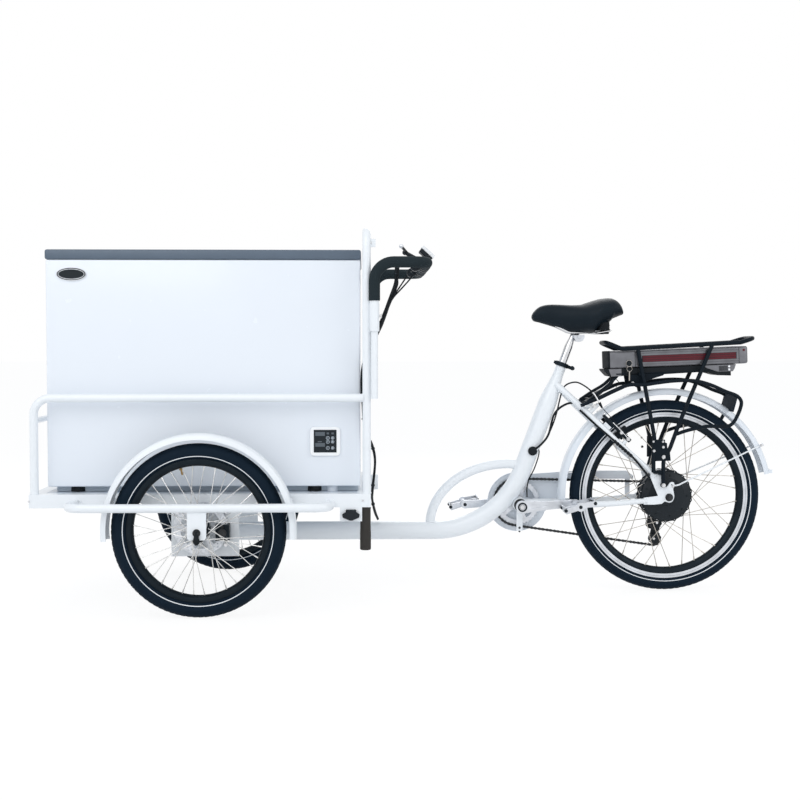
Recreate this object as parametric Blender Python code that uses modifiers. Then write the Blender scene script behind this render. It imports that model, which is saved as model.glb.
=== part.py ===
"""Ice cream tricycle: a pedal and battery cycle with a chest freezer in front.

Metres, +Z up, front towards -X, the rider's left side towards -Y.
The freezer, its platform, the push bar and the two front wheels form one unit that
steers about a kingpin on the front end of the frame tube.
"""
import math

import bmesh
import bpy
from mathutils import Matrix, Vector

# Clearances
GAP = 0.0003
RUN_GAP = 0.0005
SIDE_GAP = 0.001

# Wheels
FRONT_AXLE_X = -0.646
REAR_AXLE_X = 0.807
FRONT_TRACK = 0.84
WHEEL_STEPS = 34
FRONT_TYRE_R = 0.2535
FRONT_RIM_R = 0.2085
FRONT_RIM_DEPTH = 0.0195
REAR_TYRE_R = 0.3065
REAR_RIM_R = 0.2655
REAR_RIM_DEPTH = 0.027
TYRE_WIDTH = 0.050
TREAD_WIDTH = 0.014
RIM_WIDTH = 0.028
SPOKE_COUNT = 36
SPOKE_R = 0.001
SPOKE_TURN = 52.0
AXLE_R = 0.006
AXLE_NUT_R = 0.011
FRONT_HUB_LENGTH = 0.0994
FRONT_HUB_R = 0.016
FRONT_FLANGE_R = 0.030
FLANGE_OFFSET = 0.030
ROTOR_R = 0.080
ROTOR_THICK = 0.002
ROTOR_OFFSET = 0.0445
MOTOR_R = 0.083
MOTOR_LEFT = 0.052
MOTOR_RIGHT = 0.030
MOTOR_NECK_R = 0.030

FRONT_AXLE_Z = FRONT_TYRE_R * math.cos(math.pi / WHEEL_STEPS)
REAR_AXLE_Z = REAR_TYRE_R * math.cos(math.pi / WHEEL_STEPS)
WHEEL_Y = FRONT_TRACK / 2

# Platform that carries the freezer
PLATFORM_FRONT = -1.154
PLATFORM_REAR = -0.146
RAIL_Y = 0.330
RAIL_WIDE = 0.040
RAIL_DEEP = 0.040
RAIL_TOP = 0.350
FLOOR_THICK = 0.002
PLATE_THICK = 0.005
PLATE_AHEAD = 0.090
PLATE_BEHIND = 0.110
PLATE_DROP = 0.144
CROSS_WIDE = 0.050
CROSS_SPACING = 0.160
HEAD_R = 0.032
HEAD_DROP = 0.045
KINGPIN_R = 0.012
KINGPIN_NUT_R = 0.022
RAIL_BOTTOM = RAIL_TOP - RAIL_DEEP
RAIL_OUTER_Y = RAIL_Y + RAIL_WIDE / 2

# Guard bars outside the wheels, with the plates that hold the outer axle ends
GUARD_R = 0.011
GUARD_Y = 0.475
GUARD_Z = 0.3235
GUARD_FRONT = -1.010
GUARD_REAR = -0.266
GUARD_BEND = 0.045
DROP_PLATE_WIDE = 0.054
DROP_PLATE_BOTTOM = 0.232

# Front mudguards
FRONT_GUARD_R = 0.280
GUARD_WIDE = 0.062
GUARD_SKIRT = 0.018
SHEET = 0.002
FRONT_GUARD_START = -5.0
FRONT_GUARD_SWEEP = 191.0
GUARD_STEPS = 20

# Cargo rails and the tall hoop behind the freezer
POST_R = 0.0125
SIDE_RAIL_Z = 0.634
SIDE_RAIL_BEND = 0.048
CROSS_RAIL_Z = 0.567
CROSS_RAIL_R = 0.009
HOOP_X = -0.158
HOOP_R = 0.0118
HOOP_TOP = 1.138
HOOP_BEND = 0.045
HIGH_TAB_DROP = 0.033
HIGH_TAB_LONG = 0.024
LOW_TAB_RISE = 0.012
LOW_TAB_LONG = 0.042
SLEEVE_X = -0.1349
SLEEVE_R = 0.0145
SLEEVE_BOTTOM = 0.831
SLEEVE_TOP = 0.922

# Push bar, which slides up in the sleeves
BAR_R = 0.0105
BAR_LOWER_END = 0.632
BAR_Z = 1.036
BAR_REAR_X = 0.022
BAR_BEND = 0.057
BAR_CORNER = 0.045
FOAM_R = 0.0155
BAR_Y = 0.345
LEVER_Y = 0.110
LEVER_LENGTH = 0.105
LEVER_AHEAD = 0.052
LEVER_TILT = 37.0
LEVER_THICK = 0.009
LEVER_SWEEP = 0.0040
DISPLAY_Y = -0.045
DISPLAY_SIZE = (0.014, 0.070, 0.050)

# Freezer
FREEZER_FRONT = -1.112
FREEZER_REAR = -0.177
FREEZER_Y = 0.290
FREEZER_BOTTOM = 0.367
FREEZER_TOP = 1.045
FREEZER_WALL = 0.050
LID_THICK = 0.030
LID_LAP = 0.0025
TUB_FLOOR = 0.430
TUB_STEP_X = -0.450
TUB_STEP_Z = 0.620
LINER_THICK = 0.003
FOOT_R = 0.018
FOOT_INSET = 0.085
BAY_FRONT = -0.410
BAY_REAR = -0.200
BAY_LEFT = -0.200
BAY_BOTTOM = 0.382
BAY_TOP = 0.575
COMPRESSOR_R = 0.060
COMPRESSOR_HIGH = 0.140
PANEL_X = -0.2825
PANEL_Z = 0.502
PANEL_WIDE = 0.088
PANEL_HIGH = 0.084
PANEL_THICK = 0.006
HINGE_R = 0.006
HINGE_LENGTH = 0.060
HINGE_SPREAD = 0.560

# Steering stops and the charging socket under the platform's rear end
STOP_R = 0.0155
STOP_LENGTH = 0.129
STOP_X = -0.162
SOCKET_X = -0.205
SOCKET_WIDE = 0.066
SOCKET_HIGH = 0.042
SOCKET_THICK = 0.004
COVER_WIDE = 0.052
COVER_HIGH = 0.033
COVER_HINGE_OUT = 0.0055
COVER_HINGE_DROP = 0.0015

# Frame
TUBE_R = 0.0293
TUBE_Z = 0.193
BEND_START_X = 0.060
BEND_R = 0.306
SEAT_ANGLE = 69.5
SEAT_TUBE_TOP = 0.735
TAPER_BOTTOM = 0.605
TAPER_TOP = 0.700
SEAT_TOP_R = 0.0165
BRACE_R = 0.015
BRACE_FOOT_X = 0.047
BRACE_TOP_X = 0.300
BRACE_TOP_Z = 0.408
BB_X = 0.336
BB_Z = 0.277
BB_SHELL_R = 0.022
BB_SHELL_WIDE = 0.068
STEERER_R = 0.027
STAY_R = 0.012
STAY_END_R = 0.008
STAY_END_Y = 0.072
DROPOUT_THICK = 0.006
SEAT_STAY_X = 0.462
SEAT_STAY_Z = 0.656
COLLAR_R = 0.0215
COLLAR_HIGH = 0.014
EAR_REACH = 0.036
SEAT_LEVER_R = 0.0045
SEAT_POST_R = 0.0127
SEAT_POST_TOP = 0.815
SEAT_POST_SUNK = 0.120

# Saddle
SADDLE_NOSE_X = 0.376
SADDLE_TAIL_X = 0.670
SADDLE_WIDE = 0.200
SADDLE_NOSE_Z = 0.880
BLOCK_FRONT = 0.508
BLOCK_REAR = 0.624
BLOCK_HALF = 0.024
BLOCK_BOTTOM = 0.831
BLOCK_TOP = 0.852

# Drive
CRANK_LENGTH = 0.170
CRANK_ANGLE = 3.8
CRANK_Y = 0.086
CRANK_THICK = 0.014
CHAIN_Y = 0.052
CHAIN_R = 0.0035
RING_R = 0.077
RING_THICK = 0.004
COG_R = 0.0366
BIG_COG_R = 0.068
PEDAL_LONG = 0.100
PEDAL_WIDE = 0.085
PEDAL_HIGH = 0.026
CHAIN_GUARD_R = 0.097
CHAIN_GUARD_Y = 0.066
CHAIN_GUARD_REAR = 0.720
PULLEY_R = 0.018
UPPER_PULLEY = (REAR_AXLE_X - 0.012, 0.208)
LOWER_PULLEY = (REAR_AXLE_X - 0.022, 0.1555)

# Rear mudguard, rack and battery
REAR_GUARD_R = 0.346
REAR_GUARD_END = 12.0
REAR_GUARD_SWEEP = 170.0
REAR_GUARD_LIP = 0.012
TAIL_LIP_OUT = 0.00856
RACK_R = 0.006
RACK_HALF = 0.062
RACK_FRONT = (0.590, 0.799)
RACK_DIP = (0.651, 0.7785)
RACK_RISE = (1.012, 0.7995)
RACK_REAR = (1.079, 0.813)
LEG_TOP_FRONT = (0.701, 0.781)
LEG_TOP_REAR = (0.941, 0.795)
LEG_KNEE_FRONT = (REAR_AXLE_X - 0.050, 0.470)
LEG_KNEE_REAR = (REAR_AXLE_X + 0.031, 0.520)
LEG_FOOT_Y = 0.088
DECK_THICK = 0.004
TIE_R = 0.005
FOOT_PLATE_THICK = 0.005
BATTERY_FRONT = 0.597
BATTERY_LONG = 0.467
BATTERY_HIGH = 0.056
BATTERY_WIDE = 0.104
BATTERY_Z = 0.7145
BATTERY_TILT = 2.2
DOCK_HIGH = 0.016
LOOP_Y = 0.078

# Seat stay line and rim brake, measured along the stay from its top
BRAKE_PIVOT = 0.268
BRAKE_PAD = 0.2385
BRAKE_TIP = 0.158
BRAKE_STANDOFF = 0.030
BRAKE_ARM_Y = 0.052
PAD_GAP = 0.0025

WHITE = ((0.86, 0.88, 0.90), 0.35, 0.0)
GREY = ((0.55, 0.58, 0.61), 0.45, 0.0)
SLATE = ((0.10, 0.13, 0.17), 0.45, 0.0)
BLACK = ((0.02, 0.022, 0.025), 0.45, 0.0)
RUBBER = ((0.025, 0.025, 0.027), 0.8, 0.0)
FOAM = ((0.03, 0.032, 0.035), 0.9, 0.0)
STEEL = ((0.60, 0.61, 0.62), 0.3, 1.0)
SILVER = ((0.45, 0.46, 0.48), 0.35, 0.9)
BROWN = ((0.05, 0.03, 0.025), 0.6, 0.0)

SEAT_DIR = Vector((math.cos(math.radians(SEAT_ANGLE)), 0.0, math.sin(math.radians(SEAT_ANGLE))))


def clear_scene():
    for obj in list(bpy.data.objects):
        bpy.data.objects.remove(obj, do_unlink=True)


def new_collection(name):
    group = bpy.data.collections.new(name)
    bpy.context.scene.collection.children.link(group)
    return group


clear_scene()
PARTS = new_collection("ice_cream_tricycle")
CUTTERS = new_collection("cutters")


def finish(obj, look):
    """Give the object a material of its own."""
    colour, roughness, metallic = look
    skin = bpy.data.materials.new(obj.name + "_finish")
    skin.use_nodes = True
    shader = skin.node_tree.nodes["Principled BSDF"]
    shader.inputs["Base Color"].default_value = (*colour, 1.0)
    shader.inputs["Roughness"].default_value = roughness
    shader.inputs["Metallic"].default_value = metallic
    obj.data.materials.clear()
    obj.data.materials.append(skin)


def place(name, data, location=(0, 0, 0), rotation=(0, 0, 0), look=None):
    """Link new data as a part, or as a cutter where it has no look."""
    obj = bpy.data.objects.new(name, data)
    obj.location = location
    obj.rotation_euler = rotation
    if look is None:
        CUTTERS.objects.link(obj)
        obj.hide_render = True
        obj.display_type = "WIRE"
    else:
        PARTS.objects.link(obj)
        finish(obj, look)
    return obj


def mesh_from(name, builder):
    form = bmesh.new()
    builder(form)
    mesh = bpy.data.meshes.new(name)
    form.to_mesh(mesh)
    form.free()
    return mesh


def box(name, low, high, look=None):
    """A box between two corners, with its origin at its centre."""
    size = [b - a for a, b in zip(low, high)]
    centre = [(a + b) / 2 for a, b in zip(low, high)]
    mesh = mesh_from(
        name,
        lambda form: bmesh.ops.create_cube(form, size=1.0, matrix=Matrix.Diagonal((*size, 1.0))),
    )
    return place(name, mesh, centre, look=look)


def rod(name, start, end, radius, look=None, sides=12, end_radius=None):
    """A cylinder or cone between two points."""
    start = Vector(start)
    axis = Vector(end) - start
    second = radius if end_radius is None else end_radius
    mesh = mesh_from(
        name,
        lambda form: bmesh.ops.create_cone(
            form, cap_ends=True, segments=sides, radius1=radius, radius2=second, depth=axis.length
        ),
    )
    mesh.shade_smooth()
    mesh.set_sharp_from_angle(angle=math.radians(40))
    turn = axis.to_track_quat("Z", "Y").to_euler()
    return place(name, mesh, start + axis / 2, turn, look)


def lathe_y(name, profile, centre, steps, look=None, sweep=360.0, start=None, sheet=0.0):
    """Turn a profile of (radius, y) pairs about an axis along Y.

    A closed ring runs down its outer side, from +Y to -Y, and back up its inner side.
    A full turn has a flat facet straight below the axis, which a tyre stands on.
    """
    first = math.pi / 2 - math.pi / steps if start is None else math.radians(start)
    mesh = bpy.data.meshes.new(name)
    points = [(r * math.cos(first), -r * math.sin(first), y) for r, y in profile]
    edges = [(i, i + 1) for i in range(len(points) - 1)]
    if sheet == 0.0:
        edges.append((len(points) - 1, 0))
    mesh.from_pydata(points, edges, [])
    obj = place(name, mesh, centre, (-math.pi / 2, 0, 0), look)
    turn = obj.modifiers.new("Turn", "SCREW")
    turn.angle = -math.radians(sweep)
    turn.steps = steps
    turn.render_steps = steps
    turn.use_merge_vertices = sweep == 360.0
    turn.merge_threshold = 0.00001
    turn.use_smooth_shade = True
    if sheet:
        wall = obj.modifiers.new("Wall", "SOLIDIFY")
        wall.thickness = sheet
        wall.offset = 1.0
    turn.use_normal_flip = signed_volume(obj) < 0
    return obj


def signed_volume(obj):
    """The volume that the object's faces enclose, negative where they point inwards."""
    bpy.context.view_layer.update()
    form = bmesh.new()
    form.from_object(obj, bpy.context.evaluated_depsgraph_get())
    volume = form.calc_volume(signed=True)
    form.free()
    return volume


def rounded(points, radius, steps=5):
    """The run through the points, with each corner drawn as an arc."""
    corners = [Vector(p) for p in points]
    path = [corners[0]]
    for before, here, after in zip(corners, corners[1:], corners[2:]):
        back = (before - here).normalized()
        ahead = (after - here).normalized()
        half = back.angle(ahead) / 2
        reach = radius / math.tan(half)
        centre = here + (back + ahead).normalized() * (radius / math.sin(half))
        first = here + back * reach - centre
        last = here + ahead * reach - centre
        axis = first.cross(last).normalized()
        swing = first.angle(last)
        for i in range(steps + 1):
            path.append(centre + Matrix.Rotation(swing * i / steps, 3, axis) @ first)
    path.append(corners[-1])
    return path


def smooth_run(points, per_span=4):
    """A smooth curve through the points, read at even steps of each span."""
    knots = [Vector(p) for p in points]
    knots = [knots[0] * 2 - knots[1]] + knots + [knots[-1] * 2 - knots[-2]]
    path = []
    for a, b, c, d in zip(knots, knots[1:], knots[2:], knots[3:]):
        for i in range(per_span):
            t = i / per_span
            path.append(
                0.5 * (2 * b + (c - a) * t + (2 * a - 5 * b + 4 * c - d) * t ** 2
                       + (3 * b - a - 3 * c + d) * t ** 3)
            )
    path.append(knots[-2])
    return path


def tube(name, points, radius, look=None, sides=8, radii=None, cyclic=False):
    """A round bar along points in the object's own frame, which starts at the world origin."""
    curve = bpy.data.curves.new(name, "CURVE")
    curve.dimensions = "3D"
    curve.bevel_depth = radius
    curve.bevel_resolution = (sides - 4) // 2
    curve.use_fill_caps = not cyclic
    origin = Vector(points[0])
    spline = curve.splines.new("POLY")
    spline.points.add(len(points) - 1)
    for i, point in enumerate(points):
        spline.points[i].co = (*(Vector(point) - origin), 1.0)
        if radii:
            spline.points[i].radius = radii[i] / radius
    spline.use_cyclic_u = cyclic
    return place(name, curve, origin, look=look)


def as_mesh(obj):
    """The curve object made a mesh with welded caps, so that it can be cut or joined."""
    bpy.context.view_layer.update()
    shape = obj.evaluated_get(bpy.context.evaluated_depsgraph_get())
    mesh = bpy.data.meshes.new_from_object(shape)
    form = bmesh.new()
    form.from_mesh(mesh)
    bmesh.ops.remove_doubles(form, verts=form.verts, dist=0.000001)
    bmesh.ops.recalc_face_normals(form, faces=form.faces)
    form.to_mesh(mesh)
    form.free()
    name = obj.name
    group = obj.users_collection[0]
    where = obj.matrix_world.copy()
    hidden = obj.hide_render
    bpy.data.objects.remove(obj, do_unlink=True)
    solid = bpy.data.objects.new(name, mesh)
    solid.matrix_world = where
    solid.hide_render = hidden
    if hidden:
        solid.display_type = "WIRE"
    group.objects.link(solid)
    mesh.shade_smooth()
    mesh.set_sharp_from_angle(angle=math.radians(40))
    return solid


def bar(name, points, radius, look=None, sides=8, radii=None, cyclic=False):
    """A tube as a mesh, ready to be cut or joined."""
    return as_mesh(tube(name, points, radius, look, sides, radii, cyclic))


def outline(name, points, y, thickness, look=None, holes=()):
    """A plate in the XZ plane, centred on y; points are (x, z), holes (x, z, radius)."""
    curve = bpy.data.curves.new(name, "CURVE")
    curve.dimensions = "2D"
    curve.fill_mode = "BOTH"
    curve.extrude = thickness / 2
    x0, z0 = points[0]
    loops = [[(x - x0, z - z0) for x, z in points]]
    for x, z, radius in holes:
        loops.append(
            [(x - x0 + radius * math.cos(a), z - z0 + radius * math.sin(a))
             for a in (2 * math.pi * i / 10 for i in range(10))]
        )
    for loop in loops:
        spline = curve.splines.new("POLY")
        spline.points.add(len(loop) - 1)
        for i, (x, z) in enumerate(loop):
            spline.points[i].co = (x, z, 0.0, 1.0)
        spline.use_cyclic_u = True
    obj = place(name, curve, (x0, y, z0), (math.pi / 2, 0, 0), look)
    return as_mesh(obj)


def boolean(obj, tool, operation):
    step = obj.modifiers.new(operation.title(), "BOOLEAN")
    step.operation = operation
    step.solver = "EXACT"
    step.object = tool


def fuse(obj, *tools):
    for tool in tools:
        boolean(obj, tool, "UNION")


def cut(obj, *tools):
    for tool in tools:
        boolean(obj, tool, "DIFFERENCE")


def pivot(name, location):
    """An empty on a joint's axis, which the moving pieces hang from."""
    empty = bpy.data.objects.new(name, None)
    empty.location = location
    empty.empty_display_size = 0.05
    PARTS.objects.link(empty)
    return empty


def hang(empty, *objects):
    for obj in objects:
        obj.location = obj.location - empty.location
        obj.parent = empty


def both_sides():
    """Each side's name and sign, the rider's left first."""
    return (("left", -1.0), ("right", 1.0))


def spokes(name, hub_r, rim_r, inner_y, outer_y, centre, rim_y):
    """Laced wires as one tool: half go to each flange, leaning forward and back in turn."""
    form = bmesh.new()
    for i in range(SPOKE_COUNT):
        side = -1.0 if i % 2 else 1.0
        lean = -1.0 if (i // 2) % 2 else 1.0
        rim_angle = 2 * math.pi * (i + 0.5) / SPOKE_COUNT
        hub_angle = rim_angle + lean * math.radians(SPOKE_TURN)
        flange_y = inner_y if side > 0 else outer_y
        start = Vector((hub_r * math.cos(hub_angle), flange_y + lean * 0.0022, hub_r * math.sin(hub_angle)))
        end = Vector((rim_r * math.cos(rim_angle), side * rim_y + lean * 0.0018, rim_r * math.sin(rim_angle)))
        axis = end - start
        turn = axis.to_track_quat("Z", "Y").to_matrix().to_4x4()
        bmesh.ops.create_cone(
            form, cap_ends=True, segments=3, radius1=SPOKE_R * 1.3, radius2=SPOKE_R * 1.3,
            depth=axis.length, matrix=Matrix.Translation(start + axis / 2) @ turn
        )
    mesh = bpy.data.meshes.new(name)
    form.to_mesh(mesh)
    form.free()
    return place(name, mesh, centre)


def tyre_profile(radius, rim_r):
    half = TYRE_WIDTH / 2
    bead = RIM_WIDTH / 2
    seat = rim_r + GAP
    shoulder = radius - 0.014
    return [
        (radius, TREAD_WIDTH / 2), (radius, -TREAD_WIDTH / 2), (shoulder, -half), (seat, -bead), (seat, bead),
        (shoulder, half),
    ]


def rim_profile(radius, depth):
    half = RIM_WIDTH / 2
    return [(radius, half), (radius, -half), (radius - depth, -half * 0.6), (radius - depth, half * 0.6)]


def spoke_end(rim_r, depth):
    return (rim_r - depth) * math.cos(math.pi / WHEEL_STEPS) - GAP


def front_wheel(side, sign):
    """Tyre, rim and the hub with its spokes and brake rotor, on a spinning pivot."""
    centre = Vector((FRONT_AXLE_X, sign * WHEEL_Y, FRONT_AXLE_Z))
    spin = pivot(side + "_wheel_axis", centre)
    tyre = lathe_y(side + "_front_tyre", tyre_profile(FRONT_TYRE_R, FRONT_RIM_R), centre, WHEEL_STEPS, RUBBER)
    rim = lathe_y(side + "_front_rim", rim_profile(FRONT_RIM_R, FRONT_RIM_DEPTH), centre, WHEEL_STEPS, BLACK)
    half = FRONT_HUB_LENGTH / 2
    inboard = -sign
    hub_outline = [
        (0.012, half), (FRONT_HUB_R, FLANGE_OFFSET + 0.004), (FRONT_FLANGE_R, FLANGE_OFFSET + 0.002),
        (FRONT_FLANGE_R, FLANGE_OFFSET - 0.002), (FRONT_HUB_R, FLANGE_OFFSET - 0.005),
        (FRONT_HUB_R, -FLANGE_OFFSET + 0.005), (FRONT_FLANGE_R, -FLANGE_OFFSET + 0.002),
        (FRONT_FLANGE_R, -FLANGE_OFFSET - 0.002), (FRONT_HUB_R, -FLANGE_OFFSET - 0.004), (0.012, -half),
        (AXLE_R + RUN_GAP, -half), (AXLE_R + RUN_GAP, half),
    ]
    hub = lathe_y(side + "_front_hub", hub_outline, centre, 16, BLACK)
    rotor_y = inboard * ROTOR_OFFSET
    rotor = lathe_y(
        side + "_rotor_tool",
        [(ROTOR_R, rotor_y + ROTOR_THICK / 2), (ROTOR_R, rotor_y - ROTOR_THICK / 2),
         (0.010, rotor_y - ROTOR_THICK / 2), (0.010, rotor_y + ROTOR_THICK / 2)],
        centre, 24,
    )
    wires = spokes(
        side + "_spoke_tool", FRONT_FLANGE_R - 0.003, spoke_end(FRONT_RIM_R, FRONT_RIM_DEPTH),
        FLANGE_OFFSET, -FLANGE_OFFSET, centre, 0.004,
    )
    fuse(hub, rotor, wires)
    hang(spin, tyre, rim, hub)


def front_axle(side, sign):
    """The through axle with a nut inside the platform plate and a lever cam outside."""
    inner = sign * (RAIL_OUTER_Y - PLATE_THICK)
    outer = sign * (GUARD_Y + PLATE_THICK / 2)
    z = FRONT_AXLE_Z
    axle = rod(
        side + "_front_axle", (FRONT_AXLE_X, inner - sign * 0.010, z), (FRONT_AXLE_X, outer + sign * 0.012, z),
        AXLE_R, STEEL, 12,
    )
    nut = rod(
        side + "_axle_nut_tool", (FRONT_AXLE_X, inner - sign * (GAP + 0.008), z),
        (FRONT_AXLE_X, inner - sign * GAP, z), AXLE_NUT_R, sides=6,
    )
    cam = rod(
        side + "_axle_cam_tool", (FRONT_AXLE_X, outer + sign * GAP, z), (FRONT_AXLE_X, outer + sign * 0.010, z),
        AXLE_NUT_R, sides=12,
    )
    lever = box(
        side + "_axle_lever_tool", (FRONT_AXLE_X - 0.004, outer + sign * 0.006 - 0.003, z - 0.034),
        (FRONT_AXLE_X + 0.004, outer + sign * 0.006 + 0.003, z),
    )
    fuse(axle, nut, cam, lever)
    return axle


def platform():
    """Side and cross rails, the wheel plates, the steering head and the socket plate."""
    z0, z1 = RAIL_BOTTOM, RAIL_TOP
    frame = box("platform_frame", (PLATFORM_FRONT, -RAIL_OUTER_Y, z0), (PLATFORM_REAR, -RAIL_Y + RAIL_WIDE / 2, z1), WHITE)
    inner = RAIL_Y - RAIL_WIDE / 2
    tools = [box("far_rail_tool", (PLATFORM_FRONT, inner, z0), (PLATFORM_REAR, RAIL_OUTER_Y, z1))]
    for name, x in (("front", PLATFORM_FRONT), ("rear", PLATFORM_REAR - RAIL_WIDE)):
        tools.append(box(name + "_rail_tool", (x, -inner - 0.01, z0), (x + RAIL_WIDE, inner + 0.01, z1)))
    for name, shift in (("ahead", -0.5), ("behind", 0.5)):
        x = FRONT_AXLE_X + shift * CROSS_SPACING - CROSS_WIDE / 2
        tools.append(
            box(name + "_beam_tool", (x, -inner - 0.01, z0), (x + CROSS_WIDE, inner + 0.01, z1 - FLOOR_THICK - GAP * 2))
        )
    reach = CROSS_SPACING / 2 + 0.01
    tools.append(
        box("head_plate_tool", (FRONT_AXLE_X - reach, -0.06, z0), (FRONT_AXLE_X + reach, 0.06, z0 + 0.012))
    )
    tools.append(
        rod("head_tool", (FRONT_AXLE_X, 0, z0 + 0.011), (FRONT_AXLE_X, 0, z0 - HEAD_DROP), HEAD_R, sides=20)
    )
    for side, sign in both_sides():
        y = sorted((sign * RAIL_OUTER_Y, sign * (RAIL_OUTER_Y - PLATE_THICK)))
        tools.append(
            box(
                side + "_wheel_plate_tool", (FRONT_AXLE_X - PLATE_AHEAD, y[0], z0 - PLATE_DROP),
                (FRONT_AXLE_X + PLATE_BEHIND, y[1], z0 + 0.005),
            )
        )
    tools.append(
        box(
            "socket_plate_tool",
            (SOCKET_X - SOCKET_WIDE / 2, -RAIL_OUTER_Y, z0 - SOCKET_HIGH),
            (SOCKET_X + SOCKET_WIDE / 2, -RAIL_OUTER_Y + SOCKET_THICK, z0 + 0.005),
        )
    )
    fuse(frame, *tools)
    bore = KINGPIN_R + RUN_GAP
    cut(frame, rod("kingpin_bore", (FRONT_AXLE_X, 0, z1 + 0.1), (FRONT_AXLE_X, 0, 0.1), bore, sides=20))
    hole = AXLE_R + GAP
    cut(frame, rod("axle_bore", (FRONT_AXLE_X, -0.6, FRONT_AXLE_Z), (FRONT_AXLE_X, 0.6, FRONT_AXLE_Z), hole))
    floor = box(
        "platform_floor", (PLATFORM_FRONT + RAIL_WIDE + GAP, -inner + GAP, z1 - FLOOR_THICK - GAP),
        (PLATFORM_REAR - RAIL_WIDE - GAP, inner - GAP, z1 - GAP), GREY,
    )
    return [frame, floor]


def guard_bar(side, sign):
    """The bar that runs outside the wheel, with the plate for the outer axle end."""
    y_end = sign * (RAIL_OUTER_Y + GAP)
    y = sign * GUARD_Y
    path = rounded(
        [(GUARD_FRONT, y_end, GUARD_Z), (GUARD_FRONT, y, GUARD_Z), (GUARD_REAR, y, GUARD_Z),
         (GUARD_REAR, y_end, GUARD_Z)],
        GUARD_BEND, 3,
    )
    guard = bar(side + "_guard_bar", path, GUARD_R, WHITE, 10)
    half = DROP_PLATE_WIDE / 2
    plate = box(
        side + "_drop_plate_tool", (FRONT_AXLE_X - half, y - PLATE_THICK / 2, DROP_PLATE_BOTTOM),
        (FRONT_AXLE_X + half, y + PLATE_THICK / 2, GUARD_Z - 0.004),
    )
    fuse(guard, plate)
    cut(guard, rod(
        side + "_drop_plate_bore", (FRONT_AXLE_X, y - 0.02, FRONT_AXLE_Z), (FRONT_AXLE_X, y + 0.02, FRONT_AXLE_Z),
        AXLE_R + GAP,
    ))
    return guard


def channel_profile(radius):
    """A mudguard's section: half of it, then the mirror of that, from skirt to skirt."""
    half = GUARD_WIDE / 2
    right = [(radius - GUARD_SKIRT, half), (radius - 0.003, half - 0.004), (radius, half * 0.3)]
    left = [(r, -y) for r, y in reversed(right)]
    return right + left


def front_mudguard(side, sign):
    centre = (FRONT_AXLE_X, sign * WHEEL_Y, FRONT_AXLE_Z)
    guard = lathe_y(
        side + "_front_mudguard", channel_profile(FRONT_GUARD_R - SHEET), centre, GUARD_STEPS, WHITE,
        sweep=FRONT_GUARD_SWEEP, start=FRONT_GUARD_START, sheet=SHEET,
    )
    for end, x, in (("front", -1.0), ("rear", 1.0)):
        angle = math.radians(18.0)
        at_x = FRONT_AXLE_X + x * (FRONT_GUARD_R - 0.004) * math.cos(angle)
        at_z = FRONT_AXLE_Z + (FRONT_GUARD_R - 0.004) * math.sin(angle)
        y = sorted((sign * (RAIL_OUTER_Y + GAP), sign * (WHEEL_Y - GUARD_WIDE / 2 + 0.003)))
        tab = box(
            side + "_" + end + "_tab_tool", (at_x - 0.008, y[0], at_z - 0.010), (at_x + 0.008, y[1], at_z + 0.002)
        )
        fuse(guard, tab)
    return guard


def cargo_rail():
    """Two side rails with their front posts, and the rail across the front."""
    x_front = PLATFORM_FRONT + POST_R
    x_rear = HOOP_X - HOOP_R - GAP
    rails = []
    for side, sign in both_sides():
        y = sign * RAIL_Y
        path = rounded(
            [(x_front, y, RAIL_TOP + GAP), (x_front, y, SIDE_RAIL_Z), (x_rear, y, SIDE_RAIL_Z)], SIDE_RAIL_BEND, 4
        )
        name = "cargo_rail" if sign < 0 else "far_side_rail_tool"
        rails.append(bar(name, path, POST_R, WHITE if sign < 0 else None, 10))
    cross = bar(
        "front_cross_tool", [(x_front, -RAIL_Y, CROSS_RAIL_Z), (x_front, RAIL_Y, CROSS_RAIL_Z)], CROSS_RAIL_R, sides=8
    )
    fuse(rails[0], rails[1], cross)
    return rails[0]


def rear_hoop():
    """The tall hoop behind the freezer with the two sleeves of the push bar."""
    path = rounded(
        [(HOOP_X, -RAIL_Y, RAIL_TOP + GAP), (HOOP_X, -RAIL_Y, HOOP_TOP - HOOP_R), (HOOP_X, RAIL_Y, HOOP_TOP - HOOP_R),
         (HOOP_X, RAIL_Y, RAIL_TOP + GAP)],
        HOOP_BEND, 4,
    )
    hoop = bar("rear_hoop", path, HOOP_R, WHITE, 10)
    edge = HOOP_X + HOOP_R
    for side, sign in both_sides():
        y = sign * BAR_Y
        post_y = sign * RAIL_Y
        web_y = sorted((post_y, y))
        tab_y = sorted((post_y - sign * 0.004, post_y - sign * 0.009))
        fuse(
            hoop,
            rod(side + "_sleeve_tool", (SLEEVE_X, y, SLEEVE_BOTTOM), (SLEEVE_X, y, SLEEVE_TOP), SLEEVE_R, sides=12),
            box(
                side + "_sleeve_web_tool", (HOOP_X, web_y[0], SLEEVE_BOTTOM + 0.008),
                (SLEEVE_X, web_y[1], SLEEVE_TOP - 0.008),
            ),
            box(
                side + "_high_tab_tool", (edge - 0.004, tab_y[0], HOOP_TOP - HIGH_TAB_DROP - HIGH_TAB_LONG),
                (edge + 0.015, tab_y[1], HOOP_TOP - HIGH_TAB_DROP),
            ),
            box(
                side + "_low_tab_tool", (edge - 0.004, tab_y[0], RAIL_TOP + LOW_TAB_RISE),
                (edge + 0.016, tab_y[1], RAIL_TOP + LOW_TAB_RISE + LOW_TAB_LONG),
            ),
        )
        cut(
            hoop,
            rod(
                side + "_sleeve_bore", (SLEEVE_X, y, SLEEVE_BOTTOM - 0.01), (SLEEVE_X, y, SLEEVE_TOP + 0.01),
                BAR_R + RUN_GAP, sides=12,
            ),
        )
    return hoop


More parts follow.
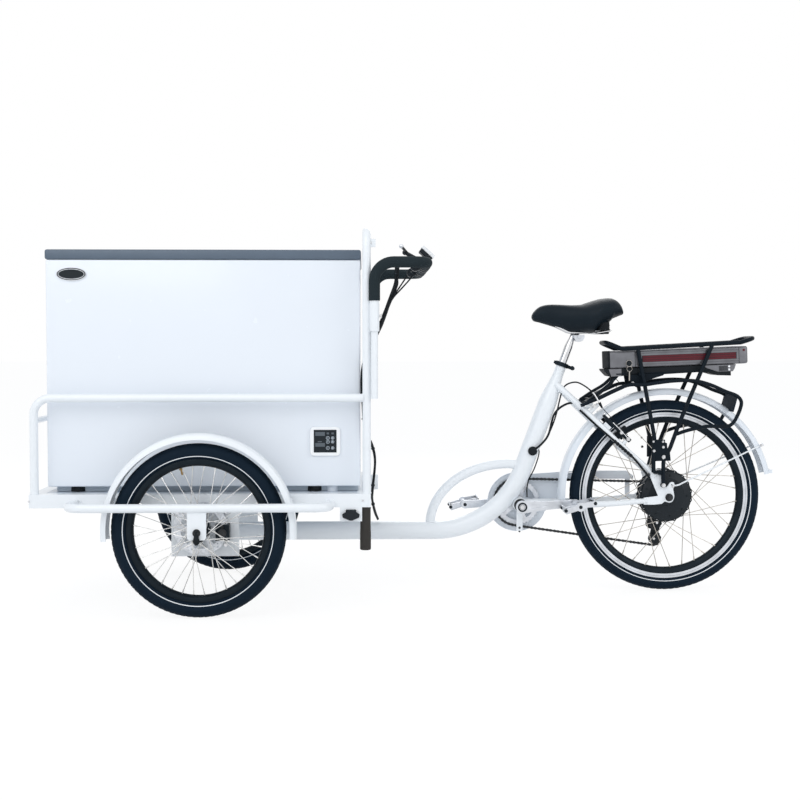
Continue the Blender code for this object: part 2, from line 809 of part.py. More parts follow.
def push_bar():
    """The U-shaped bar, its foam, the lever mounts and the display."""
    slide = pivot("push_bar_axis", (SLEEVE_X, 0, SLEEVE_TOP))
    y = BAR_Y
    corners = [(SLEEVE_X, -y, BAR_LOWER_END), (SLEEVE_X, -y, BAR_Z), (BAR_REAR_X, -y, BAR_Z), (BAR_REAR_X, y, BAR_Z),
               (SLEEVE_X, y, BAR_Z), (SLEEVE_X, y, BAR_LOWER_END)]
    path = bar_path(corners)
    handlebar = bar("push_bar", path, BAR_R, WHITE, 10)
    foam_corners = list(corners)
    foam_corners[0] = (SLEEVE_X, -y, SLEEVE_TOP + GAP)
    foam_corners[-1] = (SLEEVE_X, y, SLEEVE_TOP + GAP)
    foam = bar("bar_foam", bar_path(foam_corners), FOAM_R, FOAM, 10)
    bore_corners = list(corners)
    bore_corners[0] = (SLEEVE_X, -y, SLEEVE_TOP - 0.02)
    bore_corners[-1] = (SLEEVE_X, y, SLEEVE_TOP - 0.02)
    cut(foam, bar("foam_bore", bar_path(bore_corners), BAR_R + GAP, sides=10))
    tilt = math.radians(LEVER_TILT)
    out = Vector((-math.cos(tilt), 0, math.sin(tilt)))
    centre = Vector((BAR_REAR_X, 0, BAR_Z))
    mounts = []
    for side, sign in both_sides():
        at = centre + Vector((0, sign * LEVER_Y, 0))
        mount = rod(side + "_mount_tool", at, at + out * (LEVER_AHEAD - LEVER_SWEEP), 0.008, sides=8)
        mounts.append(mount)
        cut(foam, rod(side + "_mount_slot", at, at + out * 0.06, 0.008 + SIDE_GAP, sides=8))
    at = centre + Vector((0, DISPLAY_Y, 0))
    face = Vector((math.sin(math.radians(42)), 0, math.cos(math.radians(42))))
    stalk = rod("display_stalk_tool", at, at + face * (FOAM_R + 0.012), 0.006, sides=8)
    mounts.append(stalk)
    cut(foam, rod("display_slot", at, at + face * 0.05, 0.006 + SIDE_GAP, sides=8))
    fuse(handlebar, *mounts)
    deep, wide, high = DISPLAY_SIZE
    mesh = mesh_from(
        "display",
        lambda form: bmesh.ops.create_cube(form, size=1.0, matrix=Matrix.Diagonal((high, wide, deep, 1.0))),
    )
    display = place("display", mesh, at + face * (FOAM_R + 0.012 + GAP + deep / 2), (0, math.radians(42), 0), BLACK)
    levers = [brake_lever(side, sign, centre, out) for side, sign in both_sides()]
    for (side, sign), lever in zip(both_sides(), levers):
        hinge = pivot(side + "_lever_axis", centre + out * LEVER_AHEAD + Vector((0, sign * LEVER_Y, 0)))
        hang(hinge, lever)
        hang(slide, hinge)
    hang(slide, handlebar, foam, display)


def bar_path(corners):
    """Arcs where the bar turns back, and tighter ones where it turns across."""
    upright = rounded(corners[:3], BAR_BEND, 4)[:-1]
    middle = rounded(corners[1:5], BAR_CORNER, 3)[1:-1]
    down = rounded(corners[3:], BAR_BEND, 4)[1:]
    return upright + middle + down


def brake_lever(side, sign, centre, out):
    """A blade that runs outwards along the bar and ends in a ball."""
    start = centre + out * LEVER_AHEAD + Vector((0, sign * LEVER_Y, 0))
    elbow = start + Vector((0, sign * 0.020, 0)) + out * 0.012
    tip = start + Vector((0, sign * LEVER_LENGTH, 0)) + out * 0.004
    half = LEVER_THICK / 2
    path = smooth_run([start, elbow, tip], 4)
    radii = [half] * (len(path) - 1) + [half * 1.5]
    return tube(side + "_brake_lever", path, half, SILVER, 8, radii)


def freezer():
    """The insulated body, its liner, lid, control panel and compressor."""
    f, r, y, z0, z1 = FREEZER_FRONT, FREEZER_REAR, FREEZER_Y, FREEZER_BOTTOM, FREEZER_TOP
    shell = box("freezer_body", (f, -y, z0), (r, y, z1), WHITE)
    tub_y = y - FREEZER_WALL
    deep = ((f + FREEZER_WALL, -tub_y, TUB_FLOOR), (TUB_STEP_X, tub_y, z1))
    shallow = ((TUB_STEP_X - 0.01, -tub_y, TUB_STEP_Z), (r - FREEZER_WALL, tub_y, z1))

    def tub(name, offset, lift, look=None):
        first = box(
            name, (deep[0][0] + offset, deep[0][1] + offset, deep[0][2] + offset),
            (deep[1][0] - offset, deep[1][1] - offset, z1 + lift), look,
        )
        second = box(
            name + "_step_tool", (shallow[0][0] + offset, shallow[0][1] + offset, shallow[0][2] + offset),
            (shallow[1][0] - offset, shallow[1][1] - offset, z1 + lift),
        )
        fuse(first, second)
        return first

    cut(shell, tub("tub_cutter", 0.0, 0.02))
    liner = tub("freezer_liner", GAP, 0.0, GREY)
    cut(liner, tub("liner_cutter", GAP + LINER_THICK, 0.02))
    cut(shell, box("bay_cutter", (BAY_FRONT, BAY_LEFT, BAY_BOTTOM), (BAY_REAR, y + 0.02, BAY_TOP)))
    feet = []
    for i, x in enumerate((f + FOOT_INSET, r - FOOT_INSET)):
        for side, sign in both_sides():
            at = (x, sign * (y - 0.035))
            feet.append(
                rod(f"foot_{i}_{side}_tool", (*at, z0 + 0.002), (*at, RAIL_TOP), FOOT_R, sides=12)
            )
    brackets = []
    hinge_y = y + LID_LAP + HINGE_R + GAP
    hinge_z = z1 + GAP + HINGE_R
    mid = (f + r) / 2
    third = HINGE_LENGTH / 4
    for i in (-1, 1):
        for j in (-1, 1):
            x = sorted((mid + i * HINGE_SPREAD / 2 + j * HINGE_LENGTH / 2, mid + i * HINGE_SPREAD / 2 + j * third))
            name = f"hinge_{i + 1}_{j + 1}"
            brackets.append(rod(name + "_knuckle_tool", (x[0], hinge_y, hinge_z), (x[1], hinge_y, hinge_z), HINGE_R))
            brackets.append(
                box(name + "_arm_tool", (x[0], hinge_y - HINGE_R / 2, z1 - 0.010), (x[1], hinge_y + HINGE_R / 2, z1 + 0.003))
            )
            brackets.append(
                box(name + "_leaf_tool", (x[0], y - 0.001, z1 - 0.020), (x[1], hinge_y + HINGE_R / 2, z1 - 0.003))
            )
    fuse(shell, *feet, *brackets)
    hinge = pivot("lid_axis", (mid, hinge_y, hinge_z))
    lid = box(
        "freezer_lid", (f - LID_LAP, -y - LID_LAP, z1 + GAP), (r + LID_LAP, y + LID_LAP, z1 + GAP + LID_THICK), SLATE
    )
    soften = lid.modifiers.new("Soften", "BEVEL")
    soften.width = 0.006
    soften.segments = 2
    for i in (-1, 1):
        x = mid + i * HINGE_SPREAD / 2
        half = third - GAP
        knuckle = rod(
            f"lid_knuckle_{i + 1}_tool", (x - half, hinge_y, hinge_z), (x + half, hinge_y, hinge_z), HINGE_R
        )
        leaf = box(
            f"lid_leaf_{i + 1}_tool", (x - half, y, hinge_z + 0.001), (x + half, hinge_y, hinge_z + HINGE_R - 0.001)
        )
        fuse(lid, knuckle, leaf)
    hang(hinge, lid)
    panel = box(
        "control_panel", (PANEL_X - PANEL_WIDE / 2, -y - GAP - PANEL_THICK, PANEL_Z - PANEL_HIGH / 2),
        (PANEL_X + PANEL_WIDE / 2, -y - GAP, PANEL_Z + PANEL_HIGH / 2), WHITE,
    )
    edge = panel.modifiers.new("Edge", "BEVEL")
    edge.width = 0.002
    edge.segments = 2
    at = ((BAY_FRONT + BAY_REAR) / 2, y - 0.110)
    profile_z = BAY_BOTTOM + GAP
    pump = rod("compressor", (*at, profile_z), (*at, profile_z + COMPRESSOR_HIGH), COMPRESSOR_R, BLACK, 16)
    dome = pump.modifiers.new("Dome", "BEVEL")
    dome.width = 0.018
    dome.segments = 2
    dome.limit_method = "ANGLE"
    return [shell, liner, panel, pump, hinge]


def steering_stop(side, sign):
    """The rubber-covered peg that meets the frame tube at full lock."""
    at = (STOP_X, sign * RAIL_Y)
    top = RAIL_BOTTOM - GAP
    peg = rod(side + "_steering_stop", (*at, top), (*at, top - STOP_LENGTH), STOP_R, BROWN, 16)
    edge = peg.modifiers.new("Edge", "BEVEL")
    edge.width = 0.002
    edge.segments = 1
    edge.limit_method = "ANGLE"
    return peg


def socket_cover():
    """The flap over the charging socket, hinged along its top edge."""
    y = -RAIL_OUTER_Y - GAP
    top = RAIL_BOTTOM - 0.006
    hinge = pivot("socket_cover_axis", (SOCKET_X, y - COVER_HINGE_OUT, top - COVER_HINGE_DROP))
    half = COVER_WIDE / 2
    points = [(-half * 0.6, 0), (-half * 0.6, -0.008), (-half, -0.014), (-half * 0.94, -0.024)]
    points += [(half * 0.5 * math.cos(a), -0.024 - (COVER_HIGH - 0.024) * math.sin(a))
               for a in (math.pi * (6 - i) / 8 for i in range(5))]
    points += [(half * 0.94, -0.024), (half, -0.014), (half * 0.6, -0.008), (half * 0.6, 0)]
    flap = outline("socket_cover", [(SOCKET_X + x, top + z) for x, z in points], y - 0.004, 0.008, BROWN)
    hang(hinge, flap)
    return hinge


def caliper(side, sign):
    """The disc brake caliper, a block on the wheel plate that straddles the rotor."""
    rotor_y = sign * (WHEEL_Y - ROTOR_OFFSET)
    inner = sign * (RAIL_OUTER_Y + GAP)
    outer = rotor_y + sign * 0.013
    y = sorted((inner, outer))
    x = FRONT_AXLE_X + 0.058
    z = FRONT_AXLE_Z - 0.012
    block = box(side + "_brake_caliper", (x - 0.014, y[0], z - 0.024), (x + 0.026, y[1], z + 0.024), BLACK)
    slot = box(
        side + "_caliper_slot", (x - 0.03, rotor_y - 0.0025, z - 0.05), (FRONT_AXLE_X + ROTOR_R + 0.0015, rotor_y + 0.0025, z + 0.05)
    )
    cut(block, slot)
    return block


def kingpin():
    """The bolt that joins the frame's head sleeve to the platform's steering head."""
    top = RAIL_BOTTOM + 0.012 + GAP
    low = TUBE_Z - STEERER_R - 0.012
    pin = rod("kingpin", (FRONT_AXLE_X, 0, low - 0.012), (FRONT_AXLE_X, 0, top + 0.010), KINGPIN_R, STEEL, 20)
    head = rod("kingpin_head_tool", (FRONT_AXLE_X, 0, top), (FRONT_AXLE_X, 0, top + 0.010), KINGPIN_NUT_R, sides=6)
    nut = rod(
        "kingpin_nut_tool", (FRONT_AXLE_X, 0, low - 0.012), (FRONT_AXLE_X, 0, low - GAP), KINGPIN_NUT_R, sides=6
    )
    fuse(pin, head, nut)
    return pin


def seat_tube_point(z):
    """The point of the seat tube's centre line at a height."""
    foot_x = BEND_START_X + BEND_R * math.sin(math.radians(SEAT_ANGLE))
    foot_z = TUBE_Z + BEND_R * (1 - math.cos(math.radians(SEAT_ANGLE)))
    return Vector((foot_x, 0, foot_z)) + SEAT_DIR * ((z - foot_z) / SEAT_DIR.z)


def main_tube_run():
    """The tube's centre line and radius: level, curved up, then tapered to the seat collar."""
    path = [Vector((FRONT_AXLE_X, 0, TUBE_Z)), Vector((BEND_START_X, 0, TUBE_Z))]
    steps = 9
    for i in range(1, steps + 1):
        angle = math.radians(SEAT_ANGLE) * i / steps
        path.append(
            Vector((BEND_START_X + BEND_R * math.sin(angle), 0, TUBE_Z + BEND_R * (1 - math.cos(angle))))
        )
    radii = [TUBE_R] * len(path)
    for z, radius in ((TAPER_BOTTOM, TUBE_R), (TAPER_TOP, SEAT_TOP_R), (SEAT_TUBE_TOP, SEAT_TOP_R)):
        path.append(seat_tube_point(z))
        radii.append(radius)
    return path, radii


def brace_run():
    """A quarter of an ellipse from the level tube up to the seat tube."""
    foot_z = TUBE_Z + TUBE_R * 0.6
    path = []
    steps = 8
    for i in range(steps + 1):
        angle = math.pi / 2 * i / steps
        path.append(
            Vector((
                BRACE_TOP_X - (BRACE_TOP_X - BRACE_FOOT_X) * math.cos(angle), 0,
                foot_z + (BRACE_TOP_Z - foot_z) * math.sin(angle),
            ))
        )
    path.append(seat_tube_point(BRACE_TOP_Z - 0.004))
    return path


def main_frame():
    """The bent tube, the step brace, the bottom bracket shell and the head sleeve."""
    path, radii = main_tube_run()
    frame = bar("main_frame", path, TUBE_R, WHITE, 14, radii)
    half = BB_SHELL_WIDE / 2
    head_top = RAIL_BOTTOM - HEAD_DROP - GAP
    fuse(
        frame,
        bar("brace_tool", brace_run(), BRACE_R, sides=10),
        rod("bracket_shell_tool", (BB_X, -half, BB_Z), (BB_X, half, BB_Z), BB_SHELL_R, sides=20),
        box("bracket_tab_tool", (BB_X - 0.010, -0.012, BB_Z - 0.086), (BB_X + 0.010, -0.007, BB_Z - 0.015)),
        rod(
            "head_sleeve_tool", (FRONT_AXLE_X, 0, TUBE_Z - STEERER_R - 0.012), (FRONT_AXLE_X, 0, head_top), STEERER_R,
            sides=20,
        ),
    )
    cut(
        frame,
        rod("head_sleeve_bore", (FRONT_AXLE_X, 0, 0.1), (FRONT_AXLE_X, 0, 0.4), KINGPIN_R + RUN_GAP, sides=20),
        rod("bracket_bore", (BB_X, -0.1, BB_Z), (BB_X, 0.1, BB_Z), 0.0085 + RUN_GAP, sides=16),
        rod(
            "seat_tube_bore", seat_tube_point(SEAT_TUBE_TOP) + SEAT_DIR * 0.02,
            seat_tube_point(SEAT_TUBE_TOP) - SEAT_DIR * SEAT_POST_SUNK - SEAT_DIR * 0.1, SEAT_POST_R + RUN_GAP, sides=16,
        ),
    )
    return frame


def frame_clearance(name):
    """The frame tube a little fatter, to trim what is welded against it."""
    path, radii = main_tube_run()
    fat = [r + GAP for r in radii]
    return bar(name, path, TUBE_R + GAP, None, 14, fat)


def dropout_outline():
    """The plate round the rear axle, from its eyelets round to the two stay ends."""
    corners = [
        (-0.060, 0.066), (-0.055, 0.084), (-0.032, 0.091), (-0.024, 0.082), (-0.026, 0.038), (-0.010, 0.031),
        (0.003, 0.046), (0.014, 0.047), (0.016, 0.036), (0.012, 0.026), (0.016, 0.004), (0.011, -0.012),
        (0.000, -0.016), (-0.014, -0.012), (-0.024, -0.020), (-0.080, -0.022), (-0.080, -0.002), (-0.034, 0.004),
    ]
    return [(REAR_AXLE_X + x, REAR_AXLE_Z + z) for x, z in corners]


def seat_stay_point(along):
    """A point on the seat stay's centre line in side view, from its top."""
    foot = Vector((REAR_AXLE_X - 0.044, 0, REAR_AXLE_Z + 0.060))
    top = Vector((SEAT_STAY_X, 0, SEAT_STAY_Z))
    return top + (foot - top).normalized() * along


def stay_direction():
    return (seat_stay_point(1.0) - seat_stay_point(0.0)).normalized()


def chain_stay(name, sign, look=None, margin=0.0):
    """The stay from the bottom bracket to the dropout, which tapers to the rear."""
    path = smooth_run(
        [(BB_X + 0.012, sign * 0.026, BB_Z + 0.002), (0.455, sign * 0.046, BB_Z + 0.002),
         (0.600, sign * 0.062, BB_Z + 0.006), (REAR_AXLE_X - 0.070, sign * STAY_END_Y, REAR_AXLE_Z - 0.011)], 3
    )
    count = len(path)
    taper = [STAY_R + margin - (STAY_R - STAY_END_R) * i / (count - 1) for i in range(count)]
    return bar(name, path, STAY_R + margin, look, 8, taper)


def stays(side, sign):
    """Chain stay, seat stay and dropout of one side, welded together."""
    frame = chain_stay(side + "_stays", sign, WHITE)
    tip = Vector((REAR_AXLE_X - 0.044, sign * STAY_END_Y, REAR_AXLE_Z + 0.070))
    seat_path = smooth_run(
        [seat_stay_point(-0.012) + Vector((0, sign * 0.016, 0)), seat_stay_point(0.110) + Vector((0, sign * 0.058, 0)),
         seat_stay_point(0.250) + Vector((0, sign * 0.067, 0)), tip], 3
    )
    count = len(seat_path)
    taper = [0.0105 - (0.0105 - STAY_END_R) * i / (count - 1) for i in range(count)]
    seat_stay = bar(side + "_seat_stay_tool", seat_path, 0.0105, None, 8, taper)
    plate = outline(side + "_dropout_tool", dropout_outline(), sign * STAY_END_Y, DROPOUT_THICK)
    fuse(frame, seat_stay, plate)
    pivot_at = brake_pivot(sign)
    normal = brake_normal()
    fuse(frame, rod(
        side + "_boss_tool", pivot_at - normal * 0.030, pivot_at - normal * 0.0075, 0.006, sides=10
    ))
    cut(frame, frame_clearance(side + "_frame_trim"))
    cut(frame, rod(
        side + "_shell_trim", (BB_X, -BB_SHELL_WIDE / 2 - 0.02, BB_Z), (BB_X, BB_SHELL_WIDE / 2 + 0.02, BB_Z),
        BB_SHELL_R + GAP, sides=20,
    ))
    cut(frame, rod(
        side + "_dropout_bore", (REAR_AXLE_X, sign * 0.05, REAR_AXLE_Z), (REAR_AXLE_X, sign * 0.1, REAR_AXLE_Z),
        AXLE_R + GAP, sides=12,
    ))
    return frame


def brake_normal():
    """The direction square to the seat stay, up and to the rear."""
    along = stay_direction()
    return Vector((-along.z, 0, along.x))


def brake_pivot(sign):
    return seat_stay_point(BRAKE_PIVOT) + brake_normal() * BRAKE_STANDOFF + Vector((0, sign * 0.062, 0))


def brake_arm(side, sign):
    """A rim brake arm with its pad, on the boss behind the seat stay."""
    at = brake_pivot(sign)
    along = stay_direction()
    normal = brake_normal()
    hinge = pivot(side + "_brake_arm_axis", at)
    tip = at - along * (BRAKE_PIVOT - BRAKE_TIP)
    pad_at = at - along * (BRAKE_PIVOT - BRAKE_PAD)
    arm = rod(side + "_brake_arm", at + along * 0.010, tip, 0.007, BLACK, 8, end_radius=0.005)
    rim_face = sign * (RIM_WIDTH / 2 + PAD_GAP)
    stud = rod(side + "_pad_stud_tool", (pad_at.x, pad_at.y, pad_at.z), (pad_at.x, rim_face + sign * 0.004, pad_at.z), 0.004, sides=8)
    shoe_from = Vector((pad_at.x, rim_face, pad_at.z))
    tangent = Vector((shoe_from.z - REAR_AXLE_Z, 0, REAR_AXLE_X - shoe_from.x)).normalized()
    mesh = mesh_from(
        side + "_shoe", lambda form: bmesh.ops.create_cube(form, size=1.0, matrix=Matrix.Diagonal((0.056, 0.010, 0.009, 1.0)))
    )
    shoe = place(
        side + "_shoe_tool", mesh, shoe_from + Vector((0, sign * 0.005, 0)),
        (0, -math.atan2(tangent.z, tangent.x), 0),
    )
    fuse(arm, stud, shoe)
    boss_gap = rod(
        side + "_arm_face", at - normal * 0.0075, at - normal * 0.02, 0.02, sides=8
    )
    cut(arm, boss_gap)
    hang(hinge, arm)
    return hinge


def seat_parts():
    """The collar with its lever, the sliding post, and the saddle on it."""
    top = seat_tube_point(SEAT_TUBE_TOP)
    collar = rod("seat_collar", top - SEAT_DIR * COLLAR_HIGH, top - SEAT_DIR * 0.001, COLLAR_R, BLACK, 20)
    ear_dir = Vector((SEAT_DIR.z, 0, -SEAT_DIR.x))
    mid = top - SEAT_DIR * (COLLAR_HIGH / 2 + 0.0005)
    fuse(collar, rod(
        "collar_ear_tool", mid, mid + ear_dir * (EAR_REACH - SEAT_LEVER_R - GAP), COLLAR_HIGH / 2 - 0.0008, sides=8
    ))
    bore = (SEAT_TOP_R + GAP) / math.cos(math.pi / 16)
    cut(collar, rod("collar_bore", top - SEAT_DIR * 0.03, top + SEAT_DIR * 0.03, bore, sides=16))
    hinge_at = mid + ear_dir * EAR_REACH
    lever_axis = pivot("seat_lever_axis", hinge_at)
    lever = tube(
        "seat_lever", [hinge_at, hinge_at + Vector((0, -0.012, 0)), hinge_at + Vector((0, -0.048, 0)) - ear_dir * 0.008],
        SEAT_LEVER_R, BLACK, 8,
    )
    hang(lever_axis, lever)
    slide = pivot("seat_post_axis", top)
    post_top = seat_tube_point(SEAT_POST_TOP)
    post = rod("seat_post", top - SEAT_DIR * SEAT_POST_SUNK, post_top, SEAT_POST_R, STEEL, 16)
    clamp_at = post_top + Vector((0.020, 0, 0.0035))
    fuse(
        post,
        rod("clamp_head_tool", clamp_at + Vector((0, -0.024, 0)), clamp_at + Vector((0, 0.024, 0)), 0.0165, sides=16),
    )
    seat = saddle()
    low, high = (BLOCK_FRONT, -BLOCK_HALF, BLOCK_BOTTOM), (BLOCK_REAR, BLOCK_HALF, BLOCK_TOP)
    fuse(post, box("rail_block_tool", low, high))
    cut(seat, box(
        "rail_block_pocket", [v - GAP for v in low], [v + GAP for v in high]
    ))
    hang(slide, post, seat)
    return [collar, lever_axis, slide]


def saddle_section(x):
    """Half width, top and underside of the saddle at a station along its length."""
    t = (x - SADDLE_NOSE_X) / (SADDLE_TAIL_X - SADDLE_NOSE_X)
    stations = (
        (0.00, 0.10, 0.8905, 0.8745), (0.06, 0.20, 0.9060, 0.8660), (0.18, 0.25, 0.9190, 0.8620),
        (0.34, 0.30, 0.9195, 0.8540), (0.50, 0.44, 0.9195, 0.8440), (0.62, 0.68, 0.9260, 0.8420),
        (0.74, 0.90, 0.9360, 0.8460), (0.86, 1.00, 0.9420, 0.8600), (0.95, 0.96, 0.9320, 0.8740),
        (1.00, 0.78, 0.9060, 0.8860),
    )
    for (t0, w0, a0, b0), (t1, w1, a1, b1) in zip(stations, stations[1:]):
        if t <= t1 + 1e-9:
            u = (t - t0) / (t1 - t0)
            return [p + (q - p) * u for p, q in ((w0, w1), (a0, a1), (b0, b1))]
    return stations[-1][1:]


def saddle():
    """A crowned cushion: a loft of sections with drawn-in sides, smoothed from a coarse cage."""
    rows = 13
    around = 12
    form = bmesh.new()
    rings = []
    origin = Vector((SADDLE_NOSE_X, 0, SADDLE_NOSE_Z))
    for i in range(rows):
        x = SADDLE_NOSE_X + (SADDLE_TAIL_X - SADDLE_NOSE_X) * i / (rows - 1)
        width, top, low = saddle_section(x)
        half = width * SADDLE_WIDE / 2
        ring = []
        for j in range(around):
            angle = 2 * math.pi * (j + 0.5) / around
            y = half * math.copysign(abs(math.cos(angle)) ** 0.75, math.cos(angle))
            lift = math.sin(angle)
            if lift < 0:
                y *= 1.0 - 0.18 * abs(lift)
            z = (top + low) / 2 + (top - low) / 2 * math.copysign(abs(lift) ** 0.85, lift)
            ring.append(form.verts.new(Vector((x, y, z)) - origin))
        rings.append(ring)
    for first, second in zip(rings, rings[1:]):
        for j in range(around):
            k = (j + 1) % around
            form.faces.new((first[j], second[j], second[k], first[k]))
    form.faces.new(rings[0])
    form.faces.new(list(reversed(rings[-1])))
    bmesh.ops.recalc_face_normals(form, faces=form.faces)
    mesh = bpy.data.meshes.new("saddle")
    form.to_mesh(mesh)
    form.free()
    mesh.shade_smooth()
    seat = place("saddle", mesh, origin, look=BLACK)
    smooth = seat.modifiers.new("Smooth", "SUBSURF")
    smooth.levels = 1
    smooth.render_levels = 1
    return seat


def crank_arm(name, sign, look):
    """A crank arm as a tapered plate from the bottom bracket to the pedal eye."""
    lean = math.radians(CRANK_ANGLE)
    direction = Vector((math.cos(lean), 0, math.sin(lean))) * (-sign)
    across = Vector((-direction.z, 0, direction.x))
    centre = Vector((BB_X, 0, BB_Z))
    eye = centre + direction * CRANK_LENGTH
    corners = []
    for i in range(7):
        angle = math.pi / 2 + math.pi * i / 6
        corners.append(centre + direction * (0.019 * math.cos(angle)) + across * (0.019 * math.sin(angle)))
    corners.append(centre + direction * 0.07 - across * 0.0125)
    for i in range(7):
        angle = -math.pi / 2 + math.pi * i / 6
        corners.append(eye + direction * (0.012 * math.cos(angle)) + across * (0.012 * math.sin(angle)))
    corners.append(centre + direction * 0.07 + across * 0.0125)
    return outline(name, [(p.x, p.z) for p in corners], sign * CRANK_Y, CRANK_THICK, look), eye


def crankset():
    """Both cranks with the axle, the chainring, and the pedals that spin on their ends."""
    spin = pivot("crank_axis", (BB_X, 0, BB_Z))
    left, left_eye = crank_arm("left_crank", -1.0, SILVER)
    fuse(left, rod("crank_axle_tool", (BB_X, -CRANK_Y, BB_Z), (BB_X, CRANK_Y - CRANK_THICK / 2 - GAP, BB_Z), 0.0085, sides=16))
    right, right_eye = crank_arm("right_crank", 1.0, SILVER)
    ring_z = CHAIN_Y
    spider = rod("spider_tool", (BB_X, ring_z - RING_THICK / 2, BB_Z), (BB_X, CRANK_Y, BB_Z), 0.020, sides=16)
    ring = lathe_y(
        "chainring_tool",
        [(RING_R - CHAIN_R - SIDE_GAP, RING_THICK / 2), (RING_R - CHAIN_R - SIDE_GAP, -RING_THICK / 2),
         (0.012, -RING_THICK / 2), (0.012, RING_THICK / 2)],
        (BB_X, ring_z, BB_Z), 24,
    )
    fuse(right, spider, ring)
    cut(right, rod("right_crank_bore", (BB_X, 0, BB_Z), (BB_X, CRANK_Y - CRANK_THICK / 2, BB_Z), 0.0085 + GAP, sides=16))
    hang(spin, left, right)
    for side, sign, eye in (("left", -1.0, left_eye), ("right", 1.0, right_eye)):
        y0 = sign * (CRANK_Y + CRANK_THICK / 2 + GAP)
        axis = pivot(side + "_pedal_axis", (eye.x, y0, eye.z))
        body_from = y0 + sign * 0.012
        y = sorted((body_from, body_from + sign * PEDAL_WIDE))
        pedal = box(
            side + "_pedal", (eye.x - PEDAL_LONG / 2, y[0], eye.z - PEDAL_HIGH / 2),
            (eye.x + PEDAL_LONG / 2, y[1], eye.z + PEDAL_HIGH / 2), SILVER,
        )
        edge = pedal.modifiers.new("Edge", "BEVEL")
        edge.width = 0.008
        edge.segments = 1
        slots = []
        for i in (-1, 1):
            x = eye.x + i * PEDAL_LONG * 0.27
            slots.append(box(
                f"{side}_pedal_slot_{i + 1}", (x - PEDAL_LONG * 0.14, y[0] + 0.012, eye.z - 0.05),
                (x + PEDAL_LONG * 0.14, y[1] - 0.012, eye.z + 0.05),
            ))
        cut(pedal, *slots)
        fuse(pedal, rod(side + "_pedal_pin_tool", (eye.x, y0, eye.z), (eye.x, body_from + sign * 0.01, eye.z), 0.007, sides=10))
        hang(axis, pedal)
        hang(spin, axis)
    return spin


def belt(circles, y, step=math.radians(16)):
    """A closed loop over circles of (centre, radius, turn), where turn is +1 or -1 in the XZ plane."""
    headings = []
    for (a, ra, sa), (b, rb, sb) in zip(circles, circles[1:] + circles[:1]):
        run = b - a
        headings.append(math.atan2(run.z, run.x) + math.asin((ra * sa - rb * sb) / run.length))
    path = []
    for i, (centre, radius, turn) in enumerate(circles):
        first = headings[i - 1] - turn * math.pi / 2
        sweep = ((headings[i] - headings[i - 1]) * turn) % (2 * math.pi)
        steps = max(2, math.ceil(sweep / step))
        for j in range(steps + 1):
            angle = first + turn * sweep * j / steps
            path.append(centre + Vector((radius * math.cos(angle), y, radius * math.sin(angle))))
    return path


def chain_run():
    """The loop of the chain over the ring, the two pulleys and the cog."""
    wrap = PULLEY_R + CHAIN_R + SIDE_GAP
    circles = [
        (Vector((BB_X, 0, BB_Z)), RING_R, 1),
        (Vector((LOWER_PULLEY[0], 0, LOWER_PULLEY[1])), wrap, 1),
        (Vector((UPPER_PULLEY[0], 0, UPPER_PULLEY[1])), wrap, -1),
        (Vector((REAR_AXLE_X, 0, REAR_AXLE_Z)), COG_R, 1),
    ]
    return belt(circles, CHAIN_Y)


def drive_parts():
    """Chain, freewheel, derailleur and the guard plate beside the chain."""
    chain = tube("chain", chain_run(), CHAIN_R, BLACK, 6, cyclic=True)
    spin = pivot("freewheel_axis", (REAR_AXLE_X, CHAIN_Y, REAR_AXLE_Z))
    small = COG_R - CHAIN_R - SIDE_GAP
    y0 = MOTOR_RIGHT + RUN_GAP
    cogs = lathe_y(
        "freewheel",
        [(small, CHAIN_Y + 0.008), (small, CHAIN_Y - 0.0055), (BIG_COG_R, CHAIN_Y - 0.0065), (BIG_COG_R, y0),
         (0.0185, y0), (0.0185, CHAIN_Y + 0.008)],
        (REAR_AXLE_X, 0, REAR_AXLE_Z), 24, BLACK,
    )
    hang(spin, cogs)
    inside = CHAIN_Y + CHAIN_R + SIDE_GAP
    cage = outline("derailleur", capsule(UPPER_PULLEY, LOWER_PULLEY, 0.013), inside + 0.0015, 0.003, BLACK)
    hanger = [(REAR_AXLE_X - 0.046, REAR_AXLE_Z - 0.055), (REAR_AXLE_X - 0.046, UPPER_PULLEY[1] - 0.012)]
    tools = []
    for name, (x, z) in (("upper", UPPER_PULLEY), ("lower", LOWER_PULLEY)):
        tools.append(rod(name + "_pulley_tool", (x, CHAIN_Y - 0.003, z), (x, inside + 0.002, z), PULLEY_R - 0.001, sides=16))
    tools.append(rod(
        "knuckle_tool", (hanger[1][0] + 0.018, inside + 0.002, hanger[1][1] + 0.006),
        (hanger[1][0] + 0.018, inside + 0.020, hanger[1][1] + 0.006), 0.016, sides=12,
    ))
    link_y = inside + 0.014
    tools.append(outline(
        "link_tool",
        capsule((hanger[1][0] + 0.018, hanger[1][1] + 0.006), (REAR_AXLE_X - 0.020, REAR_AXLE_Z - 0.050), 0.013),
        link_y, 0.012,
    ))
    tools.append(rod(
        "hanger_tool", (REAR_AXLE_X - 0.018, STAY_END_Y + DROPOUT_THICK / 2 + GAP, REAR_AXLE_Z - 0.012),
        (REAR_AXLE_X - 0.018, STAY_END_Y + DROPOUT_THICK / 2 + 0.010, REAR_AXLE_Z - 0.012), 0.008, sides=12,
    ))
    tools.append(outline(
        "hanger_arm_tool", capsule((REAR_AXLE_X - 0.018, REAR_AXLE_Z - 0.012), (REAR_AXLE_X - 0.020, REAR_AXLE_Z - 0.050), 0.008),
        STAY_END_Y + DROPOUT_THICK / 2 + GAP + 0.003, 0.006,
    ))
    fuse(cage, *tools)
    guard = chain_guard()
    axle = rear_axle()
    return [chain, spin, cage, guard, axle]


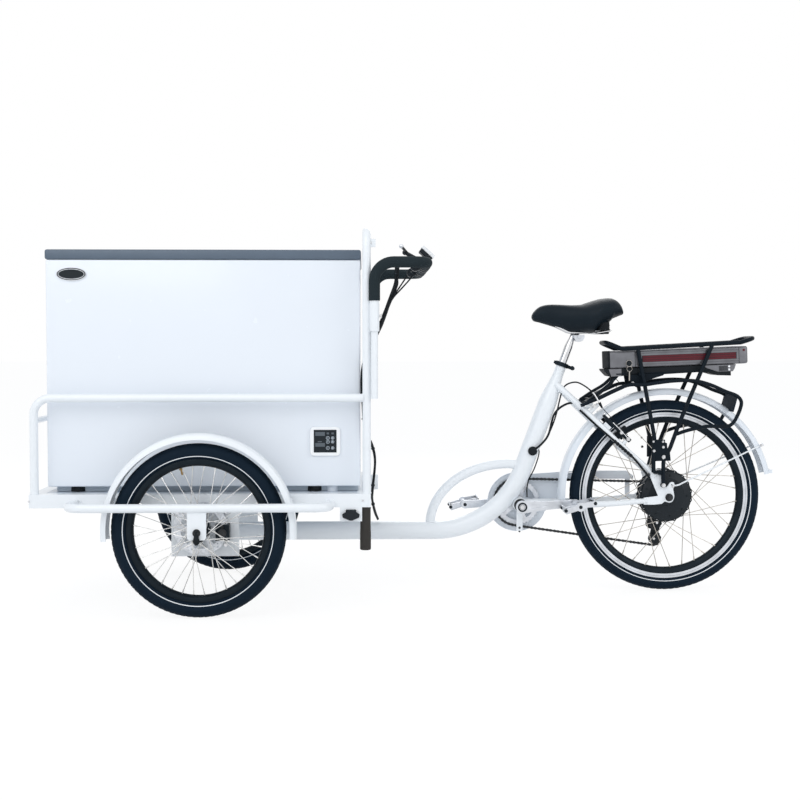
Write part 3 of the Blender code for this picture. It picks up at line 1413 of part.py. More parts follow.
def capsule(first, last, radius, steps=6):
    """The outline of a slot-shaped plate between two (x, z) centres."""
    a = Vector((first[0], first[1]))
    b = Vector((last[0], last[1]))
    heading = math.atan2(b.y - a.y, b.x - a.x)
    points = []
    for centre, turn in ((a, math.pi / 2), (b, -math.pi / 2)):
        for i in range(steps + 1):
            angle = heading + turn + math.pi * i / steps
            points.append((centre.x + radius * math.cos(angle), centre.y + radius * math.sin(angle)))
    return points


def chain_guard():
    """The grey plate outside the chain: a disc at the ring and a strip to the rear."""
    disc = [
        (BB_X + CHAIN_GUARD_R * math.cos(a), BB_Z + CHAIN_GUARD_R * math.sin(a))
        for a in (math.radians(70 + 270 * i / 20) for i in range(21))
    ]
    rear = [(0.480, BB_Z + 0.016), (0.488, REAR_AXLE_Z + 0.046), (CHAIN_GUARD_REAR, REAR_AXLE_Z + 0.046),
            (CHAIN_GUARD_REAR, REAR_AXLE_Z + 0.056), (CHAIN_GUARD_REAR - 0.022, BB_Z + 0.1005)]
    guard = outline(
        "chain_guard", disc + rear, CHAIN_GUARD_Y, 0.002, GREY,
        holes=[(BB_X, BB_Z, 0.0235)],
    )
    tab_x = CHAIN_GUARD_REAR - 0.020
    fuse(guard, box(
        "guard_tab_tool", (tab_x - 0.008, CHAIN_GUARD_Y - 0.001, REAR_AXLE_Z - 0.012),
        (tab_x + 0.008, CHAIN_GUARD_Y + 0.001, REAR_AXLE_Z + 0.050),
    ))
    cut(guard, chain_stay("guard_tab_seat", 1.0, None, GAP))
    return guard


def rear_axle():
    """The motor's fixed axle with a nut on each dropout."""
    face = STAY_END_Y + DROPOUT_THICK / 2
    axle = rod(
        "rear_axle", (REAR_AXLE_X, -face - 0.016, REAR_AXLE_Z), (REAR_AXLE_X, face + 0.016, REAR_AXLE_Z), AXLE_R, STEEL, 12
    )
    for side, sign in both_sides():
        fuse(axle, rod(
            side + "_rear_nut_tool", (REAR_AXLE_X, sign * (face + GAP), REAR_AXLE_Z),
            (REAR_AXLE_X, sign * (face + 0.009), REAR_AXLE_Z), AXLE_NUT_R, sides=6,
        ))
    return axle


def rear_wheel():
    """Tyre, rim and the hub motor with its spokes."""
    centre = Vector((REAR_AXLE_X, 0, REAR_AXLE_Z))
    spin = pivot("rear_wheel_axis", centre)
    tyre = lathe_y("rear_tyre", tyre_profile(REAR_TYRE_R, REAR_RIM_R), centre, WHEEL_STEPS, RUBBER)
    rim = lathe_y("rear_rim", rim_profile(REAR_RIM_R, REAR_RIM_DEPTH), centre, WHEEL_STEPS, BLACK)
    bore = AXLE_R + RUN_GAP
    motor = lathe_y(
        "hub_motor",
        [(MOTOR_R - 0.008, MOTOR_RIGHT), (MOTOR_R, MOTOR_RIGHT - 0.006), (MOTOR_R, -0.030), (MOTOR_R - 0.010, -0.040),
         (MOTOR_NECK_R, -0.044), (0.018, -MOTOR_LEFT), (bore, -MOTOR_LEFT), (bore, MOTOR_RIGHT)],
        centre, 24, BLACK,
    )
    wires = spokes(
        "rear_spoke_tool", MOTOR_R - 0.003, spoke_end(REAR_RIM_R, REAR_RIM_DEPTH), 0.018, -0.022, centre, 0.004
    )
    fuse(motor, wires)
    hang(spin, tyre, rim, motor)
    return spin


def rear_mudguard():
    centre = (REAR_AXLE_X, 0, REAR_AXLE_Z)
    guard = lathe_y(
        "rear_mudguard", channel_profile(REAR_GUARD_R - SHEET), centre, GUARD_STEPS, SILVER,
        sweep=REAR_GUARD_SWEEP, start=REAR_GUARD_END, sheet=SHEET,
    )
    edge = math.radians(REAR_GUARD_END)
    tail_x = REAR_AXLE_X + REAR_GUARD_R * math.cos(edge) + TAIL_LIP_OUT
    tail_z = REAR_AXLE_Z + REAR_GUARD_R * math.sin(edge)
    inner_x = REAR_AXLE_X + (REAR_GUARD_R - 0.001) * math.cos(edge) - 0.002
    lip = box("tail_lip_tool", (inner_x, -0.024, tail_z), (tail_x, 0.024, tail_z + REAR_GUARD_LIP))
    fuse(guard, lip)
    stay_y = GUARD_WIDE / 2
    for side, sign in both_sides():
        reach = math.radians(22.0)
        far = Vector((
            REAR_AXLE_X + (REAR_GUARD_R - 0.010) * math.cos(reach), sign * (stay_y + 0.001),
            REAR_AXLE_Z + (REAR_GUARD_R - 0.010) * math.sin(reach),
        ))
        near = Vector((REAR_AXLE_X + 0.008, sign * (STAY_END_Y - DROPOUT_THICK / 2 - GAP - 0.0025), REAR_AXLE_Z + 0.040))
        bend = near + Vector((0.040, 0, 0.006))
        inside = far + Vector((-0.004, -sign * 0.004, 0.004))
        fuse(guard, bar(side + "_wire_tool", [near, bend, far, inside], 0.0025, sides=6))
    return guard


def rack_point(pair, y):
    return Vector((pair[0], y, pair[1]))


def deck_top(x):
    """The height of the deck that the battery dock sits on."""
    rise = (x - BATTERY_FRONT) * math.tan(math.radians(BATTERY_TILT))
    return BATTERY_Z + rise - DOCK_HIGH - GAP * 2


def leg_point(top, knee, z):
    """The point of a rack leg at a height, on the rider's right."""
    share = (top[1] - z) / (top[1] - knee[1])
    return Vector((
        top[0] + (knee[0] - top[0]) * share, RACK_HALF + (LEG_FOOT_Y - RACK_HALF) * share, z
    ))


def slanted_box(name, start, length, width, low, high, look=None):
    """A box in the battery's own directions, measured from the battery's lower front edge."""
    tilt = math.radians(-BATTERY_TILT)
    along = Vector((math.cos(tilt), 0, -math.sin(tilt)))
    up = Vector((math.sin(tilt), 0, math.cos(tilt)))
    front = Vector((BATTERY_FRONT, 0, BATTERY_Z))
    mesh = mesh_from(
        name,
        lambda form: bmesh.ops.create_cube(
            form, size=1.0, matrix=Matrix.Diagonal((length, width, high - low, 1.0))
        ),
    )
    at = front + along * (start + length / 2) + up * ((low + high) / 2)
    return place(name, mesh, at, (0, tilt, 0), look)


def soften(obj, width, segments=2):
    edge = obj.modifiers.new("Edge", "BEVEL")
    edge.width = width
    edge.segments = segments
    edge.limit_method = "ANGLE"


def rear_rack():
    """The black carrier: a closed top rail, four legs, two hoops round the wheel and feet."""
    half = RACK_HALF
    top = rounded(
        [rack_point(((RACK_FRONT[0] + RACK_DIP[0]) / 2, (RACK_FRONT[1] + RACK_DIP[1]) / 2), -half), rack_point(RACK_DIP, -half),
         rack_point(RACK_RISE, -half), rack_point(RACK_REAR, -half), rack_point(RACK_REAR, half),
         rack_point(RACK_RISE, half), rack_point(RACK_DIP, half), rack_point(RACK_FRONT, half),
         rack_point(RACK_FRONT, -half), rack_point(((RACK_FRONT[0] + RACK_DIP[0]) / 2, (RACK_FRONT[1] + RACK_DIP[1]) / 2), -half)],
        0.025, 2,
    )[:-1]
    rack = bar("rear_rack", top, RACK_R, BLACK, 6, cyclic=True)
    tools = []
    foot_z = 0.440
    for side, sign in both_sides():
        foot_y = sign * LEG_FOOT_Y
        front = [rack_point(LEG_TOP_FRONT, sign * half), rack_point(LEG_KNEE_FRONT, foot_y),
                 Vector((REAR_AXLE_X - 0.046, foot_y, 0.425)), Vector((REAR_AXLE_X - 0.037, foot_y, 0.388))]
        rear = [rack_point(LEG_TOP_REAR, sign * half), rack_point(LEG_KNEE_REAR, foot_y),
                Vector((REAR_AXLE_X + 0.005, foot_y, 0.470)), Vector((REAR_AXLE_X - 0.007, foot_y, 0.390)),
                Vector((REAR_AXLE_X + 0.004, foot_y, 0.349))]
        plate_face = sign * (STAY_END_Y + DROPOUT_THICK / 2 + GAP)
        for end, x, z in (("front", REAR_AXLE_X - 0.034, 0.386), ("rear", REAR_AXLE_X + 0.004, 0.348)):
            tools.append(rod(
                f"{side}_{end}_boss_tool", (x, plate_face, z), (x, foot_y + sign * RACK_R * 0.5, z), 0.007, sides=8
            ))
        tools.append(bar(side + "_front_leg_tool", front, RACK_R, sides=6))
        tools.append(bar(side + "_rear_leg_tool", rear, RACK_R, sides=6))
        plate = [(REAR_AXLE_X + x, z) for x, z in
                 ((-0.065, 0.508), (-0.037, 0.512), (0.001, 0.500), (0.005, 0.424), (-0.065, 0.434))]
        tools.append(outline(side + "_foot_plate_tool", plate, foot_y, FOOT_PLATE_THICK))
        hoop = smooth_run([
            (0.545, sign * LOOP_Y, 0.612), (0.640, sign * LOOP_Y, 0.652), (0.760, sign * LOOP_Y, 0.672),
            (0.880, sign * LOOP_Y, 0.670), (0.985, sign * LOOP_Y, 0.640), (1.034, sign * LOOP_Y, 0.606),
            (1.036, sign * LOOP_Y, 0.570), (1.006, sign * LOOP_Y, 0.533), (0.940, sign * LOOP_Y, 0.528),
            (0.832, sign * (LEG_FOOT_Y - 0.003), 0.512)], 1)
        tools.append(bar(side + "_hoop_tool", hoop, 0.0055, sides=6))
        tools.append(bar(
            side + "_front_arm_tool",
            [(0.545, sign * LOOP_Y, 0.612), (0.615, sign * 0.040, 0.662), (0.645, sign * 0.034, deck_top(0.645) - 0.0075)],
            0.006, sides=6,
        ))
    tools.append(slanted_box(
        "rack_deck_tool", 0.043, 0.350, BATTERY_WIDE * 0.9, -DOCK_HIGH - GAP * 2 - DECK_THICK, -DOCK_HIGH - GAP * 2
    ))
    tools.append(bar("rack_bridge_tool", [(0.560, -LOOP_Y, 0.619), (0.560, LOOP_Y, 0.619)], 0.0055, sides=6))
    for name, top, knee in (("front", LEG_TOP_FRONT, LEG_KNEE_FRONT), ("rear", LEG_TOP_REAR, LEG_KNEE_REAR)):
        near = leg_point(top, knee, deck_top(top[0]))
        tie = leg_point(top, knee, deck_top(near.x) - TIE_R - GAP)
        tools.append(bar(f"rack_{name}_tie_tool", [tie, Vector((tie.x, -tie.y, tie.z))], TIE_R, sides=6))
    plate_x = 1.000
    tools.append(box("lamp_plate_tool", (plate_x, -LOOP_Y - 0.002, 0.595), (plate_x + 0.004, LOOP_Y + 0.002, 0.632)))
    fuse(rack, *tools)
    return rack


def battery_parts():
    """The dock on the rack and the battery case, which slides out to the rear."""
    slide = pivot("battery_axis", (BATTERY_FRONT, 0, BATTERY_Z))
    case = slanted_box("battery", 0.0, BATTERY_LONG, BATTERY_WIDE, 0.0, BATTERY_HIGH, SILVER)
    soften(case, 0.006)
    hang(slide, case)
    dock = slanted_box(
        "battery_dock", 0.002, BATTERY_LONG - 0.045, BATTERY_WIDE * 0.86, -DOCK_HIGH - GAP, -GAP, BLACK
    )
    soften(dock, 0.003, 1)
    return [slide, dock]


def control_cables():
    """The bundle from under the push bar, down inside the hoop, to the frame tube."""
    route = [
        (-0.045, -0.190, 1.012), (-0.068, -0.215, 0.975), (-0.092, -0.255, 0.914), (-0.116, -0.286, 0.852),
        (-0.142, -0.298, 0.790), (-0.159, -0.298, 0.720), (-0.160, -0.297, 0.620), (-0.158, -0.296, 0.540),
        (-0.142, -0.292, 0.490), (-0.133, -0.276, 0.438), (-0.1405, -0.240, 0.350), (-0.1410, -0.180, 0.315),
        (-0.132, -0.080, 0.264), (-0.122, -0.010, 0.231),
    ]
    path = smooth_run(route, 2)
    return tube("control_cables", path, 0.0055, BLACK, 6, [0.0055 - 0.002 * i / (len(path) - 1) for i in range(len(path))])


def frame_cables():
    """The cables on the seat tube: one to the battery, one to the rim brake, one down the stay."""
    disc_at = seat_tube_point(0.451) + Vector((0.006, -TUBE_R - GAP, 0))
    disc = rod("frame_cables", disc_at, disc_at + Vector((0, -0.010, 0)), 0.0145, RUBBER, 16)
    start = disc_at + Vector((0, -0.006, 0))
    up_tube = [
        start, seat_tube_point(0.474) + Vector((0.026, -0.034, 0)), seat_tube_point(0.505) + Vector((0.039, -0.020, 0)),
        seat_tube_point(0.560) + Vector((0.042, -0.008, 0)),
    ]
    battery_run = smooth_run(up_tube + [
        Vector((0.484, -0.006, 0.606)), Vector((0.520, 0.000, 0.622)), Vector((0.575, 0.000, 0.648)), Vector((0.604, 0.000, 0.690)),
    ], 2)
    brake_run = smooth_run(up_tube + [
        Vector((0.471, -0.004, 0.636)), Vector((0.485, 0.000, 0.662)), Vector((0.516, 0.000, 0.6725)),
        Vector((0.548, 0.000, 0.660)), Vector((0.574, 0.000, 0.6335)), Vector((0.582, -0.004, 0.6150)),
    ], 2)
    fuse(disc, bar("battery_cable_tool", battery_run, 0.0035, sides=6), bar("brake_cable_tool", brake_run, 0.0025, sides=6))
    return disc


def steering_unit():
    """Everything that turns with the push bar, hung from the kingpin's axis."""
    axis = pivot("steering_axis", (FRONT_AXLE_X, 0, FRONT_AXLE_Z))
    pieces = platform()
    for side, sign in both_sides():
        front_wheel(side, sign)
        pieces.append(front_axle(side, sign))
        pieces.append(guard_bar(side, sign))
        pieces.append(front_mudguard(side, sign))
        pieces.append(steering_stop(side, sign))
        pieces.append(caliper(side, sign))
        pieces.append(bpy.data.objects[side + "_wheel_axis"])
    pieces.append(cargo_rail())
    pieces.append(rear_hoop())
    push_bar()
    pieces.append(bpy.data.objects["push_bar_axis"])
    pieces += freezer()
    pieces.append(socket_cover())
    pieces.append(control_cables())
    hang(axis, *pieces)


def rear_unit():
    """The cycle frame with its drive, wheel, rack and seat."""
    main_frame()
    kingpin()
    for side, sign in both_sides():
        stays(side, sign)
        brake_arm(side, sign)
    seat_parts()
    crankset()
    drive_parts()
    rear_wheel()
    rear_mudguard()
    rear_rack()
    battery_parts()
    frame_cables()


steering_unit()
rear_unit()
bpy.context.view_layer.update()
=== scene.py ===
# %% [markdown]
# # Dressing an ice cream tricycle
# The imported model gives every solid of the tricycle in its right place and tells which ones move
# together. This lesson puts the real surfaces on it: rubber with tread, laced wheels, powder-coated
# tubes, a freezer with its panel, a saddle and the drive. We start by loading the model, because
# every new piece is measured from it.

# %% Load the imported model
import math

import bmesh
import bpy
from mathutils import Matrix, Vector


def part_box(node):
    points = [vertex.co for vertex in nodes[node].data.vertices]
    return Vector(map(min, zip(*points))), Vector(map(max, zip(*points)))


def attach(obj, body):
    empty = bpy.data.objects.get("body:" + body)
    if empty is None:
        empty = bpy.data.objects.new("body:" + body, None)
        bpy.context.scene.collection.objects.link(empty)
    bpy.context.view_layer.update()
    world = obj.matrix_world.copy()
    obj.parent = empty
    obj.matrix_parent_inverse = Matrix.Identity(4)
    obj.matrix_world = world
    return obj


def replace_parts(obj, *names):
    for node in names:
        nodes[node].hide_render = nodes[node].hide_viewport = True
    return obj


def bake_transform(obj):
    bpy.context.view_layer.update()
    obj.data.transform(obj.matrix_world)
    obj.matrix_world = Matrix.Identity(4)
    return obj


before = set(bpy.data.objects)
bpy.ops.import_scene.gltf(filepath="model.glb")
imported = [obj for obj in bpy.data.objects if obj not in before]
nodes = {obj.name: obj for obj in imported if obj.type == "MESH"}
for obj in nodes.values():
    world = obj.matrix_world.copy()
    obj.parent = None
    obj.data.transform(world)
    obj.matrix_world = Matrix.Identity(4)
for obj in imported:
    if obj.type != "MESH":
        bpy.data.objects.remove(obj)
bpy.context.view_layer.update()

# %% [markdown]
# ## Where we stand
# The photograph was taken from the rider's left, a little above the axles, with a long lens. A
# camera object with the same place, turn and lens gives the same perspective, so the far wheels sit
# just inside the near ones.

# %% Set the camera
def show(name, data):
    """Put a mesh, curve, lamp or camera in the scene as an object."""
    thing = bpy.data.objects.new(name, data)
    bpy.context.scene.collection.objects.link(thing)
    return thing


view_data = bpy.data.cameras.new("side_view")
view_data.lens = 60.3
view_data.sensor_width = 36.0
side_view = show("side_view", view_data)
side_view.location = (-0.166, -4.31, 0.791)
side_view.rotation_euler = (math.radians(90 - 2.35), 0, math.radians(-1.54))
bpy.context.scene.camera = side_view
bpy.context.scene.view_settings.view_transform = "Standard"
print("camera at", tuple(round(v, 3) for v in side_view.location))

# %% [markdown]
# ## Light and floor
# A studio for white paint is mostly a bright room: the world gives even light, and two large lamps
# add enough direction to show that a tube is round. The floor glows white to the camera, so that it
# reads as paper, and still takes a trace of shadow from the diffuse part of its material.

# %% Build the studio
def lamp(name, place, aim, size, power):
    """A square soft lamp that faces a point."""
    data = bpy.data.lights.new(name, "AREA")
    data.size = size
    data.energy = power
    light = show(name, data)
    light.location = place
    light.rotation_euler = (Vector(aim) - Vector(place)).to_track_quat("-Z", "Y").to_euler()


lamp("key_lamp", (-2.2, -3.6, 3.6), (0, 0, 0.5), 4.0, 78)
lamp("fill_lamp", (3.4, -2.4, 2.2), (0.2, 0, 0.5), 2.0, 26)
lamp("back_lamp", (0.5, 3.8, 3.0), (0, 0, 0.6), 2.4, 40)

def add_node(tree, kind, operation=None, **inputs):
    """A shader node of a kind, with some of its inputs set."""
    made = tree.nodes.new("ShaderNode" + kind)
    if operation:
        made.operation = operation
    for socket, value in inputs.items():
        made.inputs[socket].default_value = value
    return made


def wire(tree, *ends):
    """Join each output to the input that follows it."""
    for out, into in zip(ends[::2], ends[1::2]):
        tree.links.new(out, into)


def seen_rays(tree):
    """One for what the camera sees straight, mirrored or through glass, and zero for other light."""
    rays = add_node(tree, "LightPath")
    highest = rays.outputs["Is Camera Ray"]
    for kind in ("Is Glossy Ray", "Is Transmission Ray"):
        either = add_node(tree, "Math", "MAXIMUM")
        wire(tree, highest, either.inputs[0], rays.outputs[kind], either.inputs[1])
        highest = either.outputs[0]
    return highest


room = bpy.data.worlds.new("white_room")
room.use_nodes = True
bpy.context.scene.world = room
tree = room.node_tree
tree.nodes.clear()
seen = add_node(tree, "Background", Color=(1, 1, 1, 1), Strength=1.0)
glow = add_node(tree, "Background", Color=(0.93, 0.96, 1.0, 1.0), Strength=0.69)
choice, result = add_node(tree, "MixShader"), add_node(tree, "OutputWorld")
wire(tree, seen_rays(tree), choice.inputs["Fac"], glow.outputs[0], choice.inputs[1],
     seen.outputs[0], choice.inputs[2], choice.outputs[0], result.inputs["Surface"])

floor_mesh = bpy.data.meshes.new("paper_floor")
form = bmesh.new()
bmesh.ops.create_grid(form, x_segments=1, y_segments=1, size=60.0)
form.to_mesh(floor_mesh)
form.free()
paper_floor = show("paper_floor", floor_mesh)
paper_floor.location = (0, 0, -0.003)
paper = bpy.data.materials.new("white_paper")
paper.use_nodes = True
tree = paper.node_tree
tree.nodes.clear()
matt = add_node(tree, "BsdfDiffuse", Color=(0.92, 0.93, 0.94, 1))
shine = add_node(tree, "Emission", Color=(1, 1, 1, 1), Strength=1.06)
share = add_node(tree, "Math", "MULTIPLY")
share.inputs[1].default_value = 0.84
both, output = add_node(tree, "MixShader"), add_node(tree, "OutputMaterial")
wire(tree, seen_rays(tree), share.inputs[0], share.outputs[0], both.inputs["Fac"], matt.outputs[0],
     both.inputs[1], shine.outputs[0], both.inputs[2], both.outputs[0], output.inputs["Surface"])
floor_mesh.materials.append(paper)

# %% [markdown]
# ## Finishes
# Powder coat, rubber, vinyl and alloy differ less in colour than in their surface: how rough it is,
# how its colour wanders and what grain it has. Each finish below is a Principled shader whose bump,
# roughness and colour come from noise read in real metres, so a 1 mm grain is 1 mm on every piece.

# %% Tools for finishes
def surface(name, colour, roughness, metallic=0.0, coat=0.0, shine=0.5):
    """A plain Principled material to put grain on."""
    skin = bpy.data.materials.new(name)
    skin.use_nodes = True
    shader = skin.node_tree.nodes["Principled BSDF"]
    for socket, value in (("Base Color", (*colour, 1.0)), ("Roughness", roughness), ("Metallic", metallic),
                          ("Coat Weight", coat), ("Specular IOR Level", shine), ("Coat Roughness", 0.12)):
        shader.inputs[socket].default_value = value
    return skin


def pattern(skin, kind, scale, stretch=(1, 1, 1), detail=3.0):
    """The value of a noise or cell pattern that is read at a size in metres."""
    tree = skin.node_tree
    where, sizing = add_node(tree, "TexCoord"), add_node(tree, "Mapping", Scale=stretch)
    source = add_node(tree, {"noise": "TexNoise", "cells": "TexVoronoi"}[kind], Scale=scale)
    if kind == "noise":
        source.inputs["Detail"].default_value = detail
    wire(tree, where.outputs["Object"], sizing.inputs["Vector"], sizing.outputs["Vector"],
         source.inputs["Vector"])
    return source.outputs["Distance"] if kind == "cells" else source.outputs["Fac"]


def raise_grain(skin, value, depth, strength=1.0):
    """Bump the surface by a pattern, on top of any bump that it already has."""
    tree = skin.node_tree
    shader = tree.nodes["Principled BSDF"]
    bump = add_node(tree, "Bump", Distance=depth, Strength=strength)
    earlier = shader.inputs["Normal"].links
    if earlier:
        wire(tree, earlier[0].from_socket, bump.inputs["Normal"])
    wire(tree, value, bump.inputs["Height"], bump.outputs["Normal"], shader.inputs["Normal"])


def vary(skin, value, socket, low, high, start=0.35, end=0.65):
    """Let a colour or a number wander between two values with a pattern."""
    tree = skin.node_tree
    shader = tree.nodes["Principled BSDF"]
    if isinstance(low, tuple):
        ramp = add_node(tree, "ValToRGB")
        for stop, place, colour in zip(ramp.color_ramp.elements, (start, end), (low, high)):
            stop.position, stop.color = place, (*colour, 1.0)
        wire(tree, value, ramp.inputs["Fac"], ramp.outputs["Color"], shader.inputs[socket])
    else:
        span = add_node(tree, "MapRange")
        for name, number in (("From Min", start), ("From Max", end), ("To Min", low), ("To Max", high)):
            span.inputs[name].default_value = number
        wire(tree, value, span.inputs["Value"], span.outputs["Result"], shader.inputs[socket])


# %% Mix the finishes
def powder_coat(name, colour, roughness=0.3, coat=0.25, shine=0.5):
    """Baked powder paint: fine orange peel, faint streaks of dust and a soft gloss."""
    skin = surface(name, colour, roughness, 0.0, coat, shine)
    duller = tuple(c * 0.985 for c in colour)
    vary(skin, pattern(skin, "noise", 5.0, detail=3.0), "Base Color", duller, colour, 0.2, 0.8)
    vary(skin, pattern(skin, "noise", 34.0, detail=4.0), "Roughness", roughness - 0.02, roughness + 0.02,
         0.2, 0.8)
    raise_grain(skin, pattern(skin, "noise", 900.0, detail=1.0), 0.00004, 0.5)
    return skin


def moulded(name, colour, roughness=0.55, grain=900.0, depth=0.00005, shine=0.5):
    """Moulded plastic or rubber with a fine even grain."""
    skin = surface(name, colour, roughness, shine=shine)
    lighter = tuple(min(1.0, c * 1.1 + 0.0005) for c in colour)
    vary(skin, pattern(skin, "noise", 22.0, detail=4.0), "Base Color", colour, lighter, 0.2, 0.8)
    vary(skin, pattern(skin, "noise", 60.0), "Roughness", roughness - 0.03, roughness + 0.05, 0.2, 0.8)
    raise_grain(skin, pattern(skin, "cells", grain), depth, 0.6)
    return skin


def bare_metal(name, colour, roughness, stretch=(1, 1, 1), lines=240.0, depth=0.00001):
    """Drawn or brushed metal: long fine lines and smudges of duller metal."""
    skin = surface(name, colour, roughness, 1.0)
    duller = tuple(c * 0.82 for c in colour)
    vary(skin, pattern(skin, "noise", 30.0, detail=5.0), "Base Color", duller, colour)
    vary(skin, pattern(skin, "noise", 55.0, detail=4.0), "Roughness", roughness - 0.06, roughness + 0.12)
    raise_grain(skin, pattern(skin, "noise", lines, stretch, detail=2.0), depth, 0.5)
    return skin


def paint_edge_reflection(skin, share):
    """Polished round metal gets a darker colour along its edges, a painted reflection of the dark side of the
    studio.
    """
    tree = skin.node_tree
    shader = tree.nodes["Principled BSDF"]
    glance, ramp = add_node(tree, "LayerWeight", Blend=0.5), add_node(tree, "ValToRGB")
    for stop, place, grey in zip(ramp.color_ramp.elements, (0.42, 0.86), (1, share)):
        stop.position, stop.color = place, (grey, grey, grey, 1)
    mix = add_node(tree, "Mix")
    mix.data_type, mix.blend_type = "RGBA", "MULTIPLY"
    mix.inputs[0].default_value = 1.0
    wire(tree, glance.outputs["Facing"], ramp.inputs["Fac"],
         shader.inputs["Base Color"].links[0].from_socket, mix.inputs[6], ramp.outputs["Color"],
         mix.inputs[7], mix.outputs[2], shader.inputs["Base Color"])


white_coat = powder_coat("white_powder_coat", (0.895, 0.93, 0.96))
grey_coat = powder_coat("grey_sheet_coat", (0.6, 0.66, 0.73), 0.38)
silver_coat = powder_coat("silver_guard_coat", (0.8, 0.85, 0.91), 0.34, 0.4)
black_coat = powder_coat("black_powder_coat", (0.004, 0.009, 0.015), 0.48, 0.0, 0.12)
freezer_coat = powder_coat("freezer_sheet_coat", (0.85, 0.895, 0.955), 0.26, 0.4)
raise_grain(freezer_coat, pattern(freezer_coat, "noise", 2.2, detail=0.0), 0.0008, 0.12)
panel_white = moulded("panel_frame_white", (0.92, 0.95, 0.98), 0.32, 1400.0, 0.00001)
panel_grey = moulded("panel_band_grey", (0.085, 0.105, 0.125), 0.35, 1400.0, 0.00001)
slate_cover = moulded("slate_lid_finish", (0.095, 0.13, 0.175), 0.42, 1200.0, 0.00003)
liner_white = moulded("liner_finish", (0.8, 0.83, 0.86), 0.35, 700.0, 0.00003)
tyre_rubber = moulded("tyre_rubber_finish", (0.004, 0.012, 0.023), 0.72, 700.0, 0.00008, 0.12)
soft_black = moulded("soft_black_rubber", (0.006, 0.009, 0.012), 0.6, shine=0.2)
black_shell = moulded("black_shell_plastic", (0.008, 0.013, 0.018), 0.42, 1300.0, 0.00003, 0.25)
grey_shell = moulded("grey_shell_plastic", (0.44, 0.5, 0.56), 0.45, 1300.0, 0.00002)
brown_rubber = moulded("brown_rubber_finish", (0.034, 0.031, 0.028), 0.62, shine=0.25)
reflective_tape = surface("reflective_line", (0.8, 0.83, 0.86), 0.28, 0.35)
raise_grain(reflective_tape, pattern(reflective_tape, "cells", 1600.0), 0.00003, 0.4)
foam_grip = moulded("bar_foam_finish", (0.012, 0.021, 0.026), 0.88, 480.0, 0.00022, 0.3)
silver_alloy = bare_metal("silver_alloy_finish", (0.74, 0.77, 0.82), 0.34)
bright_plate = bare_metal("bright_plated_steel", (0.78, 0.79, 0.81), 0.16, (1, 1, 1), 90.0)
# painted reflection: the plated steel's colour is darkened along its edges
paint_edge_reflection(bright_plate, 0.22)
spoke_steel = bare_metal("spoke_steel_finish", (0.74, 0.74, 0.73), 0.26)
dull_spoke = bare_metal("dull_spoke_steel", (0.55, 0.52, 0.48), 0.34)
oiled_steel = bare_metal("oiled_chain_steel", (0.055, 0.058, 0.062), 0.46)
black_alloy = bare_metal("black_anodised_alloy", (0.012, 0.019, 0.026), 0.42)
dark_shader = black_alloy.node_tree.nodes["Principled BSDF"]
dark_shader.inputs["Metallic"].default_value = 0.6
dark_shader.inputs["Specular IOR Level"].default_value = 0.2
valve_brass = bare_metal("valve_brass", (0.3, 0.2, 0.09), 0.36)
battery_case = bare_metal("battery_extrusion", (0.21, 0.215, 0.235), 0.38, (0.02, 1, 1), 900.0)
saddle_vinyl = moulded("saddle_vinyl", (0.004, 0.01, 0.016), 0.5, 1100.0, 0.00006, 0.16)
battery_strip = moulded("battery_red_strip", (0.1, 0.008, 0.016), 0.36, 1500.0, 0.00002, 0.3)

# %% [markdown]
# ## Building by code
# A tricycle is mostly tubes, turned parts and bent sheet. A tube is a curve with a round bevel, a
# turned part is a profile swept about an axle, and small hardware is gathered in one mesh. These
# helpers keep that in a few lines. Each one ends by letting the piece ride on the body that it
# belongs to, so it moves with it.

# %% Tools for shapes
def seat(piece, finish, body):
    """Let a piece ride on its body. The finish is not used."""
    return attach(piece, body)


def shaped(name, form, finish, body, bevel=0.0, sharp=38.0, segments=2):
    """Close a form into a shown piece with its finish, riding on a body."""
    bmesh.ops.recalc_face_normals(form, faces=form.faces)
    mesh = bpy.data.meshes.new(name)
    form.to_mesh(mesh)
    form.free()
    piece = show(name, mesh)
    mesh.materials.append(finish)
    mesh.shade_smooth()
    mesh.set_sharp_from_angle(angle=math.radians(sharp))
    if bevel:
        edge = piece.modifiers.new("Edge", "BEVEL")
        edge.width = bevel
        edge.segments = segments
        edge.limit_method = "ANGLE"
        edge.angle_limit = math.radians(40)
        edge.harden_normals = True
    return seat(piece, finish, body)


def around(count, shift=0.0):
    """Evenly spaced angles, the first one moved on by a share of a step."""
    return [2 * math.pi * (i + shift) / count for i in range(count)]


def polar(centre, radius, angle, y=0.0):
    """The point at an angle round an axle along Y, moved along the axle by y."""
    return Vector(centre) + Vector((radius * math.cos(angle), y, radius * math.sin(angle)))


def arc(centre, radius, start, end, steps, y=0.0):
    """Points along an arc round an axle between two angles in degrees."""
    return [polar(centre, radius, math.radians(start + (end - start) * i / steps), y)
            for i in range(steps + 1)]


def flat(points):
    """The (x, z) pairs of some points."""
    return [(p.x, p.z) for p in points]


def loft(form, rings, closed=False):
    """Skin a row of rings of points, with a face on each end or round to the first ring again."""
    for a, b in zip(rings, rings[1:] + (rings[:1] if closed else [])):
        for j in range(len(a)):
            k = (j + 1) % len(a)
            form.faces.new((a[j], a[k], b[k], b[j]))
    if not closed:
        form.faces.new(list(reversed(rings[0])))
        form.faces.new(rings[-1])


def add_rod(form, start, end, radius, sides=14, end_radius=None):
    """A round bar between two points, or a cone if its end has a radius of its own."""
    start, end = Vector(start), Vector(end)
    axis = end - start
    turn = axis.to_track_quat("Z", "Y").to_matrix().to_4x4()
    return bmesh.ops.create_cone(
        form, cap_ends=True, segments=sides, radius1=radius,
        radius2=radius if end_radius is None else end_radius, depth=axis.length,
        matrix=Matrix.Translation(start + axis / 2) @ turn,
    )


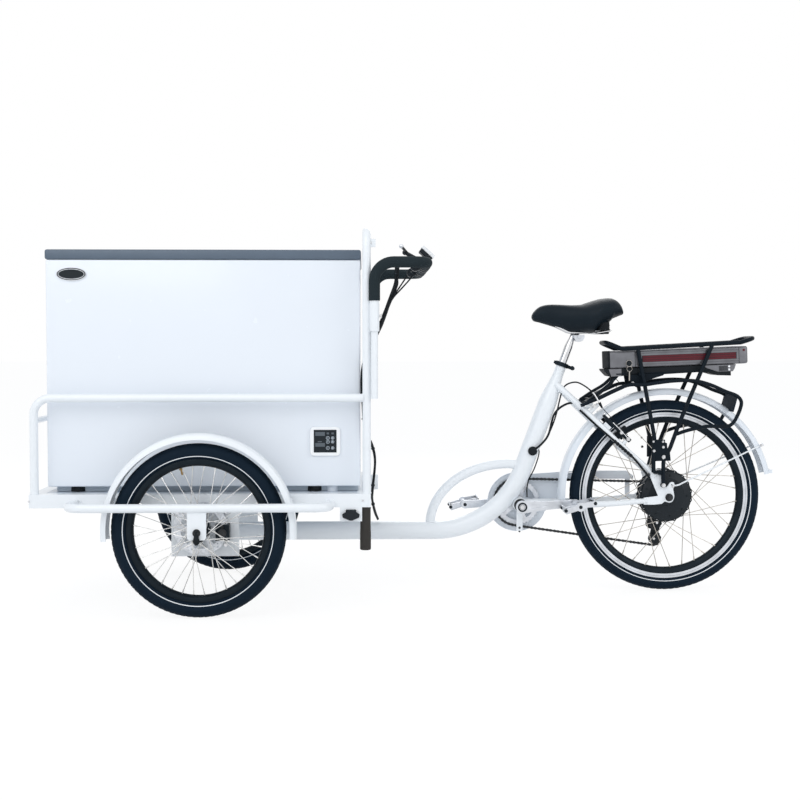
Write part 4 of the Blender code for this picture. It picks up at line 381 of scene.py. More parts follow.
def add_pin(form, at, across, radius, sides=14, end_radius=None):
    """A round bar along Y at an (x, z) place, from one place across to another."""
    start, end = ((at[0], y, at[1]) for y in across)
    return add_rod(form, start, end, radius, sides, end_radius)


def add_box(form, centre, size, turn=Matrix.Identity(3)):
    """A box round a centre, turned if asked."""
    where = Matrix.Translation(Vector(centre)) @ turn.to_4x4() @ Matrix.Diagonal((*size, 1.0))
    return bmesh.ops.create_cube(form, size=1.0, matrix=where)


def add_block(form, low, high):
    """A box between two corners."""
    low, high = Vector(low), Vector(high)
    return add_box(form, (low + high) / 2, high - low)


def add_turned(form, profile, centre, steps, start=0.0, sweep=360.0, wobble=None):
    """Sweep a closed ring of (radius, y) points about an axle along Y."""
    full = abs(sweep - 360.0) < 1e-6
    rings = []
    for i in range(steps if full else steps + 1):
        angle = math.radians(start + sweep * i / steps)
        rings.append([form.verts.new(polar(centre, r + (wobble(i, j) if wobble else 0.0), angle, y))
                      for j, (r, y) in enumerate(profile)])
    loft(form, rings, full)


def add_spun(form, profile, foot, steps, turn=Matrix.Identity(3)):
    """Sweep a closed ring of (radius, height) points about an upright axis, or about a turned one."""
    foot = Vector(foot)
    loft(form, [[form.verts.new(foot + turn @ Vector((r * math.cos(a), r * math.sin(a), high)))
                 for r, high in profile] for a in around(steps)], True)


def add_plate(form, points, y, thick):
    """A flat plate in the XZ plane from (x, z) points."""
    loft(form, [[form.verts.new((x, across, z)) for x, z in points]
                for across in (y - thick / 2, y + thick / 2)])


def add_bolt(form, head, inward, size=0.005, high=0.004):
    """A hex head on a washer, seen from outside; inward points into the work."""
    head, inward = Vector(head), Vector(inward).normalized()
    add_rod(form, head - inward * 0.0008, head + inward * 0.0012, size * 1.35, 18)
    add_rod(form, head - inward * (0.0008 + high), head - inward * 0.0008, size, 6)
    add_rod(form, head - inward * (0.0016 + high), head - inward * (0.0008 + high), size * 0.55, 10)


def pipe(name, points, radius, finish, body, sides=20, radii=None, cyclic=False):
    """A round tube along points."""
    curve = bpy.data.curves.new(name, "CURVE")
    curve.dimensions = "3D"
    curve.bevel_depth = radius
    curve.bevel_resolution = max(0, (sides - 4) // 2)
    curve.use_fill_caps = not cyclic
    spline = curve.splines.new("POLY")
    spline.points.add(len(points) - 1)
    for i, point in enumerate(points):
        spline.points[i].co = (*point, 1.0)
        if radii:
            spline.points[i].radius = radii[i] / radius
    spline.use_cyclic_u = cyclic
    curve.materials.append(finish)
    piece = show(name, curve)
    return seat(piece, finish, body)


def pierced(name, loops, y, thick, finish, body, bevel=0.0):
    """A sheet in the XZ plane whose first loop is its edge and whose other loops are holes."""
    curve = bpy.data.curves.new(name, "CURVE")
    curve.dimensions = "2D"
    curve.fill_mode = "BOTH"
    curve.extrude = thick / 2 - bevel
    curve.bevel_depth = bevel
    curve.bevel_resolution = 1
    for loop in loops:
        spline = curve.splines.new("POLY")
        spline.points.add(len(loop) - 1)
        for i, (x, z) in enumerate(loop):
            spline.points[i].co = (x, z, 0.0, 1.0)
        spline.use_cyclic_u = True
    curve.materials.append(finish)
    piece = show(name, curve)
    piece.location = (0, y, 0)
    piece.rotation_euler = (math.pi / 2, 0, 0)
    return seat(piece, finish, body)


def circle(x, z, radius, count=16):
    """The (x, z) points of a hole."""
    return [(x + radius * math.cos(a), z + radius * math.sin(a)) for a in around(count)]


def rounded(points, radius, steps=8):
    """A run through points with each corner drawn as an arc."""
    corners = [Vector(p) for p in points]
    path = [corners[0]]
    for before, here, after in zip(corners, corners[1:], corners[2:]):
        back, ahead = (before - here).normalized(), (after - here).normalized()
        half = back.angle(ahead) / 2
        reach = radius / math.tan(half)
        middle = here + (back + ahead).normalized() * (radius / math.sin(half))
        first, last = here + back * reach - middle, here + ahead * reach - middle
        axis, swing = first.cross(last).normalized(), first.angle(last)
        path += [middle + Matrix.Rotation(swing * i / steps, 3, axis) @ first for i in range(steps + 1)]
    return path + [corners[-1]]


def smooth_run(points, per_span=6):
    """A smooth curve through points."""
    knots = [Vector(p) for p in points]
    knots = [knots[0] * 2 - knots[1]] + knots + [knots[-1] * 2 - knots[-2]]
    path = []
    for a, b, c, d in zip(knots, knots[1:], knots[2:], knots[3:]):
        for i in range(per_span):
            t = i / per_span
            path.append(0.5 * (2 * b + (c - a) * t + (2 * a - 5 * b + 4 * c - d) * t ** 2
                               + (3 * b - a - 3 * c + d) * t ** 3))
    return path + [knots[-2]]


def solid_form(node):
    """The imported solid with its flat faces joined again."""
    form = bmesh.new()
    form.from_mesh(nodes[node].data)
    bmesh.ops.remove_doubles(form, verts=form.verts, dist=0.00001)
    bmesh.ops.dissolve_limit(form, angle_limit=math.radians(0.6), verts=form.verts, edges=form.edges)
    return form


def softened(node, name, finish, body, width, segments=3):
    """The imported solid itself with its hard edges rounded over, as folded or moulded parts are."""
    piece = shaped(name, solid_form(node), finish, body, width, 38.0, segments)
    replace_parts(piece, node)
    return piece


SIDES = (("left", -1.0), ("right", 1.0))

# %% [markdown]
# ## Tyres
# A tyre's section is nearly round, with a tread of small blocks on the crown and smooth walls that
# carry a pale reflective line. The section is swept about the axle in fine steps, and a rule lowers
# some of the crown points to cut the grooves, which is cheaper than modelling every block.

# %% Make the tyres
FRONT_X, REAR_X, TRACK_HALF = -0.646, 0.807, 0.42
FRONT_R, REAR_R = 0.252419, 0.305193
TYRE_EXTRA = {"front": 0.002, "rear": 0.003}
FRONT_HUBS = {"left": Vector((FRONT_X, -TRACK_HALF, FRONT_R)),
              "right": Vector((FRONT_X, TRACK_HALF, FRONT_R))}
REAR_HUB = Vector((REAR_X, 0, REAR_R))
SECTION = 24


def tyre_section(radius, seat):
    """(radius, y) points round the tyre and back through its inside."""
    high = 0.547 * (radius - seat)
    middle = radius - high
    outer = [(middle + high * math.cos(a), 0.025 * math.sin(a))
             for a in (math.radians(-118 + 236 * i / SECTION) for i in range(SECTION + 1))]
    return outer + [(seat, 0.0125), (seat - 0.002, 0.0), (seat, -0.0125)]


def tread(i, j):
    """How far a point of the section is lowered at one step round the tyre."""
    row = j - SECTION // 2
    off = abs(row)
    if off == 2:
        return -0.0016
    if off < 2:
        return -0.0014 if (i + off) % 3 == 0 else 0.0
    if off < 5:
        return -0.0015 if (i + (1 if row > 0 else 2)) % 3 == 0 else 0.0
    if off < 7:
        return -0.0012 if (i // 2 + (row > 0)) % 2 else 0.0
    return 0.0


def make_tyre(node, hub, radius, seat, line, body):
    """A tyre with its tread, and a reflective line of a given radius on both walls."""
    form = bmesh.new()
    add_turned(form, tyre_section(radius, seat), hub, 276, wobble=tread)
    tyre = shaped(node.replace("_tyre", "_tyre_tread"), form, tyre_rubber, body, sharp=50)
    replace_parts(tyre, node)
    form = bmesh.new()
    for y in (-1, 1):
        ring = [(line + 0.0012, y * 0.0217), (line + 0.0012, y * 0.0232), (line - 0.0011, y * 0.0226),
                (line - 0.0011, y * 0.021)]
        add_turned(form, ring, hub, 120)
    shaped(node.replace("_tyre", "_tyre_line"), form, reflective_tape, body)


for side, sign in SIDES:
    make_tyre(side + "_front_tyre", FRONT_HUBS[side], FRONT_R + TYRE_EXTRA["front"], 0.209, 0.2178,
              side + "_wheel")
make_tyre("rear_tyre", REAR_HUB, REAR_R + TYRE_EXTRA["rear"], 0.269, 0.2776, "rear_wheel")
print("tyre radii:", FRONT_R, REAR_R)

# %% [markdown]
# ## Rims and spokes
# The front rims are black all over. The rear rim is deeper and its sides are machined bright where
# the brake pads run, so it gets two bright rings. The spokes are laced: half of them lean forward
# and half back, and each ends in a nipple at the rim.

# %% Make the rims
def make_rim(node, hub, outer, inner, body):
    """A hollow rim: flanges for the tyre, flat sides, and a rounded inner edge."""
    half, step = 0.0145, outer - inner
    ring = [(outer, half - 0.0005), (outer, half - 0.002), (outer - 0.006, half - 0.003),
            (outer - 0.006, -half + 0.003), (outer, -half + 0.002), (outer, -half + 0.0005),
            (outer - 0.0015, -half), (outer - step * 0.5, -half), (outer - step * 0.68, -half + 0.001),
            (inner + step * 0.08, -half * 0.55), (inner, -half * 0.22), (inner, half * 0.22),
            (inner + step * 0.08, half * 0.55), (outer - step * 0.68, half - 0.001),
            (outer - step * 0.5, half), (outer - 0.0015, half)]
    form = bmesh.new()
    add_turned(form, ring, hub, 144)
    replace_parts(shaped(node + "_hoop", form, black_alloy, body, sharp=30), node)


for side, sign in SIDES:
    make_rim(side + "_front_rim", FRONT_HUBS[side], 0.209, 0.1885, side + "_wheel")
make_rim("rear_rim", REAR_HUB, 0.2695, 0.2345, "rear_wheel")
form = bmesh.new()
for y in (-1, 1):
    for high, low in ((0.2688, 0.2632), (0.2626, 0.2552)):
        add_turned(form, [(high, y * 0.014), (high, y * 0.01475), (low, y * 0.01475), (low, y * 0.014)],
                   REAR_HUB, 144)
shaped("rear_brake_tracks", form, silver_alloy, "rear_wheel", sharp=30)


# %% Lace the spokes
def lace(name, hub, flange_r, flange_left, flange_right, rim_r, body, finish, turn=52.0, count=36):
    """Spokes in turn to the left and right flange, in pairs that lean forward and back."""
    wires, nipples = bmesh.new(), bmesh.new()
    for i, rim_angle in enumerate(around(count, 0.5)):
        side = -1.0 if i % 2 else 1.0
        lean = -1.0 if (i // 2) % 2 else 1.0
        flange_y = flange_right if side > 0 else flange_left
        start = polar(hub, flange_r, rim_angle + lean * math.radians(turn), flange_y + lean * 0.0022)
        end = polar(hub, rim_r, rim_angle, side * 0.004)
        run = (end - start).normalized()
        add_rod(wires, start, end, 0.00125, 8)
        add_rod(nipples, end - run * 0.012, end + run * 0.002, 0.0021, 8)
        add_rod(wires, start - Vector((0, lean * 0.0042, 0)), start, 0.0019, 8)
    shaped(name + "_spokes", wires, finish, body)
    shaped(name + "_nipples", nipples, finish, body)


for side, sign in SIDES:
    lace(side + "_front", FRONT_HUBS[side], 0.027, -0.03, 0.03, 0.1895, side + "_wheel", spoke_steel)
lace("rear", REAR_HUB, 0.08, -0.024, 0.02, 0.235, "rear_wheel", dull_spoke, turn=46.0)


def valve(name, hub, rim_r, degrees, body):
    """A brass valve that points at the hub, with its nut and cap."""
    out = polar((0, 0, 0), 1.0, math.radians(degrees))
    form = bmesh.new()
    add_rod(form, hub + out * rim_r, hub + out * (rim_r - 0.014), 0.0026, 12)
    add_rod(form, hub + out * (rim_r - 0.001), hub + out * (rim_r - 0.005), 0.0052, 6)
    add_rod(form, hub + out * (rim_r - 0.012), hub + out * (rim_r - 0.02), 0.0034, 12, 0.0028)
    shaped(name, form, valve_brass, body)


valve("left_front_valve", FRONT_HUBS["left"], 0.1885, 106, "left_wheel")
valve("right_front_valve", FRONT_HUBS["right"], 0.1885, 60, "right_wheel")
valve("rear_valve", REAR_HUB, 0.2345, 100, "rear_wheel")

# %% [markdown]
# ## Hubs and brake rotors
# Each front hub is a black turned shell with two flanges, and a drilled steel rotor is bolted to its
# inboard end. The rear hub is a motor: a wide black drum whose flange is scalloped round the spoke
# heads. The rotor is a flat outline with many holes, so a filled curve suits it best.

# %% Make the front hubs
for side, sign in SIDES:
    hub = FRONT_HUBS[side]
    body = side + "_wheel"
    form = bmesh.new()
    shell = [(0.013, 0.0495), (0.0165, 0.044), (0.0168, 0.035), (0.03, 0.0325), (0.0312, 0.0308),
             (0.0312, 0.029), (0.0295, 0.0278), (0.019, 0.024), (0.015, 0.016), (0.0143, 0.0)]
    ring = shell + [(r, -y) for r, y in reversed(shell[:-1])] + [(0.0066, -0.0495), (0.0066, 0.0495)]
    add_turned(form, ring, hub, 48)
    for i in range(18):
        for y in (-1, 1):
            spot = polar(hub, 0.0275, 2 * math.pi * (i + 0.25 * y) / 18, y * 0.033)
            add_rod(form, spot, spot + Vector((0, y * 0.0016, 0)), 0.0022, 8)
    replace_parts(shaped(side + "_front_hub_shell", form, black_alloy, body, sharp=32), side + "_front_hub")
    rotor_y = hub.y - sign * 0.0445
    loops = [flat(polar(hub, 0.08 - 0.0011 * (1 + math.cos(12 * a)), a) for a in around(120)),
             circle(hub.x, hub.z, 0.0165, 24)]
    for i, a in enumerate(around(30)):
        for hole_ring, turn_on, hole in ((0.0738, 0.0, 0.0025), (0.0668, math.pi / 30, 0.0022)):
            spot = polar(hub, hole_ring, a + turn_on)
            loops.append(circle(spot.x, spot.z, hole, 8))
    for a in range(0, 360, 60):
        back_turn = math.degrees(0.12)
        loops.append(flat(arc(hub, 0.0605, a + 9, a + 51, 6)
                          + arc(hub, 0.028, a + 51 + back_turn, a + 9 + back_turn, 6)))
    pierced(side + "_brake_rotor", loops, rotor_y, 0.002, silver_alloy, body)
    form = bmesh.new()
    for a in around(6):
        spot = polar((hub.x, rotor_y, hub.z), 0.022, a, -sign * 0.001)
        add_rod(form, spot, spot - Vector((0, sign * 0.0022, 0)), 0.0038, 12, 0.0032)
    shaped(side + "_rotor_bolts", form, bright_plate, body)

# %% Make the hub motor
form = bmesh.new()
profile = [(0.0735, 0.0285), (0.079, 0.0255), (0.0812, 0.0225), (0.0812, -0.0265), (0.079, -0.032),
           (0.074, -0.0352), (0.06, -0.0372), (0.059, -0.038), (0.04, -0.0402), (0.031, -0.042),
           (0.029, -0.045), (0.019, -0.0512), (0.008, -0.0515), (0.008, 0.0285)]
add_turned(form, profile, REAR_HUB, 96)
for y0, y1, shift in ((0.0165, 0.0225, 0.0), (-0.027, -0.021, 0.5)):
    def lobes(i, j, shift=shift):
        return 0.0028 * max(0.0, math.cos(2 * math.pi * (i / 8.0 + shift))) if j < 2 else 0.0
    add_turned(form, [(0.0838, y1), (0.0838, y0), (0.078, y0), (0.078, y1)], REAR_HUB, 144, wobble=lobes)
motor = shaped("hub_motor_drum", form, black_shell, "rear_wheel", sharp=32)
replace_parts(motor, "hub_motor")
form = bmesh.new()
for a in around(18, 0.5):
    for y, out in ((-0.027, -1), (0.0225, 1)):
        spot = polar(REAR_HUB, 0.0822, a, y)
        add_rod(form, spot, spot + Vector((0, out * 0.0012, 0)), 0.0015, 10, 0.0011)
heads = bmesh.new()
for a in around(9):
    spot = polar(REAR_HUB, 0.068, a, -0.0362)
    add_rod(heads, spot, spot + Vector((0, -0.0022, 0)), 0.003, 12, 0.0026)
shaped("hub_motor_rivets", form, bright_plate, "rear_wheel")
shaped("hub_motor_screws", heads, black_shell, "rear_wheel")
print("motor width:", round(profile[0][1] - min(y for r, y in profile), 4))

# %% [markdown]
# ## The platform
# The platform is welded box tube. Its solid is already right, so it only gets its folded corners
# rounded and a bead of weld where the posts stand. Round tubes are drawn again as smooth pipes along
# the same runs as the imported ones.

# %% Tools for sheet and weld
def keep(node, finish):
    """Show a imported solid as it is, with a finish."""
    slots = nodes[node].data.materials
    slots.clear()
    slots.append(finish)


def add_tube(form, points, radius, sides=8, radii=None):
    """A mesh tube along points, for cables that bend between two bodies and for small bent wire."""
    run = [Vector(p) for p in points]
    turn = None
    rings = []
    for i, here in enumerate(run):
        ahead = (run[min(i + 1, len(run) - 1)] - run[max(i - 1, 0)]).normalized()
        if turn is None:
            turn = ahead.to_track_quat("Z", "Y")
        else:
            turn = (turn @ Vector((0, 0, 1))).rotation_difference(ahead) @ turn
        r = radii[i] if radii else radius
        rings.append([form.verts.new(here + turn @ Vector((r * math.cos(a), r * math.sin(a), 0)))
                      for a in around(sides)])
    loft(form, rings)


def add_bead(form, centre, axis, radius, thick=0.0022, steps=22):
    """A weld bead: a slightly rippled ring about an axis."""
    centre, axis = Vector(centre), Vector(axis).normalized()
    turn = axis.to_track_quat("Z", "Y")
    rings = []
    for i, angle in enumerate(around(steps)):
        outer = radius + 0.0002 * (i % 2)
        here = centre + turn @ Vector((outer * math.cos(angle), outer * math.sin(angle), 0))
        out = (here - centre).normalized()
        wide = thick * (1.0 + 0.15 * (i % 2))
        rings.append([form.verts.new(here + out * wide * math.cos(a) * 0.8 + axis * wide * math.sin(a))
                      for a in around(8)])
    loft(form, rings, True)


# %% Make the platform
# the height of its top, then how far its side, the rails and the guard bars stand out
DECK, SIDE_Y, RAIL_Y, GUARD_Y = 0.3503, 0.3503, 0.33, 0.475
POST_X, HOOP_X, RAIL_TOP, HOOP_TOP = -1.1415, -0.158, 0.634, 1.13
# the push bar: its legs, its height and how far back its grip is
BAR_X, BAR_Y, BAR_TOP, BAR_BACK = -0.1349, 0.345, 1.036, 0.022
softened("platform_frame", "platform_rails", white_coat, "front_unit", 0.0028)
keep("platform_floor", grey_coat)
form = bmesh.new()
for side, sign in SIDES:
    for x in (POST_X, HOOP_X):
        add_bead(form, (x, sign * RAIL_Y, 0.3512), (0, 0, 1), 0.012)
    for x in (-1.01, -0.266):
        add_bead(form, (x, sign * 0.3512, 0.3235), (0, 1, 0), 0.0108)
shaped("platform_welds", form, white_coat, "front_unit")
form = bmesh.new()
for side, sign in SIDES:
    for x in (-0.716, -0.576):
        for z in (0.2, 0.296):
            add_bolt(form, (x, sign * 0.3512, z), (0, -sign, 0), 0.0042)
    for x in (POST_X, HOOP_X):
        add_pin(form, (x - 0.012, 0.33), (sign * 0.351, sign * 0.352), 0.0032, 12)
shaped("platform_bolts", form, bright_plate, "front_unit")

# %% Make the guard bars and the axle ends
for side, sign in SIDES:
    path = rounded([(-1.02, sign * SIDE_Y, 0.3235), (-1.02, sign * GUARD_Y, 0.3235),
                    (-0.266, sign * GUARD_Y, 0.3235), (-0.266, sign * SIDE_Y, 0.3235)], 0.045)
    guard = pipe(side + "_guard_tube", path, 0.0128, white_coat, "front_unit", 24)
    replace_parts(guard, side + "_guard_bar")
    plate = [(-0.673, 0.318), (-0.619, 0.318), (-0.619, 0.238), (-0.625, 0.232), (-0.667, 0.232),
             (-0.673, 0.238)]
    pierced(side + "_drop_plate", [plate, circle(FRONT_X, FRONT_R, 0.0063, 20)], sign * GUARD_Y, 0.005,
            white_coat, "front_unit", 0.0006)
    form = bmesh.new()
    face = sign * 0.4778
    add_pin(form, (FRONT_X, FRONT_R), (face, face + sign * 0.0035), 0.0115, 20)
    add_pin(form, (FRONT_X, FRONT_R), (face + sign * 0.0035, face + sign * 0.008), 0.01, 6)
    add_pin(form, (FRONT_X, FRONT_R), (face + sign * 0.008, face + sign * 0.0115), 0.006, 14)
    add_pin(form, (FRONT_X, FRONT_R), (sign * 0.3452, sign * 0.4772), 0.006, 16)
    add_pin(form, (FRONT_X, FRONT_R), (sign * 0.336, sign * 0.3445), 0.011, 6)
    shaped(side + "_axle_hardware", form, oiled_steel, "front_unit")
    form = bmesh.new()
    cone = [Vector((FRONT_X, face + sign * 0.006, FRONT_R + z))
            for z in (0.006, -0.004, -0.014, -0.022, -0.028, -0.0345)]
    add_tube(form, cone, 0.004, 14, [0.0065, 0.0068, 0.0078, 0.0105, 0.009, 0.0035])
    lever = shaped(side + "_axle_lever", form, soft_black, "front_unit", sharp=60)
    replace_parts(lever, side + "_front_axle")


# %% Make the front mudguards
def bent_guard(name, hub, radius, half, skirt, start, sweep, finish, body, steps=72):
    """A rolled channel over a wheel, with rounded shoulders and a skirt on both sides."""
    outer = [(radius, 0.0), (radius - 0.0003, half * 0.32), (radius - 0.0014, half * 0.62),
             (radius - 0.0042, half * 0.86), (radius - 0.009, half * 0.965), (radius - skirt, half)]
    inner = [(r - 0.0015, max(0.0, y - 0.0013)) for r, y in outer[:-1]] + [(outer[-1][0], half - 0.0017)]
    right = outer + list(reversed(inner))
    left = [(r, -y) for r, y in inner[1:]] + [(r, -y) for r, y in reversed(outer[1:])]
    form = bmesh.new()
    add_turned(form, right + left, hub, steps, start=start, sweep=sweep)
    return shaped(name, form, finish, body, sharp=50)


for side, sign in SIDES:
    hub = FRONT_HUBS[side]
    guard = bent_guard(side + "_front_fender", hub, 0.284, 0.031, 0.018, -5, 191, white_coat, "front_unit")
    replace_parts(guard, side + "_front_mudguard")
    form = bmesh.new()
    for y in (-1, 1):
        add_tube(form, arc(hub, 0.266, -5, 186, 60, y * 0.0305), 0.0014, 8)
    shaped(side + "_fender_beads", form, white_coat, "front_unit")
    plates, bolts = bmesh.new(), bmesh.new()
    for x_way in (-1, 1):
        at = polar(hub, 0.276, math.radians(90 - x_way * 72))
        y = sorted((sign * SIDE_Y, sign * 0.392))
        add_block(plates, (at.x - 0.008, y[0], at.z - 0.0005), (at.x + 0.008, y[1], at.z + 0.002))
        y = sorted((sign * SIDE_Y, sign * 0.3523))
        add_block(plates, (at.x - 0.008, y[0], at.z - 0.02), (at.x + 0.008, y[1], at.z + 0.002))
        add_bolt(bolts, (at.x, sign * 0.353, at.z - 0.011), (0, -sign, 0), 0.0036)
        add_bolt(bolts, (at.x, sign * 0.376, at.z + 0.0024), (0, 0, -1), 0.0036)
    shaped(side + "_fender_brackets", plates, white_coat, "front_unit", 0.0005)
    shaped(side + "_fender_bolts", bolts, bright_plate, "front_unit")

# %% Make the calipers, pegs and socket cover
# the (height, radius) steps of a peg from its top down
PEG = ((0.3097, 0.0164), (0.304, 0.0164), (0.303, 0.0157), (0.244, 0.0157), (0.23, 0.0164), (0.184, 0.0164),
       (0.1818, 0.0156), (0.1807, 0.0136))
for side, sign in SIDES:
    softened(side + "_brake_caliper", side + "_caliper_body", black_alloy, "front_unit", 0.001)
    form = bmesh.new()
    add_pin(form, (-0.582, 0.24), (sign * 0.3883, sign * 0.3925), 0.0125, 20)
    add_pin(form, (-0.582, 0.24), (sign * 0.3925, sign * 0.394), 0.006, 6)
    for z in (0.222, 0.258):
        add_bolt(form, (-0.582, sign * 0.389, z), (0, -sign, 0), 0.0036)
    shaped(side + "_caliper_screws", form, oiled_steel, "front_unit")
    form = bmesh.new()
    for (above, wide), (z, r) in zip(PEG, PEG[1:]):
        add_rod(form, (-0.162, sign * RAIL_Y, above), (-0.162, sign * RAIL_Y, z), wide, 28, r)
    bmesh.ops.remove_doubles(form, verts=form.verts, dist=0.00001)
    doubled = [f for f in form.faces if len(f.verts) > 4 and 0.1809 < f.calc_center_median().z < 0.3095]
    bmesh.ops.delete(form, geom=doubled, context="FACES")
    peg = shaped(side + "_stop_peg", form, brown_rubber, "front_unit", sharp=35)
    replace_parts(peg, side + "_steering_stop")
softened("socket_cover", "charge_cover", black_shell, "charge_flap", 0.0016)
form = bmesh.new()
add_rod(form, (-0.2235, -0.3558, 0.3025), (-0.1865, -0.3558, 0.3025), 0.0018, 10)
shaped("charge_cover_pin", form, bright_plate, "charge_flap")
keep("kingpin", oiled_steel)

# %% [markdown]
# ## Rails and hoop
# Two rails run along the freezer on front posts, a thinner one crosses the front, and a tall hoop
# stands behind it. The hoop carries the sleeves in which the push bar slides, and a small tab with a
# bolt.

# %% Make the rails and the hoop
for side, sign in SIDES:
    path = rounded([(POST_X, sign * RAIL_Y, DECK), (POST_X, sign * RAIL_Y, RAIL_TOP),
                    (-0.1701, sign * RAIL_Y, RAIL_TOP)], 0.048)
    rail = pipe(side + "_side_rail", path, 0.0125, white_coat, "front_unit", 28)
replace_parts(rail, "cargo_rail")
pipe("front_cross_rail", [(POST_X, -RAIL_Y, 0.567), (POST_X, RAIL_Y, 0.567)], 0.009, white_coat, "front_unit",
     24)
path = rounded([(HOOP_X, -RAIL_Y, DECK), (HOOP_X, -RAIL_Y, HOOP_TOP), (HOOP_X, RAIL_Y, HOOP_TOP),
                (HOOP_X, RAIL_Y, DECK)], 0.045)
hoop = pipe("hoop_tube", path, 0.0125, white_coat, "front_unit", 28)
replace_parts(hoop, "rear_hoop")
welds, sleeves, bolts = bmesh.new(), bmesh.new(), bmesh.new()
for side, sign in SIDES:
    y = sign * 0.345
    add_spun(sleeves, [(0.0145, 0.0905), (0.0145, 0.0005), (0.014, 0.0), (0.0112, 0.0), (0.0112, 0.091),
                       (0.014, 0.091)], (BAR_X, y, 0.831), 32)
    web = sorted((sign * RAIL_Y, sign * 0.3395))
    add_block(sleeves, (HOOP_X, web[0], 0.841), (-0.14, web[1], 0.912))
    if sign < 0:
        # only the near side has a tab near the top, and a plate on the platform's rear edge
        add_block(sleeves, (-0.1502, -0.326, 1.081), (-0.1312, -0.321, 1.105))
        add_bolt(bolts, (-0.145, -0.3265, 1.094), (0, 1, 0), 0.0024, 0.0016)
        add_block(sleeves, (-0.172, -0.232, 0.3505), (-0.1233, -0.227, 0.3958))
    add_rod(bolts, (-0.12, y, 0.877), (-0.116, y, 0.877), 0.004, 14)
    add_rod(bolts, (-0.116, y, 0.877), (-0.113, y, 0.877), 0.0066, 6)
    add_bead(welds, (POST_X, sign * 0.32, 0.567), (0, 1, 0), 0.0088)
    add_bead(welds, (-0.169, sign * RAIL_Y, RAIL_TOP), (1, 0, 0), 0.0122)
shaped("push_bar_sleeves", sleeves, white_coat, "front_unit", 0.0008)
shaped("rail_welds", welds, white_coat, "front_unit")
shaped("hoop_bolts", bolts, bright_plate, "front_unit")
print("rail height:", RAIL_TOP, "hoop top:", HOOP_TOP + 0.0125)

# %% [markdown]
# ## The freezer
# The case is pressed and painted sheet, so its long edges have a soft fold and its flat sides are
# never quite flat. The lid gets an inner panel and a seal that show once it is open. The control
# panel has a dark window with keys, and an oval plate with no wording sits at the front corner.

# %% Make the freezer case and lid
def folded(node, name, finish, body, low, high, width, segments=4):
    """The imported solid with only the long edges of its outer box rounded."""
    form = solid_form(node)

    def planes(v):
        return {(k, e) for k in range(3) for e, c in ((0, low[k]), (1, high[k])) if abs(v.co[k] - c) < 0.0002}

    chosen = [e for e in form.edges if len(planes(e.verts[0]) & planes(e.verts[1])) >= 2]
    bmesh.ops.bevel(form, geom=chosen, offset=width, segments=segments, affect="EDGES", profile=0.5,
                    clamp_overlap=False)
    piece = shaped(name, form, finish, body, sharp=28)
    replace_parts(piece, node)
    return piece


folded("freezer_body", "freezer_case", freezer_coat, "front_unit", (-1.112, -0.29, 0.367),
               (-0.177, 0.29, 1.045), 0.005)
softened("freezer_liner", "freezer_tub", liner_white, "front_unit", 0.0012)
lid = folded("freezer_lid", "lid_slab", slate_cover, "lid", (-1.1145, -0.2925, 1.0453),
             (-0.1745, 0.2925, 1.0753), 0.0001, 1)
form = bmesh.new()
add_block(form, (-1.04, -0.22, 1.036), (-0.249, 0.22, 1.0452))
shaped("lid_inner_panel", form, liner_white, "lid", 0.006, segments=4)
SEAL_TOP = 1.0452
edges = [rounded([(-0.645, -0.2925 + inset, 0), (-1.1145 + inset, -0.2925 + inset, 0),
                  (-1.1145 + inset, 0.2925 - inset, 0), (-0.1745 - inset, 0.2925 - inset, 0),
                  (-0.1745 - inset, -0.2925 + inset, 0), (-0.644, -0.2925 + inset, 0)], 0.02, 6)
         for inset in (0.024, 0.036)]
form = bmesh.new()
loft(form, [[form.verts.new((p.x, p.y, z)) for p in edge]
            for edge, z in zip(edges + edges[::-1], [SEAL_TOP] * 2 + [SEAL_TOP - 0.0001] * 2)], True)
shaped("lid_seal", form, soft_black, "lid")

# %% Make the freezer's plates, panel and compressor
PLATE_X, PLATE_Z = -1.0355, 1.0015


def oval(wide, high, y):
    """Points round the plate at a half width, a half height and a place across."""
    return [Vector((PLATE_X + wide * math.cos(a), y, PLATE_Z + high * math.sin(a))) for a in around(64)]


form = bmesh.new()
loft(form, [[form.verts.new(p) for p in oval(*size)]
            for size in ((0.044, 0.02, -0.2904), (0.043, 0.019, -0.2924))])
shaped("oval_plate", form, black_shell, "front_unit", sharp=60)
form = bmesh.new()
for size, thick in (((0.0385, 0.015, -0.2926), 0.0009), ((0.0436, 0.0196, -0.292), 0.0012)):
    add_tube(form, oval(*size) + oval(*size)[:1], thick, 6)
shaped("oval_plate_rim", form, silver_alloy, "front_unit")
low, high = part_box("control_panel")
middle = (low.x + high.x) / 2
edge = rounded([(middle, 0, low.z), (high.x, 0, low.z), (high.x, 0, high.z), (low.x, 0, high.z),
                (low.x, 0, low.z), (middle, 0, low.z)], 0.011, 6)
panel = pierced("panel_frame", [flat(edge[:-1])], (low.y + high.y) / 2, high.y - low.y,
                panel_white, "front_unit", 0.0014)
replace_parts(panel, "control_panel")
form = bmesh.new()
add_block(form, (-0.3166, -0.2974, 0.469), (-0.2484, -0.2962, 0.537))
shaped("panel_window", form, black_shell, "front_unit", 0.0005)
bands, rings = bmesh.new(), bmesh.new()
for low, high in ((0.519, 0.5305), (0.4865, 0.4975)):
    add_block(bands, (-0.312, -0.2978, low), (-0.2835, -0.2973, high))
add_block(bands, (-0.305, -0.2978, 0.5), (-0.2925, -0.2973, 0.503))
